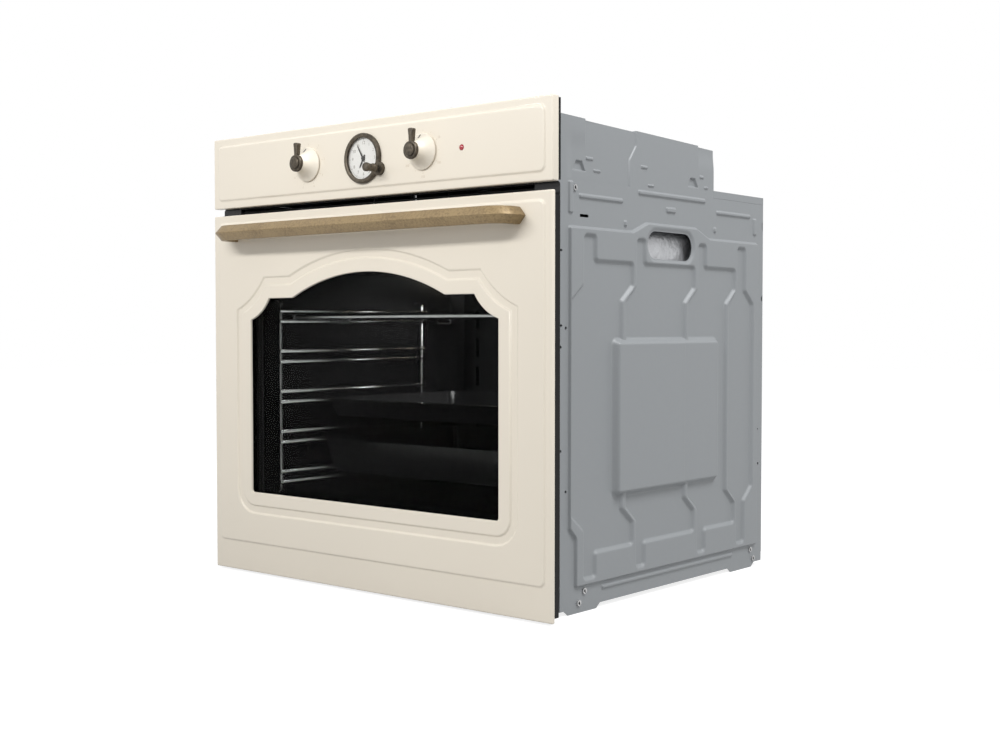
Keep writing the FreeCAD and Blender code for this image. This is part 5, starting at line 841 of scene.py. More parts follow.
@dataclass(frozen=True)
class SheetMetal(Finish):
    """Zinc-coated or bare rolled sheet, with spangle and rolling lines."""

    metallic: float = 0.8
    spangle: float = 0.06

    tones: Flat = (0.93, 1.06)
    flake_scale: float = 150.0
    line_stretch: Corner = (900.0, 900.0, 14.0)
    stain_scale: float = 7.0
    line_tone: float = 0.05
    stain_tone: float = 0.06
    contrast: float = 3.0
    wear: float = 0.1
    relief: Flat = (0.04, 0.0005)

    def material(self) -> Material:
        """Builds the material.

        Returns:
            The finished material.
        """
        shader = Shader(self.name)
        flakes = shader.cells(self.flake_scale, output="Color")
        lines = shader.grain(1.0, Detail.FINE, self.line_stretch)
        stains = shader.grain(self.stain_scale, Detail.FINE)
        tone = flakes * self.spangle + lines * self.line_tone + stains * self.stain_tone
        return shader.surface({
            "Base Color": self.toned(shader, tone * self.contrast), "Metallic": self.metallic,
            "Roughness": self.uneven((lines, self.wear), (stains, self.wear)),
            "Normal": shader.bump(lines + stains, *self.relief),
        })


@dataclass(frozen=True)
class Patina(Finish):
    """Cast metal with an aged, grained and mottled surface."""

    worn: Colour = (0.2, 0.14, 0.08)
    metallic: float = 0.75
    grain_scale: float = 420.0

    mottle_scale: float = 320.0
    cloud_scale: float = 28.0
    grain_tone: float = 0.35
    mottle_tone: float = 0.4
    cloud_tone: float = 0.25
    ramp: Flat = (0.38, 0.56)
    mottle_wear: float = 0.18
    grain_wear: float = 0.12
    relief: Flat = (0.12, 0.0004)

    def material(self) -> Material:
        """Builds the material.

        Returns:
            The finished material.
        """
        shader = Shader(self.name)
        grain = shader.grain(1.0, Detail.FINEST, (self.grain_scale,) * 3)
        mottle = shader.grain(self.mottle_scale, Detail.FINE)
        cloud = shader.grain(self.cloud_scale)
        blend = grain * self.grain_tone + mottle * self.mottle_tone + cloud * self.cloud_tone
        return shader.surface({
            "Base Color": shader.ramp(blend, self.ramp, self.worn, self.colour), "Metallic": self.metallic,
            "Roughness": self.uneven((mottle, self.mottle_wear), (grain, self.grain_wear)),
            "Normal": shader.bump(mottle + grain, *self.relief),
        })


@dataclass(frozen=True)
class Bright(Finish):
    """Polished or plated metal with faint drawing lines."""

    tones: Flat = (0.88, 1.08)
    line_scale: float = 700.0
    smear_scale: float = 40.0
    line_wear: float = 0.08
    smear_wear: float = 0.1
    relief: Flat = (0.03, 0.0002)

    def material(self) -> Material:
        """Builds the material.

        Returns:
            The finished material.
        """
        shader = Shader(self.name)
        lines = shader.grain(self.line_scale)
        smear = shader.grain(self.smear_scale)
        return shader.surface({
            "Base Color": self.toned(shader, smear), "Metallic": 1.0,
            "Roughness": self.uneven((lines, self.line_wear), (smear, self.smear_wear)),
            "Normal": shader.bump(lines, *self.relief),
        })


@dataclass(frozen=True)
class Moulded(Finish):
    """Moulded plastic, rubber or ceramic with a fine grained skin."""

    texture: float = 0.1
    coat: float = 0.0
    gloss: float = 0.5

    tones: Flat = (0.94, 1.06)
    skin_scale: float = 900.0
    skin_depth: float = 0.0003
    cloud_scale: float = 22.0
    skin_wear: float = 0.1
    cloud_wear: float = 0.06
    coat_roughness: float = 0.1

    def material(self) -> Material:
        """Builds the material.

        Returns:
            The finished material.
        """
        shader = Shader(self.name)
        skin = shader.grain(self.skin_scale, Detail.SMOOTH)
        cloud = shader.grain(self.cloud_scale)
        return shader.surface({
            "Base Color": self.toned(shader, cloud),
            "Roughness": self.uneven((skin, self.skin_wear), (cloud, self.cloud_wear)),
            "Coat Weight": self.coat, "Coat Roughness": self.coat_roughness,
            "Specular IOR Level": self.gloss, "Normal": shader.bump(skin, self.texture, self.skin_depth),
        })


@dataclass(frozen=True)
class Pane(Finish):
    """Clear or tinted glass that lets light straight through and mirrors at its face."""

    mirror: float = 0.012
    rim: float = 0.5

    haze_scale: float = 9.0
    haze: float = 0.03
    hazy: Colour = (0.93, 0.93, 0.93)
    white: Colour = (1.0, 1.0, 1.0)
    facing_blend: float = 0.5
    rim_power: float = 5.0

    def material(self) -> Material:
        """Builds the material.

        Returns:
            The finished material.
        """
        shader = Shader(self.name)
        haze = shader.grain(self.haze_scale, Detail.FINE)
        clear = shader.node("ShaderNodeBsdfTransparent", {"Color": self.colour})
        mirror = shader.node("ShaderNodeBsdfPrincipled", {
            "Base Color": shader.mix(haze, self.hazy, self.white), "Metallic": 1.0,
            "Roughness": haze * self.haze + self.roughness,
        })
        facing = shader.node("ShaderNodeLayerWeight", {"Blend": self.facing_blend}, "Facing")
        share = facing ** self.rim_power * self.rim + self.mirror
        return shader.finish(shader.node("ShaderNodeMixShader", {0: share, 1: clear, 2: mirror}))


@dataclass(frozen=True)
class Foil(Finish):
    """Crinkled metal foil."""

    tones: Flat = (0.8, 1.0)
    crease_scale: float = 95.0
    fold_scale: float = 180.0
    metallic: float = 0.45
    wear: float = 0.2
    crease_height: float = 0.7
    fold_height: float = 0.5
    relief: Flat = (0.5, 0.003)

    def material(self) -> Material:
        """Builds the material.

        Returns:
            The finished material.
        """
        shader = Shader(self.name)
        creases = shader.cells(self.crease_scale, "DISTANCE_TO_EDGE")
        folds = shader.grain(self.fold_scale, Detail.FINE)
        height = creases * self.crease_height + folds * self.fold_height
        return shader.surface({
            "Base Color": self.toned(shader, folds), "Metallic": self.metallic,
            "Roughness": self.uneven((folds, self.wear)), "Normal": shader.bump(height, *self.relief),
        })


@dataclass(frozen=True)
class Lamp(Finish):
    """Lit glass cap or signal lens."""

    glow: Colour = (1.0, 0.9, 0.75)
    strength: float = 1.0

    tones: Flat = (0.85, 1.1)
    rib_scale: float = 160.0
    coat: float = 0.5

    def material(self) -> Material:
        """Builds the material.

        Returns:
            The finished material.
        """
        shader = Shader(self.name)
        ribs = shader.grain(self.rib_scale, Detail.SMOOTH)
        return shader.surface({
            "Base Color": self.toned(shader, ribs), "Roughness": self.roughness,
            "Emission Color": self.glow, "Emission Strength": self.strength, "Coat Weight": self.coat,
        })


FINISHES: dict[str, Finish] = {finish.name: finish for finish in (
    Enamel("cream_enamel", (0.83, 0.764, 0.652), 0.34, coat=0.2, peel=0.03, gloss=0.4),
    Moulded("cream_plastic", (0.80, 0.74, 0.635), 0.4, texture=0.03, coat=0.1),
    SheetMetal("galvanised_sheet", (0.293, 0.309, 0.322), 0.5, metallic=0.08, spangle=0.03),
    Enamel("black_enamel", (0.011, 0.011, 0.0115), 0.22, coat=0.0, peel=0.004, gloss=0.4),
    Enamel("black_paint", (0.006, 0.006, 0.006), 0.5, coat=0.0, peel=0.05, gloss=0.15),
    Moulded("black_plastic", (0.012, 0.012, 0.013), 0.55, texture=0.1, gloss=0.2),
    Patina("aged_brass", (0.295, 0.212, 0.105), 0.42, worn=(0.19, 0.13, 0.062), metallic=0.35),
    Patina("dark_bronze", (0.098, 0.08, 0.057), 0.42, worn=(0.04, 0.032, 0.023), metallic=0.6,
           grain_scale=240.0),
    Pane("door_glass", (0.9, 0.905, 0.9), 0.01, mirror=0.0006, rim=0.3),
    Pane("clear_glass", (0.985, 0.985, 0.985), 0.01, mirror=0.008),
    Bright("chrome_wire", (0.72, 0.72, 0.73), 0.2),
    Moulded("dial_white", (0.85, 0.84, 0.80), 0.5, texture=0.05),
    Moulded("hand_black", (0.03, 0.027, 0.024), 0.45, texture=0.05),
    SheetMetal("heater_steel", (0.11, 0.10, 0.095), 0.5),
    SheetMetal("bare_steel", (0.5, 0.5, 0.5), 0.38, metallic=0.95, spangle=0.02),
    Moulded("porcelain", (0.75, 0.73, 0.68), 0.3, texture=0.03, coat=0.3),
    SheetMetal("motor_casing", (0.3, 0.3, 0.31), 0.45),
    Moulded("seal_rubber", (0.025, 0.025, 0.025), 0.7, texture=0.3),
    Foil("foil_wool", (0.6, 0.61, 0.63), 0.42),
    Lamp("red_lens", (0.3, 0.008, 0.02), 0.2, glow=(0.6, 0.01, 0.03), strength=0.12),
    Moulded("switch_plastic", (0.32, 0.30, 0.26), 0.5),
)}
SCALE_INK = Moulded("scale_ink", (0.62, 0.54, 0.42), 0.5, texture=0.02)
DIAL_INK = Moulded("dial_ink", (0.34, 0.32, 0.28), 0.5, texture=0.02)
LIT_LAMP = Lamp("lit_lamp", (0.9, 0.88, 0.82), 0.25, glow=(1.0, 0.88, 0.7), strength=18.0)


class Palette:
    """Materials by the record's slot, and the body of each node."""

    def __init__(self) -> None:
        """Builds every finish once."""
        record = frame["record"]
        self.materials = {slot: finish.material() for slot, finish in FINISHES.items()}
        self.slots = {part["node"]: part["material_slot"] for part in record["subparts"]}
        self.bodies = {
            node: body for body, nodes in record["behaviour"]["bodies"].items() for node in nodes
        }

    def stand_in(self, piece: Piece, *nodes: str) -> None:
        """Dresses a piece that takes the place of nodes.

        Args:
            piece: The new piece.
            nodes: The nodes that it stands for, the first of which gives its finish and body.
        """
        slot = self.slots[nodes[0]]
        piece.data.materials.clear()
        piece.data.materials.append(self.materials[slot])
        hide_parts(*nodes)
        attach(piece, self.bodies[nodes[0]])
        LOG.info("%s stands for %s", piece.name, ", ".join(nodes))

    def extra(self, piece: Piece, carrier: str, slot: str) -> None:
        """Lets an added piece ride with a node.

        Args:
            piece: The added piece, dressed already.
            carrier: The node that it sits on.
            slot: Not used.
        """
        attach(piece, self.bodies[carrier])
        LOG.info("%s sits on %s", piece.name, carrier)

    def dress(self, node: str) -> None:
        """Gives a carried-over node its finish.

        Args:
            node: The node's name.
        """
        shown = frame["nodes"][node]
        shown.data.materials.clear()
        shown.data.materials.append(self.materials[self.slots[node]])
        LOG.info("%s keeps its shape", node)


@dataclass
class Assembly:
    """A sub-assembly, with the edge radius in millimetres of each piece that keeps its CAD shape."""

    palette: Palette

    edges: ClassVar[dict[str, float]] = {}

    def refine(self) -> None:
        """Rounds and dresses the pieces that keep their CAD shape."""
        for node, bevel in self.edges.items():
            self.palette.stand_in(refined(node, bevel), node)


# Enamelled front
@dataclass
class PressedFront:
    """A folded front sheet with a raised field, in millimetres."""

    node: str
    bottom: float
    top: float
    half: float = 298.5
    side_margin: float = 9.5
    low_margin: float = 9.5
    field_radius: float = 9.0
    rise: float = 1.8
    slope: float = 3.0
    sheet: float = 1.0
    edge_radius: float = 1.6
    rear: float = 12.0
    support: float = 1.2
    fold: float = 0.6
    steps: int = 6

    def edge_corners(self) -> list[Corner]:
        """Outline of the folded sheet."""
        return block_corners(-self.half, self.half, self.bottom, self.top, self.edge_radius)

    def field_corners(self) -> list[Corner]:
        """Foot of the raised field."""
        half = self.half - self.side_margin
        return block_corners(-half, half, self.bottom + self.low_margin, self.top - self.side_margin,
                             self.field_radius)

    def rear_depth(self, place: Flat) -> float:
        """Depth of the fold's rear edge at a place on the outline."""
        return self.rear

    def ring(self, draft: Draft, corners: Sequence[Corner], inset: float, depth: float) -> list[int]:
        """Draws an outline at an inset and a depth."""
        return draft.upright(rounded(drawn_in(corners, inset)), depth)

    def field_rings(self, draft: Draft, shift: float) -> Rings:
        """Rings of the field's slope, from its flat to the border.

        Args:
            draft: The piece while it is drawn.
            shift: Depth behind the front face.

        Returns:
            The rings.
        """
        corners = self.field_corners()
        rings = [self.ring(draft, corners, self.slope + self.support, shift)]
        for i in range(self.steps + 1):
            share = i / self.steps
            depth = self.rise * float(smooth_step(share)) + shift
            rings.append(self.ring(draft, corners, self.slope * (1 - share), depth))
        rings.append(self.ring(draft, corners, -self.support, self.rise + shift))
        return rings

    def edge_rings(self, draft: Draft) -> Rings:
        """Rings of the folded edge, from the front border round to the back of the border.

        Args:
            draft: The piece while it is drawn.

        Returns:
            The rings.
        """
        corners = self.edge_corners()
        radius = self.edge_radius
        rings = [self.ring(draft, corners, radius + self.support, self.rise)]
        for i in range(self.steps + 1):
            turn = math.pi / 2 * i / self.steps
            rings.append(self.ring(
                draft, corners, radius * (1 - math.sin(turn)), self.rise + radius * (1 - math.cos(turn))
            ))
        for inset in (0.0, self.sheet):
            points = rounded(drawn_in(corners, inset))
            rings.append(draft.ring(spot(u, self.rear_depth((u, v)), v) for u, v in points))
        back = self.rise + self.sheet
        rings.append(self.ring(draft, corners, self.sheet, back + self.fold))
        rings.append(self.ring(draft, corners, self.sheet + self.fold, back))
        rings.append(self.ring(draft, corners, radius + self.support, back))
        return rings

    def middle(self, draft: Draft) -> tuple[Rings, Rings]:
        """Draws what lies inside the field's flat.

        Args:
            draft: The piece while it is drawn.

        Returns:
            Rings that bound the flat on the front, and the same on the back.
        """
        raise NotImplementedError

    def piece(self) -> Piece:
        """Builds the closed sheet.

        Returns:
            The sheet.
        """
        draft = Draft()
        feet = []
        for shift, holes in zip((0.0, self.sheet), self.middle(draft)):
            rings = self.field_rings(draft, shift)
            draft.fill(rings[0], holes)
            draft.skin(rings)
            feet.append(rings[-1])
        edge = self.edge_rings(draft)
        draft.skin(edge)
        for border, foot in zip((edge[0], edge[-1]), feet):
            draft.fill(border, [foot])
        return draft.piece(self.node + "_enamel", FRONT_ANGLE)


@dataclass
class ControlPanel(PressedFront):
    """Front of the controls, with round holes."""

    clock_hole: float = 27.1
    spindle_hole: float = 3.4
    lens_hole: float = 3.7
    winder_hole: float = 2.6
    winder: Flat = (28.96, -14.75)

    def holes(self) -> list[Corner]:
        """Places and radii of the holes, with heights from the line of the controls."""
        spindles = [(x, 0.0, self.spindle_hole) for x in (-KNOB_X, KNOB_X)]
        return [(0.0, 0.0, self.clock_hole), *spindles, (LENS_X, 0.0, self.lens_hole),
                (*self.winder, self.winder_hole)]

    def middle(self, draft: Draft) -> tuple[Rings, Rings]:
        """Draws the walls of the round holes.

        Args:
            draft: The piece while it is drawn.

        Returns:
            The holes' rims on the front and on the back.
        """
        fronts, backs = [], []
        for x, lift, radius in self.holes():
            rim = circle(x, CONTROL_Z + lift, radius)
            near = draft.upright(rim, 0.0)
            far = draft.upright(rim, self.sheet)
            draft.skin([near, far])
            fronts.append(near)
            backs.append(far)
        return fronts, backs


@dataclass
class DoorFront(PressedFront):
    """Front of the door, with its arched window and the groove round it."""

    window_half: float = 220.0
    window_bottom: float = 113.0
    shoulder: float = 348.0
    flat: float = 377.0
    flat_half: float = 183.0
    arch_half: float = 136.0
    apex: float = 408.0
    corner: float = 4.0
    cove: float = 64.0
    cove_growth: float = 2.0
    groove_inner: float = 16.5
    groove_outer: float = 30.0
    groove_depth: float = 2.0
    groove_slope: float = 3.0
    lip: float = 3.0
    lip_radius: float = 1.3
    hinge_x: float = 245.0
    notch_half: float = 2.1
    notch_ramp: float = 0.2
    notch_front: float = 3.8
    flat_run: float = 0.8
    lip_fold: float = 0.4
    lip_steps: int = 4
    corner_steps: int = 5
    cove_steps: int = 10
    arch_steps: int = 18

    def edge_corners(self) -> list[Corner]:
        """Outline of the folded sheet, with points where the hinge arms pass.

        Returns:
            The corners with their radius.
        """
        low_left, low_right, high_right, high_left = super().edge_corners()
        wide = self.notch_half + self.notch_ramp
        reach = (wide, self.notch_half, -self.notch_half, -wide)
        left = [(-self.hinge_x - step, self.bottom, 0.0) for step in reach]
        right = [(self.hinge_x - step, self.bottom, 0.0) for step in reach]
        return [low_left, *left, *right, low_right, high_right, high_left]

    def rear_depth(self, place: Flat) -> float:
        """Depth of the fold's rear edge, less where a hinge arm passes.

        Args:
            place: Point of the outline.

        Returns:
            The depth.
        """
        at_hinge = abs(abs(place[0]) - self.hinge_x) < self.notch_half + self.notch_ramp / 2
        at_foot = place[1] < self.bottom + 2 * self.sheet
        return self.notch_front if at_hinge and at_foot else self.rear

    def window(self, offset: float) -> list[Flat]:
        """Outline of the window.

        Args:
            offset: How far outside the window's edge it runs.

        Returns:
            The points, anticlockwise from the middle of the lower edge.
        """
        half = self.window_half + offset
        bottom = self.window_bottom - offset
        flat = self.flat + offset
        corner = self.corner + max(offset, 0.0)
        rise = self.apex - self.flat
        radius = (self.arch_half ** 2 + rise ** 2) / (2 * rise)
        arch_z = self.apex - radius
        arch_half = math.sqrt((radius + offset) ** 2 - (flat - arch_z) ** 2)
        corner_foot = Vector((self.window_half, self.shoulder))
        chord = Vector((self.flat_half, self.flat)) - corner_foot
        outward = Vector((chord.y, -chord.x)).normalized()
        base = corner_foot + outward * offset
        foot = base + chord * (half - base.x) / chord.x
        tip = base + chord * (flat - base.y) / chord.y
        cove = self.cove + self.cove_growth * offset
        centre = (foot + tip) / 2 + outward * math.sqrt(cove ** 2 - ((tip - foot).length / 2) ** 2)
        first = math.atan2(foot.y - centre.y, foot.x - centre.x)
        last = math.atan2(tip.y - centre.y, tip.x - centre.x)
        right = [(0.0, bottom)]
        right += arc(half - corner, bottom + corner, corner, -math.pi / 2, 0.0, self.corner_steps)
        right += arc(centre.x, centre.y, cove, first, last, self.cove_steps)
        start = math.atan2(flat - arch_z, arch_half)
        right += arc(0.0, arch_z, radius + offset, start, math.pi / 2, self.arch_steps)
        left = [(-u, v) for u, v in reversed(right[1:-1])]
        return right + left

    def profile(self) -> list[Flat]:
        """Offsets and depths of the front face, from the window's edge to past the groove.

        Returns:
            Pairs of offset and depth.
        """
        lip = self.lip_radius
        turns = [math.pi / 2 * i / self.lip_steps for i in range(self.lip_steps + 1)]
        face = [(0.0, self.lip)] + [(lip * (1 - math.cos(t)), lip * (1 - math.sin(t))) for t in turns]
        face += [(lip + self.flat_run, 0.0), (self.groove_inner - self.support, 0.0)]
        shares = [i / self.steps for i in range(self.steps + 1)]
        wall = [(self.groove_slope * s, self.groove_depth * float(smooth_step(s))) for s in shares]
        face += [(self.groove_inner + run, depth) for run, depth in wall]
        face.append((self.groove_inner + self.groove_slope + self.flat_run, self.groove_depth))
        face.append((self.groove_outer - self.groove_slope - self.flat_run, self.groove_depth))
        face += [(self.groove_outer - run, depth) for run, depth in reversed(wall)]
        face.append((self.groove_outer + self.support, 0.0))
        return face

    def rings(self, draft: Draft, profile: Sequence[Flat]) -> Rings:
        """Draws the window's outline at each offset and depth."""
        return [draft.upright(self.window(offset), depth) for offset, depth in profile]

    def middle(self, draft: Draft) -> tuple[Rings, Rings]:
        """Draws the window's edge and the groove.

        Args:
            draft: The piece while it is drawn.

        Returns:
            The groove's outer ring on the front and on the back.
        """
        face = self.profile()
        inner = self.sheet + self.lip_fold
        rear = [(self.sheet, self.lip), (self.sheet, inner), (inner, self.sheet)]
        rear += [(offset, depth + self.sheet) for offset, depth in face[self.lip_steps + 2:]]
        front, back = self.rings(draft, face), self.rings(draft, rear)
        draft.skin(front)
        draft.skin(back)
        draft.skin([front[0], back[0]])
        return [front[-1]], [back[-1]]


@dataclass
class BowHandle:
    """Handle of five-sided bar with two legs and one bow between them, in millimetres."""

    end_x: float = 252.5
    height: float = 465.0
    leg: float = 11.4
    bend: float = 24.0
    bow_angle: float = 1.0
    ridge: float = 8.4
    back: float = 7.0
    half: float = 10.0
    edge: float = 0.9
    edge_steps: int = 4
    bend_steps: int = 14
    bow_steps: int = 24

    def path(self) -> list[tuple[Vector, Vector]]:
        """Places along the bar with the direction that its ridge faces there.

        Returns:
            Pairs of place and direction, both as x and depth.
        """
        angle = math.radians(self.bow_angle)
        start = self.end_x - self.bend * (1 - math.sin(angle))
        depth = self.leg + self.bend * math.cos(angle)
        radius = start / math.sin(angle)
        end = [(Vector((-self.end_x, 0.0)), Vector((-1.0, 0.0)))]
        for i in range(self.bend_steps + 1):
            turn = (math.pi / 2 - angle) * i / self.bend_steps
            reach = self.end_x - self.bend * (1 - math.cos(turn))
            place = Vector((-reach, -self.leg - self.bend * math.sin(turn)))
            end.append((place, Vector((-math.cos(turn), -math.sin(turn)))))
        bow = []
        for i in range(1, self.bow_steps):
            turn = angle - 2 * angle * i / self.bow_steps
            place = Vector((-radius * math.sin(turn), -depth - radius * (math.cos(turn) - math.cos(angle))))
            bow.append((place, Vector((-math.sin(turn), -math.cos(turn)))))
        mirror = [(Vector((-p.x, p.y)), Vector((-d.x, d.y))) for p, d in reversed(end)]
        return end + bow + mirror

    def section(self) -> list[Flat]:
        """Five-sided section with rounded edges, as reach towards the ridge and height."""
        corners = [(self.ridge, 0.0), (0.0, self.half), (-self.back, self.half), (-self.back, -self.half),
                   (0.0, -self.half)]
        return rounded([(u, v, self.edge) for u, v in corners], self.edge_steps)

    def piece(self) -> Piece:
        """Builds the closed bar.

        Returns:
            The bar.
        """
        draft = Draft()
        rings = []
        for place, ridge in self.path():
            points = [(place + ridge * reach, lift) for reach, lift in self.section()]
            rings.append(draft.ring(spot(p.x, p.y, self.height + lift) for p, lift in points))
        draft.tube(rings)
        return draft.piece("handle_bow", FRONT_ANGLE)


# Controls
@dataclass
class Knob:
    """Cream cone with a bronze cap and lever, in millimetres."""

    name: str
    x: float
    z: float = CONTROL_Z
    base: float = 22.0
    neck: float = 10.8
    reach: float = 18.5
    gap: float = 0.5
    cap: float = 11.0
    cap_height: float = 4.5
    button: float = 7.5
    button_height: float = 1.8
    button_curve: tuple[Flat, ...] = ((1.6, 0.0), (0.5, 0.3), (0.0, 0.9))
    button_foot: tuple[Flat, ...] = ((0.0, 0.2), (-0.3, 0.0))
    cap_curve: tuple[Flat, ...] = ((1.2, 0.0), (0.35, 0.35), (0.0, 1.2))
    cap_chamfer: float = 0.6
    cap_sides: int = 64
    spindle: float = 3.0
    spindle_length: float = 53.0
    blade: tuple[Flat, ...] = ((8.0, 5.0), (13.0, 5.5), (20.0, 6.9), (24.4, 8.4), (25.6, 7.8), (26.0, 5.9))
    blade_depth: float = 7.0
    blade_setback: float = 0.5
    blade_corner: float = 1.4
    blade_steps: int = 4
    taper_start: float = 24.0
    taper: float = 0.18
    rim: float = 2.2
    rim_curve: tuple[Flat, ...] = ((0.05, 1.4), (0.1, 0.5), (0.6, 0.0))
    rim_wall: float = 2.5
    hollow_wall: float = 4.5
    hollow: float = 5.0
    hub: float = 5.5
    bore: float = 3.05
    skirt_sides: int = 96
    straight: float = 0.35
    flare: float = 2.6
    cone_steps: int = 16
    # Dark dash on the cone's top behind the lever: painted shade, standing for the lever's shadow
    dash: Flat = (0.62, 0.9)
    dash_width: float = 1.6
    dash_film: float = 0.12

    def cone(self, share: float) -> Flat:
        """Radius and depth of the cone at a share of its length.

        Args:
            share: From 0 at the tip to 1 at the rim.

        Returns:
            Radius and depth.
        """
        spread = self.straight * share + (1 - self.straight) * share ** self.flare
        depth = -self.gap - self.reach + (self.reach - self.rim) * share
        return self.neck + (self.base - self.neck) * spread, depth

    def index(self, ink: Material) -> Piece:
        """Builds the dark dash on top of the cone, a painted shadow of the lever where that shadow falls on
        the cone.

        Args:
            ink: The dash's finish.

        Returns:
            The dash.
        """
        draft = Draft()
        rings = []
        half = self.dash_width / 2
        for i in range(self.cone_steps + 1):
            first, last = self.dash
            radius, depth = self.cone(first + (last - first) * i / self.cone_steps)
            low, high = self.z + radius - half, self.z + radius + self.dash_film
            corners = ((-half, low), (half, low), (half, high), (-half, high))
            rings.append(draft.ring(spot(self.x + u, depth, v) for u, v in corners))
        draft.tube(rings)
        piece = draft.piece(self.name + "_index")
        piece.data.materials.append(ink)
        return piece

    def skirt(self) -> Piece:
        """Builds the cone, with a round rim and a hollow back.

        Returns:
            The cone.
        """
        rear = -self.gap
        tip = rear - self.reach
        outer = [self.cone(i / self.cone_steps) for i in range(self.cone_steps + 1)]
        rim = [(self.base - inset, rear - ahead) for inset, ahead in self.rim_curve]
        floor = rear - self.hollow
        hollow = [(self.base - self.rim_wall, rear), (self.base - self.hollow_wall, floor), (self.hub, floor),
                  (self.hub, rear), (self.bore, rear), (self.bore, tip)]
        profile = outer + rim + hollow
        return revolved(self.name + "_skirt_cone", profile + profile[:1], self.x, self.z, self.skirt_sides)

    def lever(self) -> Piece:
        """Builds the cap with its raised button, the lever and the spindle.

        Returns:
            The three as one mesh.
        """
        seat = -self.gap - self.reach
        face = seat - self.cap_height
        button = face - self.button_height
        end = seat + self.spindle_length
        turned = [(0.0, button)]
        turned += [(self.button - inset, button + drop) for inset, drop in self.button_curve]
        turned += [(self.button - inset, face + drop) for inset, drop in self.button_foot]
        turned += [(self.cap - inset, face + drop) for inset, drop in self.cap_curve]
        turned += [(self.cap, seat - self.cap_chamfer), (self.cap - self.cap_chamfer, seat),
                   (self.spindle, seat), (self.spindle, end), (0.0, end)]
        cap = revolved(self.name + "_cap", turned, self.x, self.z, self.cap_sides)
        draft = Draft()
        near = face + self.blade_setback
        rings = []
        for reach, wide in self.blade:
            edge = block_corners(-wide / 2, wide / 2, near, near + self.blade_depth, self.blade_corner)
            edge = rounded(drawn_in(edge, max(0.0, reach - self.taper_start) * self.taper), self.blade_steps)
            rings.append(draft.ring(spot(self.x + u, v, self.z + reach) for u, v in edge))
        draft.tube(rings)
        return merged(cap, draft.piece(self.name + "_blade"))


@dataclass(frozen=True)
class Numbers:
    """A ring of printed numbers, in millimetres and degrees from the right."""

    stem: str
    values: range
    radius: float
    height: float
    first: float
    step: float

    def piece(self, x: float, face: float, ink: Material) -> Piece:
        """Prints the numbers.

        Args:
            x: Middle of the ring.
            face: Depth of the printed face.
            ink: The numbers' finish.

        Returns:
            The numbers as one mesh.
        """
        printed = []
        for i, value in enumerate(self.values):
            turn = math.radians(self.first + self.step * i)
            place = spot(x + self.radius * math.cos(turn), face, CONTROL_Z + self.radius * math.sin(turn))
            printed.append(lettered(f"{self.stem}_{value}", str(value), place, self.height, ink))
        return merged(*printed)


@dataclass
class Controls(Assembly):
    """Knobs, clock and printed scales."""

    dome: tuple[Flat, ...] = (
        (0.0, -1.6), (1.5, -1.45), (2.6, -0.95), (3.25, -0.35), (3.5, 0.0), (3.5, 16.0), (0.0, 16.0)
    )
    dome_sides: int = 32
    dial_face: float = -0.04
    panel_face: float = -0.03
    minutes: Marks = Marks(radius=24.6, length=1.3, width=0.22, count=60, first=0.0, step=6.0)
    hours: Marks = Marks(radius=24.0, length=2.4, width=0.55, count=12, first=0.0, step=30.0)
    functions: Marks = Marks(radius=26.0, length=2.2, width=0.5, count=9, first=90.0, step=-40.0)
    heats: Marks = Marks(radius=25.6, length=1.8, width=0.4, count=11, first=90.0, step=-30.0)
    dial_numbers: Numbers = Numbers("dial_number", range(1, 13), 19.4, 5.6, first=60.0, step=-30.0)
    degrees: Numbers = Numbers("degrees", range(50, 300, 50), 30.2, 4.2, first=30.0, step=-60.0)
    positions: Numbers = Numbers("position", range(1, 9), 30.4, 4.2, first=50.0, step=-40.0)

    edges: ClassVar[dict[str, float]] = {
        "clock_bezel": 0.6, "winder_knob": 0.5, "winder_stem": 0.2, "minute_hand": 0.08,
        "hour_hand": 0.08, "clock_dial": 0.1, "clock_lens": 0.15,
    }

    def build(self) -> None:
        """Builds and dresses every control."""
        black = self.palette.materials["hand_black"]
        for name, x in (("function_knob", -KNOB_X), ("temperature_knob", KNOB_X)):
            knob = Knob(name, x)
            self.palette.stand_in(knob.skirt(), name + "_skirt")
            self.palette.stand_in(knob.lever(), name + "_lever")
            # Each cone gets a dark dash painted where the lever's shadow falls: a painted shadow
            self.palette.extra(knob.index(black), name + "_skirt", "hand_black")
        self.refine()
        dome = revolved("indicator_dome", self.dome, LENS_X, CONTROL_Z, self.dome_sides)
        self.palette.stand_in(dome, "indicator_lens")
        self.dial()
        self.scales()

    def dial(self) -> None:
        """Prints the clock's minute strokes and hours."""
        ink = DIAL_INK.material()
        face = spot(0.0, self.dial_face, CONTROL_Z)
        for name, marks in (("dial_minutes", self.minutes), ("dial_hours", self.hours)):
            self.palette.extra(marks.piece(name, face, ink), "clock_dial", "hand_black")
        self.palette.extra(self.dial_numbers.piece(0.0, self.dial_face, ink), "clock_dial", "hand_black")

    def scales(self) -> None:
        """Prints strokes and plain numbers round both knobs."""
        ink = SCALE_INK.material()
        for name, x, marks in (
            ("function_scale", -KNOB_X, self.functions), ("temperature_scale", KNOB_X, self.heats),
        ):
            ring = marks.piece(name, spot(x, self.panel_face, CONTROL_Z), ink)
            self.palette.extra(ring, "control_panel", "dark_bronze")
        for x, numbers in ((KNOB_X, self.degrees), (-KNOB_X, self.positions)):
            printed = numbers.piece(x, self.panel_face, ink)
            self.palette.extra(printed, "control_panel", "dark_bronze")


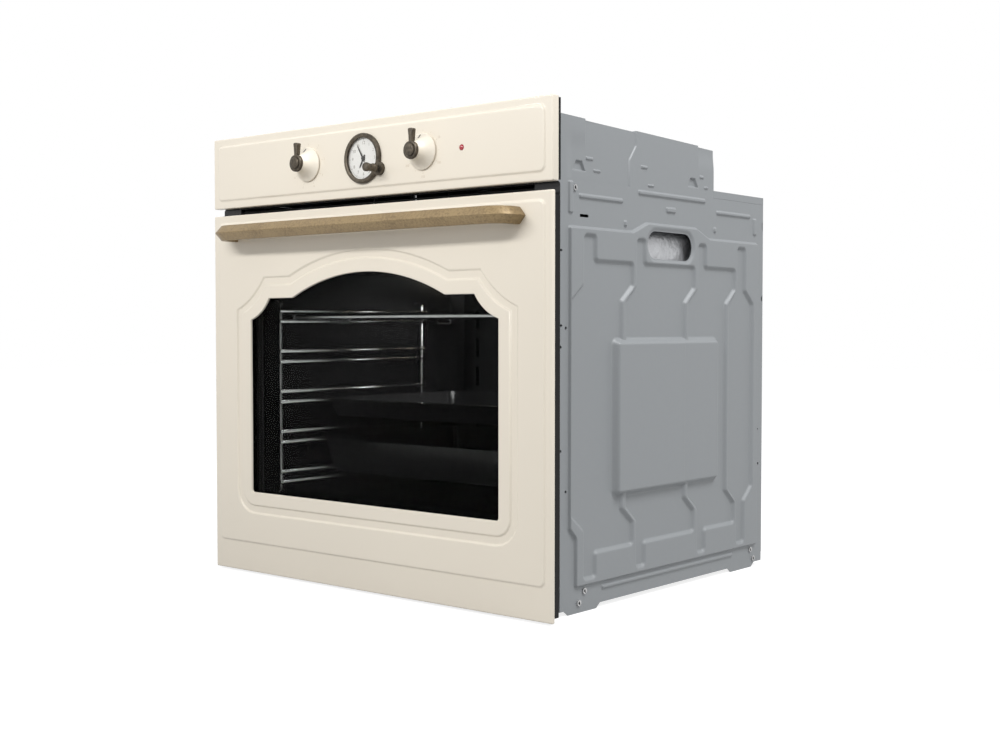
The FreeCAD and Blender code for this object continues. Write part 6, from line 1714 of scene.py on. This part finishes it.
# Casing
@dataclass(frozen=True)
class Emboss:
    """A pressed form: its outline, how far it stands out and how wide its wall is, in millimetres."""

    corners: tuple[Corner, ...]
    rise: float
    run: float
    lead: float = 0.0
    loops: int = 6

    guard: ClassVar[float] = 0.7

    def outline(self, inset: float = 0.0) -> np.ndarray:
        """Points of the outline, drawn in by a distance."""
        return np.array(rounded(drawn_in(self.corners, inset)))

    def guides(self) -> list[np.ndarray]:
        """Outlines along the wall, for the mesh to follow."""
        steps = [self.run * i / self.loops - self.lead for i in range(self.loops + 1)]
        ends = -self.lead - self.guard, self.run - self.lead + self.guard
        return [self.outline(inset) for inset in (ends[0], *steps, ends[1])]

    def share(self, points: np.ndarray) -> np.ndarray:
        """How far up the wall each point lies, from 0 to 1."""
        inside = signed_distance(points, self.outline())
        return smooth_step((inside + self.lead) / self.run)


@dataclass
class PressedSheet:
    """A side sheet with pressed forms. Depths behind the door's face and heights in millimetres."""

    face: float = CASE_FACE
    sheet: float = 1.0

    def edge(self) -> np.ndarray:
        """Outer edge of the sheet."""
        raise NotImplementedError

    def cuts(self) -> list[np.ndarray]:
        """Edges of the holes."""
        return []

    def loops(self) -> list[np.ndarray]:
        """Lines that the mesh follows, closed where they have over two points."""
        raise NotImplementedError

    def heights(self, points: np.ndarray) -> np.ndarray:
        """How far the sheet stands out of its plane at each point."""
        raise NotImplementedError

    def piece(self, name: str, side: Side) -> Piece:
        """Builds the sheet.

        Args:
            name: The piece's name.
            side: The side of the casing that it is on.

        Returns:
            The closed sheet.
        """
        rims = self.cuts()
        rows, edges = [], []
        for loop in [self.edge(), *rims, *self.loops()]:
            start = len(rows)
            rows += [Vector(place) for place in loop]
            closed = len(loop) if len(loop) > 2 else 1
            edges += [(start + i, start + (i + 1) % len(loop)) for i in range(closed)]
        made = delaunay_2d_cdt(rows, edges, [], 0, SHEET_WELD)
        spots = np.array([tuple(place) for place in made[0]])
        triangles = np.array([tuple(triangle) for triangle in made[2]])
        centres = spots[triangles].mean(axis=1)
        keep = signed_distance(centres, self.edge()) > 0
        for rim in rims:
            keep &= signed_distance(centres, rim) < 0
        triangles = triangles[keep]
        heights = self.heights(spots)
        draft = Draft()
        shells = []
        for inset in (0.0, self.sheet):
            shells.append(draft.ring(
                spot(side.value * (self.face + lift - inset), u, v) for (u, v), lift in zip(spots, heights)
            ))
        outer, inner = shells
        seen: dict[tuple[int, int], int] = {}
        for a, b, c in triangles:
            draft.faces.append((outer[a], outer[b], outer[c]))
            draft.faces.append((inner[c], inner[b], inner[a]))
            for pair in ((a, b), (b, c), (c, a)):
                key = (min(pair), max(pair))
                seen[key] = seen.get(key, 0) + 1
        for (a, b), count in seen.items():
            if count == 1:
                draft.faces.append((outer[a], outer[b], inner[b], inner[a]))
        return draft.piece(name, PRESSING_ANGLE)


@dataclass
class SidePanel(PressedSheet):
    """Deep-pressed side sheet with a handhold slot. Depths and heights in millimetres."""

    front: float = 18.7
    rear: float = 518.0
    bottom: float = 18.0
    top: float = 511.0
    notch_depth: float = 46.0
    notch_top: float = 72.0
    middle: float = 243.0
    corner: float = 5.0
    field_rise: float = 4.0
    slope: float = 3.5
    recess_wall: float = 6.0
    recess_guides: int = 8
    field_places: tuple[Flat, ...] = (
        (72.0, 30.0), (502.0, 30.0), (502.0, 457.0), (371.0, 457.0), (338.0, 469.5), (222.0, 469.5),
        (189.0, 457.0), (60.0, 457.0), (60.0, 101.0), (72.0, 89.0),
    )
    pad: Block = (147.0, 394.0, 130.0, 326.0)
    pad_rise: float = 9.0
    pad_slope: float = 9.0
    pad_guides: int = 9
    pad_step: float = 1.6
    pad_step_front: float = 301.0
    pad_step_run: float = 2.0
    pad_step_guard: float = 0.8
    pad_step_inset: float = 0.5
    pad_step_guides: int = 4
    recesses: tuple[tuple[float, ...], ...] = (
        (89.0, 112.0, 65.0, 166.0, 190.0),
        (199.0, 217.0, 176.0, 309.0, 332.0),
        (342.0, 360.0, 318.0, 413.0, 436.0),
    )
    bottle: Block = (443.0, 463.0, 421.0, 485.0)
    neck: float = 204.0
    tab: float = 174.0
    shoulder: float = 146.0
    waist: float = 127.0
    slot: Block = (224.0, 327.0, 424.0, 459.0)
    slot_flat: float = 0.5
    slot_lip: float = 6.0
    slot_dip: float = 2.4
    slot_steps: int = 10
    slot_guides: int = 6
    hole_steps: int = 16
    holes: tuple[Corner, ...] = (
        (57.0, 337.0, 1.8), (503.0, 337.0, 1.8), (47.0, 315.0, 1.8), (506.0, 194.0, 1.8), (47.0, 194.0, 1.8),
        (57.0, 146.0, 1.8), (508.0, 145.0, 1.8), (73.0, 501.0, 1.5), (93.0, 25.0, 1.5), (486.0, 25.0, 1.5),
    )
    beads: tuple[Block, ...] = (
        (81.0, 172.0, 488.5, 495.5), (390.0, 482.0, 488.5, 495.5), (128.0, 438.0, 21.0, 28.0),
        (204.0, 363.0, 501.5, 509.0), (60.0, 71.0, 470.0, 509.0), (489.0, 500.0, 466.0, 491.0),
        (267.0, 291.0, 483.5, 492.0), (173.0, 181.0, 460.5, 469.5), (383.0, 391.0, 464.0, 473.0),
    )
    bead_rise: float = 2.2
    bead_wall: float = 2.6
    bead_corner: float = 3.0
    slits: tuple[Block, ...] = (
        (84.0, 101.0, 467.5, 471.0), (36.0, 50.0, 425.6, 428.2), (36.0, 50.0, 338.6, 341.2),
    )
    slit_corner: float = 1.0
    slit_steps: int = 3
    notches: tuple[Flat, ...] = ((373.0, 384.0), (473.0, 487.0))
    notch_reach: float = 4.0

    def recess(self, sizes: Sequence[float]) -> list[Corner]:
        """Bottle-shaped outline, with a tab at its rear shoulders where one is given.

        Args:
            sizes: Depths of neck, waist and tab.

        Returns:
            The corners with their radius.
        """
        neck_front, neck_rear, waist_front, waist_rear = sizes[:4]
        if len(sizes) == 5:
            upper = [(neck_rear, self.neck), (neck_rear, self.tab), (sizes[4], self.tab),
                     (sizes[4], self.shoulder), (waist_rear, self.waist)]
        else:
            upper = [(neck_rear, self.neck), (neck_rear, self.shoulder), (waist_rear, self.waist)]
        front = [(waist_front, self.waist), (neck_front, self.shoulder), (neck_front, self.neck)]
        right = [(u, -v) for u, v in upper] + [(u, v) for u, v in reversed(upper)]
        left = list(reversed(front)) + [(u, -v) for u, v in front]
        return [(u, self.middle + v, self.corner) for u, v in right + left]

    def field(self) -> Emboss:
        """The large raised field with its crest over the slot and its low front foot."""
        corners = tuple((u, v, self.corner) for u, v in self.field_places)
        return Emboss(corners, self.field_rise, self.slope)

    def hollows(self) -> list[Emboss]:
        """The recesses in the field."""
        wall = self.recess_wall
        shapes = [tuple(self.recess(sizes)) for sizes in (*self.recesses, self.bottle)]
        return [Emboss(shape, self.field_rise, wall, wall / 2, self.recess_guides) for shape in shapes]

    def pads(self) -> list[Emboss]:
        """The middle pad and the beads.

        Returns:
            The forms, the pad first.
        """
        pad = tuple(block_corners(*self.pad, 2 * self.corner))
        forms = [Emboss(pad, self.pad_rise, self.pad_slope, loops=self.pad_guides)]
        for sizes in self.beads:
            corners = tuple(block_corners(*sizes, self.bead_corner))
            forms.append(Emboss(corners, self.bead_rise, self.bead_wall))
        return forms

    def slot_outline(self, grow: float) -> np.ndarray:
        """Edge of the handhold slot, grown by a distance."""
        corners = block_corners(*self.slot, (self.slot[3] - self.slot[2]) / 2 - self.slot_flat)
        return np.array(rounded(drawn_in(corners, -grow), self.slot_steps))

    def edge(self) -> np.ndarray:
        """Outer edge of the sheet.

        Returns:
            The points in order.
        """
        places = [(self.notch_depth, self.bottom), (self.rear, self.bottom)]
        for low, high in self.notches:
            near = self.rear - self.notch_reach
            places += [(self.rear, low), (near, low + self.notch_reach), (near, high - self.notch_reach),
                       (self.rear, high)]
        places += [(self.rear, self.top), (self.front, self.top), (self.front, self.notch_top),
                   (self.notch_depth, self.notch_top)]
        return np.array(places)

    def cuts(self) -> list[np.ndarray]:
        """Edges of the handhold slot, the round holes and the slits."""
        rims = [circle(*hole, self.hole_steps) for hole in self.holes]
        rims += [rounded(block_corners(*sizes, self.slit_corner), self.slit_steps) for sizes in self.slits]
        return [self.slot_outline(0.0), *(np.array(rim) for rim in rims)]

    def heights(self, points: np.ndarray) -> np.ndarray:
        """How far the sheet stands out of its plane at each point.

        Args:
            points: Rows of depth and height.

        Returns:
            One height a point.
        """
        ground = self.field()
        lift = ground.rise * ground.share(points)
        for hollow in self.hollows():
            lift *= 1.0 - hollow.share(points)
        for i, form in enumerate(self.pads()):
            height = form.rise * form.share(points)
            if i == 0:
                step = smooth_step((points[:, 0] - self.pad_step_front) / self.pad_step_run)
                height = height * (1.0 - step * self.pad_step / form.rise)
            lift = np.maximum(lift, height)
        away = -signed_distance(points, self.slot_outline(0.0))
        dip = 1.0 - smooth_step(away / self.slot_lip)
        return lift - self.slot_dip * dip

    def loops(self) -> list[np.ndarray]:
        """Every outline that the mesh follows.

        Returns:
            The outlines.
        """
        guides = self.field().guides()
        for form in self.hollows() + self.pads():
            guides += form.guides()
        low, high = self.pad[2] + self.pad_step_inset, self.pad[3] - self.pad_step_inset
        runs = [self.pad_step_run * i / self.pad_step_guides for i in range(self.pad_step_guides + 1)]
        for run in (-self.pad_step_guard, *runs, self.pad_step_run + self.pad_step_guard):
            u = self.pad_step_front + run
            guides.append(np.array([(u, low), (u, high)]))
        count = self.slot_guides
        return guides + [self.slot_outline(self.slot_lip * i / count) for i in range(1, count + 2)]


@dataclass
class HousingSide(PressedSheet):
    """Side of the upper housing, with creases that fade out downwards, gussets and small tabs."""

    front: float = 40.0
    rear: float = 384.0
    bottom: float = 511.0
    top: float = 584.5
    fall: float = 8.5
    step: float = 1.6
    wall: float = 3.0
    creases: tuple[float, float, float] = (94.0, 199.0, 344.0)
    bend_high: float = 562.0
    bend_low: float = 543.0
    crease_foot: float = 184.5
    fade_high: float = 570.0
    fade_low: float = 546.0
    level_front: float = 56.0
    level_run: float = 16.0
    gussets: Flat = (84.0, 332.0)
    gusset_foot: float = 521.0
    gusset_height: float = 13.0
    gusset_half: float = 14.0
    gusset_top: float = 6.0
    gusset_depth: float = 3.0
    gusset_wall: float = 2.4
    tabs: tuple[Block, ...] = (
        (97.0, 112.0, 535.0, 539.6), (112.0, 127.0, 522.0, 526.0), (210.0, 225.0, 535.0, 539.6),
        (226.0, 240.0, 513.6, 517.4), (348.0, 358.0, 534.0, 538.6), (359.0, 369.0, 521.0, 525.0),
    )
    tab_rise: float = 1.5
    tab_wall: float = 1.5
    tab_guides: int = 3
    wall_guides: int = 6
    fade_guides: int = 8
    corner_steps: int = 3

    def roof(self) -> list[Flat]:
        """Depths and heights along the stepped roof, from the front.

        Returns:
            The points in order.
        """
        places = [(self.front, 0.0)]
        lowered = 0.0
        for crease in self.creases:
            places.append((crease, lowered))
            lowered = self.step - lowered
            places.append((crease + self.step, lowered))
        places.append((self.rear, lowered))
        slope = self.fall / (self.rear - self.front)
        return [(depth, self.top - slope * (depth - self.front) - drop) for depth, drop in places]

    def edge(self) -> np.ndarray:
        """Outer edge of the sheet."""
        return np.array([(self.front, self.bottom), (self.rear, self.bottom), *reversed(self.roof())])

    def dents(self) -> list[Emboss]:
        """The gussets, pressed inwards.

        Returns:
            The forms.
        """
        forms = []
        for depth in self.gussets:
            low, high = self.gusset_foot, self.gusset_foot + self.gusset_height
            places = ((depth - self.gusset_half, low), (depth + self.gusset_half, low),
                      (depth + self.gusset_top, high), (depth - self.gusset_top, high))
            corners = tuple((u, v, self.gusset_wall / 2) for u, v in places)
            forms.append(Emboss(corners, -self.gusset_depth, self.gusset_wall))
        return forms

    def bumps(self) -> list[Emboss]:
        """The small tabs, pressed outwards."""
        shapes = [tuple(block_corners(*sizes, self.tab_wall)) for sizes in self.tabs]
        return [Emboss(shape, self.tab_rise, self.tab_wall, loops=self.tab_guides) for shape in shapes]

    def heights(self, points: np.ndarray) -> np.ndarray:
        """How far the sheet stands out of its plane at each point.

        Args:
            points: Rows of depth and height.

        Returns:
            One height a point.
        """
        depth, z = points[:, 0], points[:, 1]
        first, second, last = self.creases
        slant = np.interp(z, [self.bend_low, self.bend_high], [self.crease_foot, second])
        before = 1.0 - smooth_step((depth - slant) / self.wall)
        low = smooth_step((self.fade_high - z) / (self.fade_high - self.fade_low))
        ahead = np.maximum(smooth_step((depth - first) / self.wall), low)
        ahead = ahead * smooth_step((depth - self.level_front) / self.level_run)
        behind = smooth_step((depth - last) / self.wall) * (1.0 - low)
        lift = -self.step * (before * ahead + behind)
        for form in self.dents() + self.bumps():
            lift = lift + form.rise * form.share(points)
        return lift

    def loops(self) -> list[np.ndarray]:
        """Lines along the creases, the fading walls and round the pressed forms.

        Returns:
            The lines.
        """
        lines = []
        first, second, last = self.creases
        shares = [i / self.wall_guides for i in range(-1, self.wall_guides + 2)]
        for share in shares:
            run = self.wall * share
            high, low = second + run, self.crease_foot + run
            bend = [(high, self.top), (high, self.bend_high), (low, self.bend_low), (low, self.bottom)]
            lines += [np.array(pair) for pair in zip(bend, bend[1:])]
            for u in (first + run, last + run):
                lines.append(np.array([(u, self.fade_low), (u, self.top)]))
        for share in shares:
            depth = self.level_front + self.level_run * share
            lines.append(np.array([(depth, self.bottom), (depth, self.top)]))
        for i in range(self.fade_guides + 1):
            z = self.fade_low + (self.fade_high - self.fade_low) * i / self.fade_guides
            lines.append(np.array([(self.front, z), (self.rear, z)]))
        for form in self.dents() + self.bumps():
            lines += form.guides()
        return lines

    def hood(self, name: str) -> Piece:
        """Builds both sides with the roof and the rear wall between them.

        Args:
            name: Stem of the pieces' names.

        Returns:
            All of it as one mesh.
        """
        draft = Draft()
        rings = []
        for depth, z in self.roof():
            half = self.face - self.sheet / 2 + float(self.heights(np.array([(depth, z)]))[0])
            corners = ((-half, z - self.sheet), (half, z - self.sheet), (half, z), (-half, z))
            rings.append(draft.upright(corners, depth))
        draft.tube(rings)
        roof = draft.piece(name + "_roof")
        wall = Draft()
        half, top = self.face - self.step - self.sheet, self.roof()[-1][1] - self.sheet / 2
        corners = rounded(block_corners(-half, half, self.bottom, top, self.step), self.corner_steps)
        depths = (self.rear, self.rear - self.sheet)
        wall.tube([wall.upright(corners, depth) for depth in depths])
        sides = [self.piece(f"{name}_{side.value}", side) for side in Side]
        return merged(*sides, roof, wall.piece(name + "_rear"))


@dataclass(frozen=True)
class CasingScrews:
    """Cross-recess screws through both sides of the casing, in millimetres."""

    places: tuple[Flat, ...] = ((73.0, 501.0), (93.0, 25.0), (486.0, 25.0), (82.0, 12.0), (494.0, 12.0))
    face: float = CASE_FACE
    radius: float = 3.6
    height: float = 2.0
    shank: float = 1.5
    length: float = 9.0
    cross: float = 4.2
    cross_width: float = 0.9
    cross_depth: float = 1.2
    head_sides: int = 24
    shank_sides: int = 12

    def piece(self, name: str, material: Material) -> Piece:
        """Builds every screw.

        Args:
            name: The piece's name.
            material: The screws' finish.

        Returns:
            The screws as one mesh.
        """
        middle = self.face + self.height / 2
        ends = [side.value * middle for side in (Side.LEFT, Side.RIGHT)]
        repeat = Repeat(name, [spot(x, u, v) for x in ends for u, v in self.places])
        head = repeat.node("GeometryNodeMeshCylinder", {
            "Vertices": self.head_sides, "Radius": repeat.size("Head radius", self.radius * MM),
            "Depth": repeat.size("Head height", self.height * MM),
        })
        long, wide = repeat.size("Cross", self.cross * MM), repeat.size("Cross width", self.cross_width * MM)
        deep = repeat.size("Cross depth", 2 * self.cross_depth * MM)
        bars = []
        for x, y in ((long, wide), (wide, long)):
            size = repeat.node("ShaderNodeCombineXYZ", {"X": x, "Y": y, "Z": deep})
            bars.append(repeat.node("GeometryNodeMeshCube", {"Size": size}))
        top = Vector((0.0, 0.0, self.height * MM / 2))
        raised = repeat.node("GeometryNodeTransform", {"Geometry": repeat.join(*bars), "Translation": top})
        cut = repeat.node(
            "GeometryNodeMeshBoolean", {"Mesh 1": head, "Mesh 2": raised}, operation="DIFFERENCE"
        )
        rod = repeat.node("GeometryNodeMeshCylinder", {
            "Vertices": self.shank_sides, "Radius": repeat.size("Shank radius", self.shank * MM),
            "Depth": repeat.size("Shank length", self.length * MM),
        })
        under = Vector((0.0, 0.0, -(self.height + self.length) * MM / 2))
        shank = repeat.node("GeometryNodeTransform", {"Geometry": rod, "Translation": under})
        across = repeat.node("ShaderNodeSeparateXYZ", {0: repeat.node("GeometryNodeInputPosition", {})})
        facing = repeat.node("ShaderNodeCombineXYZ", {"Y": repeat.maths("SIGN", across) * (math.pi / 2)})
        places, screw = repeat.inputs.outputs["Places"], repeat.join(cut, shank)
        return repeat.piece(name, {"Points": places, "Instance": screw, "Rotation": facing}, material)


@dataclass(frozen=True)
class Blanket:
    """Foil-faced wrap round the cavity, crinkled inwards from its outer size, in millimetres."""

    outside: Block = (-266.0, 266.0, 62.0, 466.0)
    corner: float = 16.0
    hole: Block = (-227.6, 227.6, 76.0, 433.6)
    hole_corner: float = 14.0
    corner_steps: int = 6
    run: float = 6.0
    front: float = 54.0
    length: float = 386.0
    rows: int = 76
    wave: Corner = (21.0, 17.0, 19.0)
    ripple: Corner = (7.0, 6.0, 7.0)
    ripple_shift: float = 40.0
    wave_pull: float = 0.006
    ripple_pull: float = 0.003
    rest_pull: float = 0.9

    def pull(self, place: Corner) -> float:
        """Share of its outer size that the wrap keeps at a place.

        Args:
            place: Right, depth and height.

        Returns:
            The share.
        """
        u, depth, v = (value / size for value, size in zip(place, self.wave))
        wave = noise.noise(Vector((u, depth, v)))
        u, depth, v = (value / size for value, size in zip(place, self.ripple))
        ripple = noise.noise(Vector((u, depth, v + self.ripple_shift)))
        pulled = self.wave_pull * (self.rest_pull + wave)
        return 1.0 - pulled - self.ripple_pull * (self.rest_pull + ripple)

    def piece(self, name: str) -> Piece:
        """Builds the closed wrap.

        Args:
            name: The piece's name.

        Returns:
            The wrap.
        """
        hole = rounded(block_corners(*self.hole, self.hole_corner), self.corner_steps)
        outer = evened(rounded(block_corners(*self.outside, self.corner), self.corner_steps), self.run)
        middle = (self.outside[2] + self.outside[3]) / 2
        draft = Draft()
        depths = [self.front + self.length * i / self.rows for i in range(self.rows + 1)]
        rings = []
        for depth in depths:
            pulls = [self.pull((u, depth, v)) for u, v in outer]
            rings.append(draft.ring(
                spot(u * pull, depth, middle + (v - middle) * pull) for (u, v), pull in zip(outer, pulls)
            ))
        draft.skin(rings)
        walls = [draft.upright(hole, depth) for depth in (depths[0], depths[-1])]
        draft.skin(walls)
        for ring, wall in zip((rings[0], rings[-1]), walls):
            draft.fill(ring, [wall])
        return draft.piece(name, FOIL_ANGLE)


@dataclass
class Casing(Assembly):
    """Side sheets, hood, covers, base, screws and wrap."""

    edges: ClassVar[dict[str, float]] = {
        "top_cover": 0.7, "base_pan": 0.6, "rear_panel": 0.4, "terminal_box": 1.2,
        "panel_bracket": 0.4, "air_outlet_trim": 0.3, "front_frame": 0.4,
    }

    def build(self) -> None:
        """Builds and dresses the casing."""
        panel = SidePanel()
        for node, side in (("side_panel_right", Side.RIGHT), ("side_panel_left", Side.LEFT)):
            self.palette.stand_in(panel.piece(node + "_pressing", side), node)
        self.palette.stand_in(HousingSide().hood("upper_housing_pressing"), "upper_housing")
        steel = self.palette.materials["bare_steel"]
        self.palette.stand_in(CasingScrews().piece("casing_screw_set", steel), "casing_screws")
        self.refine()
        self.palette.stand_in(Blanket().piece("insulation_foil"), "insulation_blanket")


# Door and cavity
@dataclass
class Door(Assembly):
    """Front sheet, glasses, profiles, hinges and handle."""

    screw_edge: float = 0.3

    edges: ClassVar[dict[str, float]] = {
        "door_outer_glass": 0.5, "door_inner_glass": 0.5, "door_side_profile_right": 0.3,
        "door_side_profile_left": 0.3, "door_top_rail": 0.3, "door_bottom_rail": 0.3,
        "hinge_housings": 0.3, "hinge_pins": 0.4, "hinge_arms": 0.4,
    }

    def screws(self, handle: BowHandle) -> Piece:
        """Copies the handle's screws to where its legs stand.

        Args:
            handle: The handle that they hold.

        Returns:
            The screws.
        """
        piece = refined("handle_screws", self.screw_edge)
        low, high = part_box("handle_screws")
        inward = high[0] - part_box("handle")[1][0] + (handle.end_x + handle.ridge) * MM
        middle = (low[0] + high[0]) / 2
        lift = handle.height * MM - (low[2] + high[2]) / 2
        for vertex in piece.data.vertices:
            side = math.copysign(1.0, vertex.co.x - middle)
            vertex.co.x += side * (inward - high[0])
            vertex.co.z += lift
        return piece

    def build(self) -> None:
        """Builds and dresses the door."""
        front = DoorFront("door_front_sheet", bottom=3.0, top=492.0, low_margin=39.0, rear=5.8)
        self.palette.stand_in(front.piece(), "door_front_sheet")
        handle = BowHandle()
        self.palette.stand_in(handle.piece(), "handle")
        self.palette.stand_in(self.screws(handle), "handle_screws")
        self.refine()


@dataclass
class Cavity(Assembly):
    """Enamelled box with its racks, trays, heaters and fan."""

    stops: tuple[Flat, ...] = ((128.0, 170.0), (352.0, 390.0))
    stop_drop: float = 7.0
    stop_slant: float = 6.0
    stop_wire: float = 1.5
    stop_inset: float = 6.0
    inner: tuple[str, ...] = (
        "fan_motor", "lamp_holder", "cooling_deck", "blower_housing", "blower_motor", "blower_rotor",
        "function_switch", "thermostat", "clock_module",
    )

    edges: ClassVar[dict[str, float]] = {
        "cavity_shell": 0.5, "fan_cover": 0.5, "door_seal": 0.6, "side_rack_right": 0.0,
        "side_rack_left": 0.0, "wire_shelf": 0.0, "baking_tray": 0.5, "deep_tray": 0.5,
        "grill_heater": 0.0, "ring_heater": 0.0, "bottom_heater": 0.0, "convection_fan": 0.3,
        "thermostat_probe": 0.0, "lamp_lens": 0.2,
    }

    def build(self) -> None:
        """Builds and dresses the cavity, and dresses the pieces that stay inside."""
        self.refine()
        self.palette.extra(self.shelf_stops(), "wire_shelf", self.palette.slots["wire_shelf"])
        lens = bpy.data.objects["lamp_lens_form"]
        lens.data.materials[0] = LIT_LAMP.material()
        for node in self.inner:
            self.palette.dress(node)

    def shelf_stops(self) -> Piece:
        """Builds the wire loops that hang under both sides of the shelf.

        Returns:
            The loops as one mesh.
        """
        low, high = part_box("wire_shelf")
        z = low[2] / MM + self.stop_wire
        loops = []
        for side in (Side.LEFT, Side.RIGHT):
            x = side.value * (high[0] / MM - self.stop_inset)
            for near, far in self.stops:
                dip = z - self.stop_drop
                route = ((near, z), (near + self.stop_slant, dip), (far - self.stop_slant, dip), (far, z))
                corners = [spot(x, depth, height) for depth, height in route]
                loops.append(wire("stop", corners, self.stop_wire))
        piece = merged(*loops)
        piece.name = "shelf_stops"
        piece.data.materials.clear()
        piece.data.materials.append(self.palette.materials[self.palette.slots["wire_shelf"]])
        return piece


# Camera, light and floor
@dataclass(frozen=True)
class SoftLamp:
    """A rectangular lamp, placed in millimetres as in spot, with sides in metres and power in watts."""

    name: str
    place: Corner
    target: Corner
    width: float
    height: float
    power: float

    def build(self) -> None:
        """Places the lamp."""
        data = bpy.data.lights.new(self.name, "AREA")
        data.shape = "RECTANGLE"
        data.size = self.width
        data.size_y = self.height
        data.energy = self.power
        lamp = bpy.data.objects.new(self.name, data)
        lamp.location = spot(*self.place)
        lamp.visible_camera = False
        aim = spot(*self.target) - lamp.location
        lamp.rotation_euler = aim.to_track_quat("-Z", "Y").to_euler()
        bpy.context.scene.collection.objects.link(lamp)


@dataclass
class Studio:
    """Pale floor, white surroundings and soft lamps round the camera of the photograph."""

    camera_place: Corner = (1229.0, -1201.2, 337.16)
    azimuth: float = 39.945
    fall: float = 1.983
    lens: float = 48.88
    sensor: float = 36.0
    far: float = 100.0
    ambient: float = 0.56
    floor_half: float = 9.0
    floor_grey: float = 0.34
    floor_glow: float = 0.82
    white: Colour = (1.0, 1.0, 1.0)
    lamps: tuple[SoftLamp, ...] = (
        SoftLamp("key_lamp", (0.0, -900.0, 915.0), (0.0, 0.0, 330.0), 1.0, 0.12, 7.2),
        SoftLamp("side_lamp", (1700.0, 250.0, 2500.0), (275.0, 250.0, 300.0), 1.0, 1.0, 54.0),
        SoftLamp("cavity_lamp", (100.0, 260.0, 392.0), (30.0, 440.0, 230.0), 0.2, 0.2, 1.8),
    )

    def build(self) -> None:
        """Places camera, world, floor and lamps."""
        bpy.context.scene.view_settings.view_transform = "Standard"
        self.camera()
        self.world()
        self.floor()
        for lamp in self.lamps:
            lamp.build()

    def camera(self) -> None:
        """Places the camera."""
        data = bpy.data.cameras.new("camera")
        data.sensor_fit = "HORIZONTAL"
        data.sensor_width = self.sensor
        data.lens = self.lens
        data.clip_end = self.far
        camera = bpy.data.objects.new("camera", data)
        camera.location = spot(*self.camera_place)
        camera.rotation_euler = (math.radians(90 - self.fall), 0.0, math.radians(self.azimuth))
        bpy.context.scene.collection.objects.link(camera)
        bpy.context.scene.camera = camera

    def seen(self, tree: NodeTree) -> Wire:
        """Output that is 1 for rays that show the surroundings, straight, mirrored or through glass.

        Args:
            tree: The tree that needs it.

        Returns:
            The output.
        """
        rays = tree.add("ShaderNodeLightPath", {}).outputs
        total = Wire(tree, rays["Is Camera Ray"])
        for name in ("Is Glossy Ray", "Is Transmission Ray"):
            total = tree.maths("MAXIMUM", total, rays[name])
        return total

    def world(self) -> None:
        """White surroundings that light the oven softly."""
        world = bpy.data.worlds.new("surroundings")
        bpy.context.scene.world = world
        world.use_nodes = True
        world.node_tree.nodes.clear()
        tree = NodeTree(world.node_tree)
        shown = tree.node("ShaderNodeMapRange", {"Value": self.seen(tree), "To Min": self.ambient})
        ground = tree.node("ShaderNodeBackground", {"Color": self.white, "Strength": shown})
        tree.add("ShaderNodeOutputWorld", {"Surface": ground})

    def floor(self) -> None:
        """Pale floor that keeps the oven's shadow and is white elsewhere."""
        half = self.floor_half
        mesh = bpy.data.meshes.new("floor")
        mesh.from_pydata([(-half, -half, 0), (half, -half, 0), (half, half, 0), (-half, half, 0)], [],
                         [(0, 1, 2, 3)])
        floor = bpy.data.objects.new("floor", mesh)
        bpy.context.scene.collection.objects.link(floor)
        shader = Shader("floor_white")
        lit = shader.node("ShaderNodeBsdfDiffuse", {"Color": (self.floor_grey,) * 3})
        strength = self.seen(shader) * self.floor_glow
        glow = shader.node("ShaderNodeEmission", {"Color": self.white, "Strength": strength})
        mesh.materials.append(shader.finish(shader.node("ShaderNodeAddShader", {0: lit, 1: glow})))


def main() -> None:
    """Builds the oven's sub-assemblies in order."""
    logging.basicConfig(level=logging.INFO, format="%(message)s")
    palette = Palette()
    Door(palette).build()
    palette.stand_in(ControlPanel("control_panel", bottom=502.0, top=598.0).piece(), "control_panel")
    Controls(palette).build()
    Casing(palette).build()
    Cavity(palette).build()
    Studio().build()


if __name__ == "__main__":
    main()
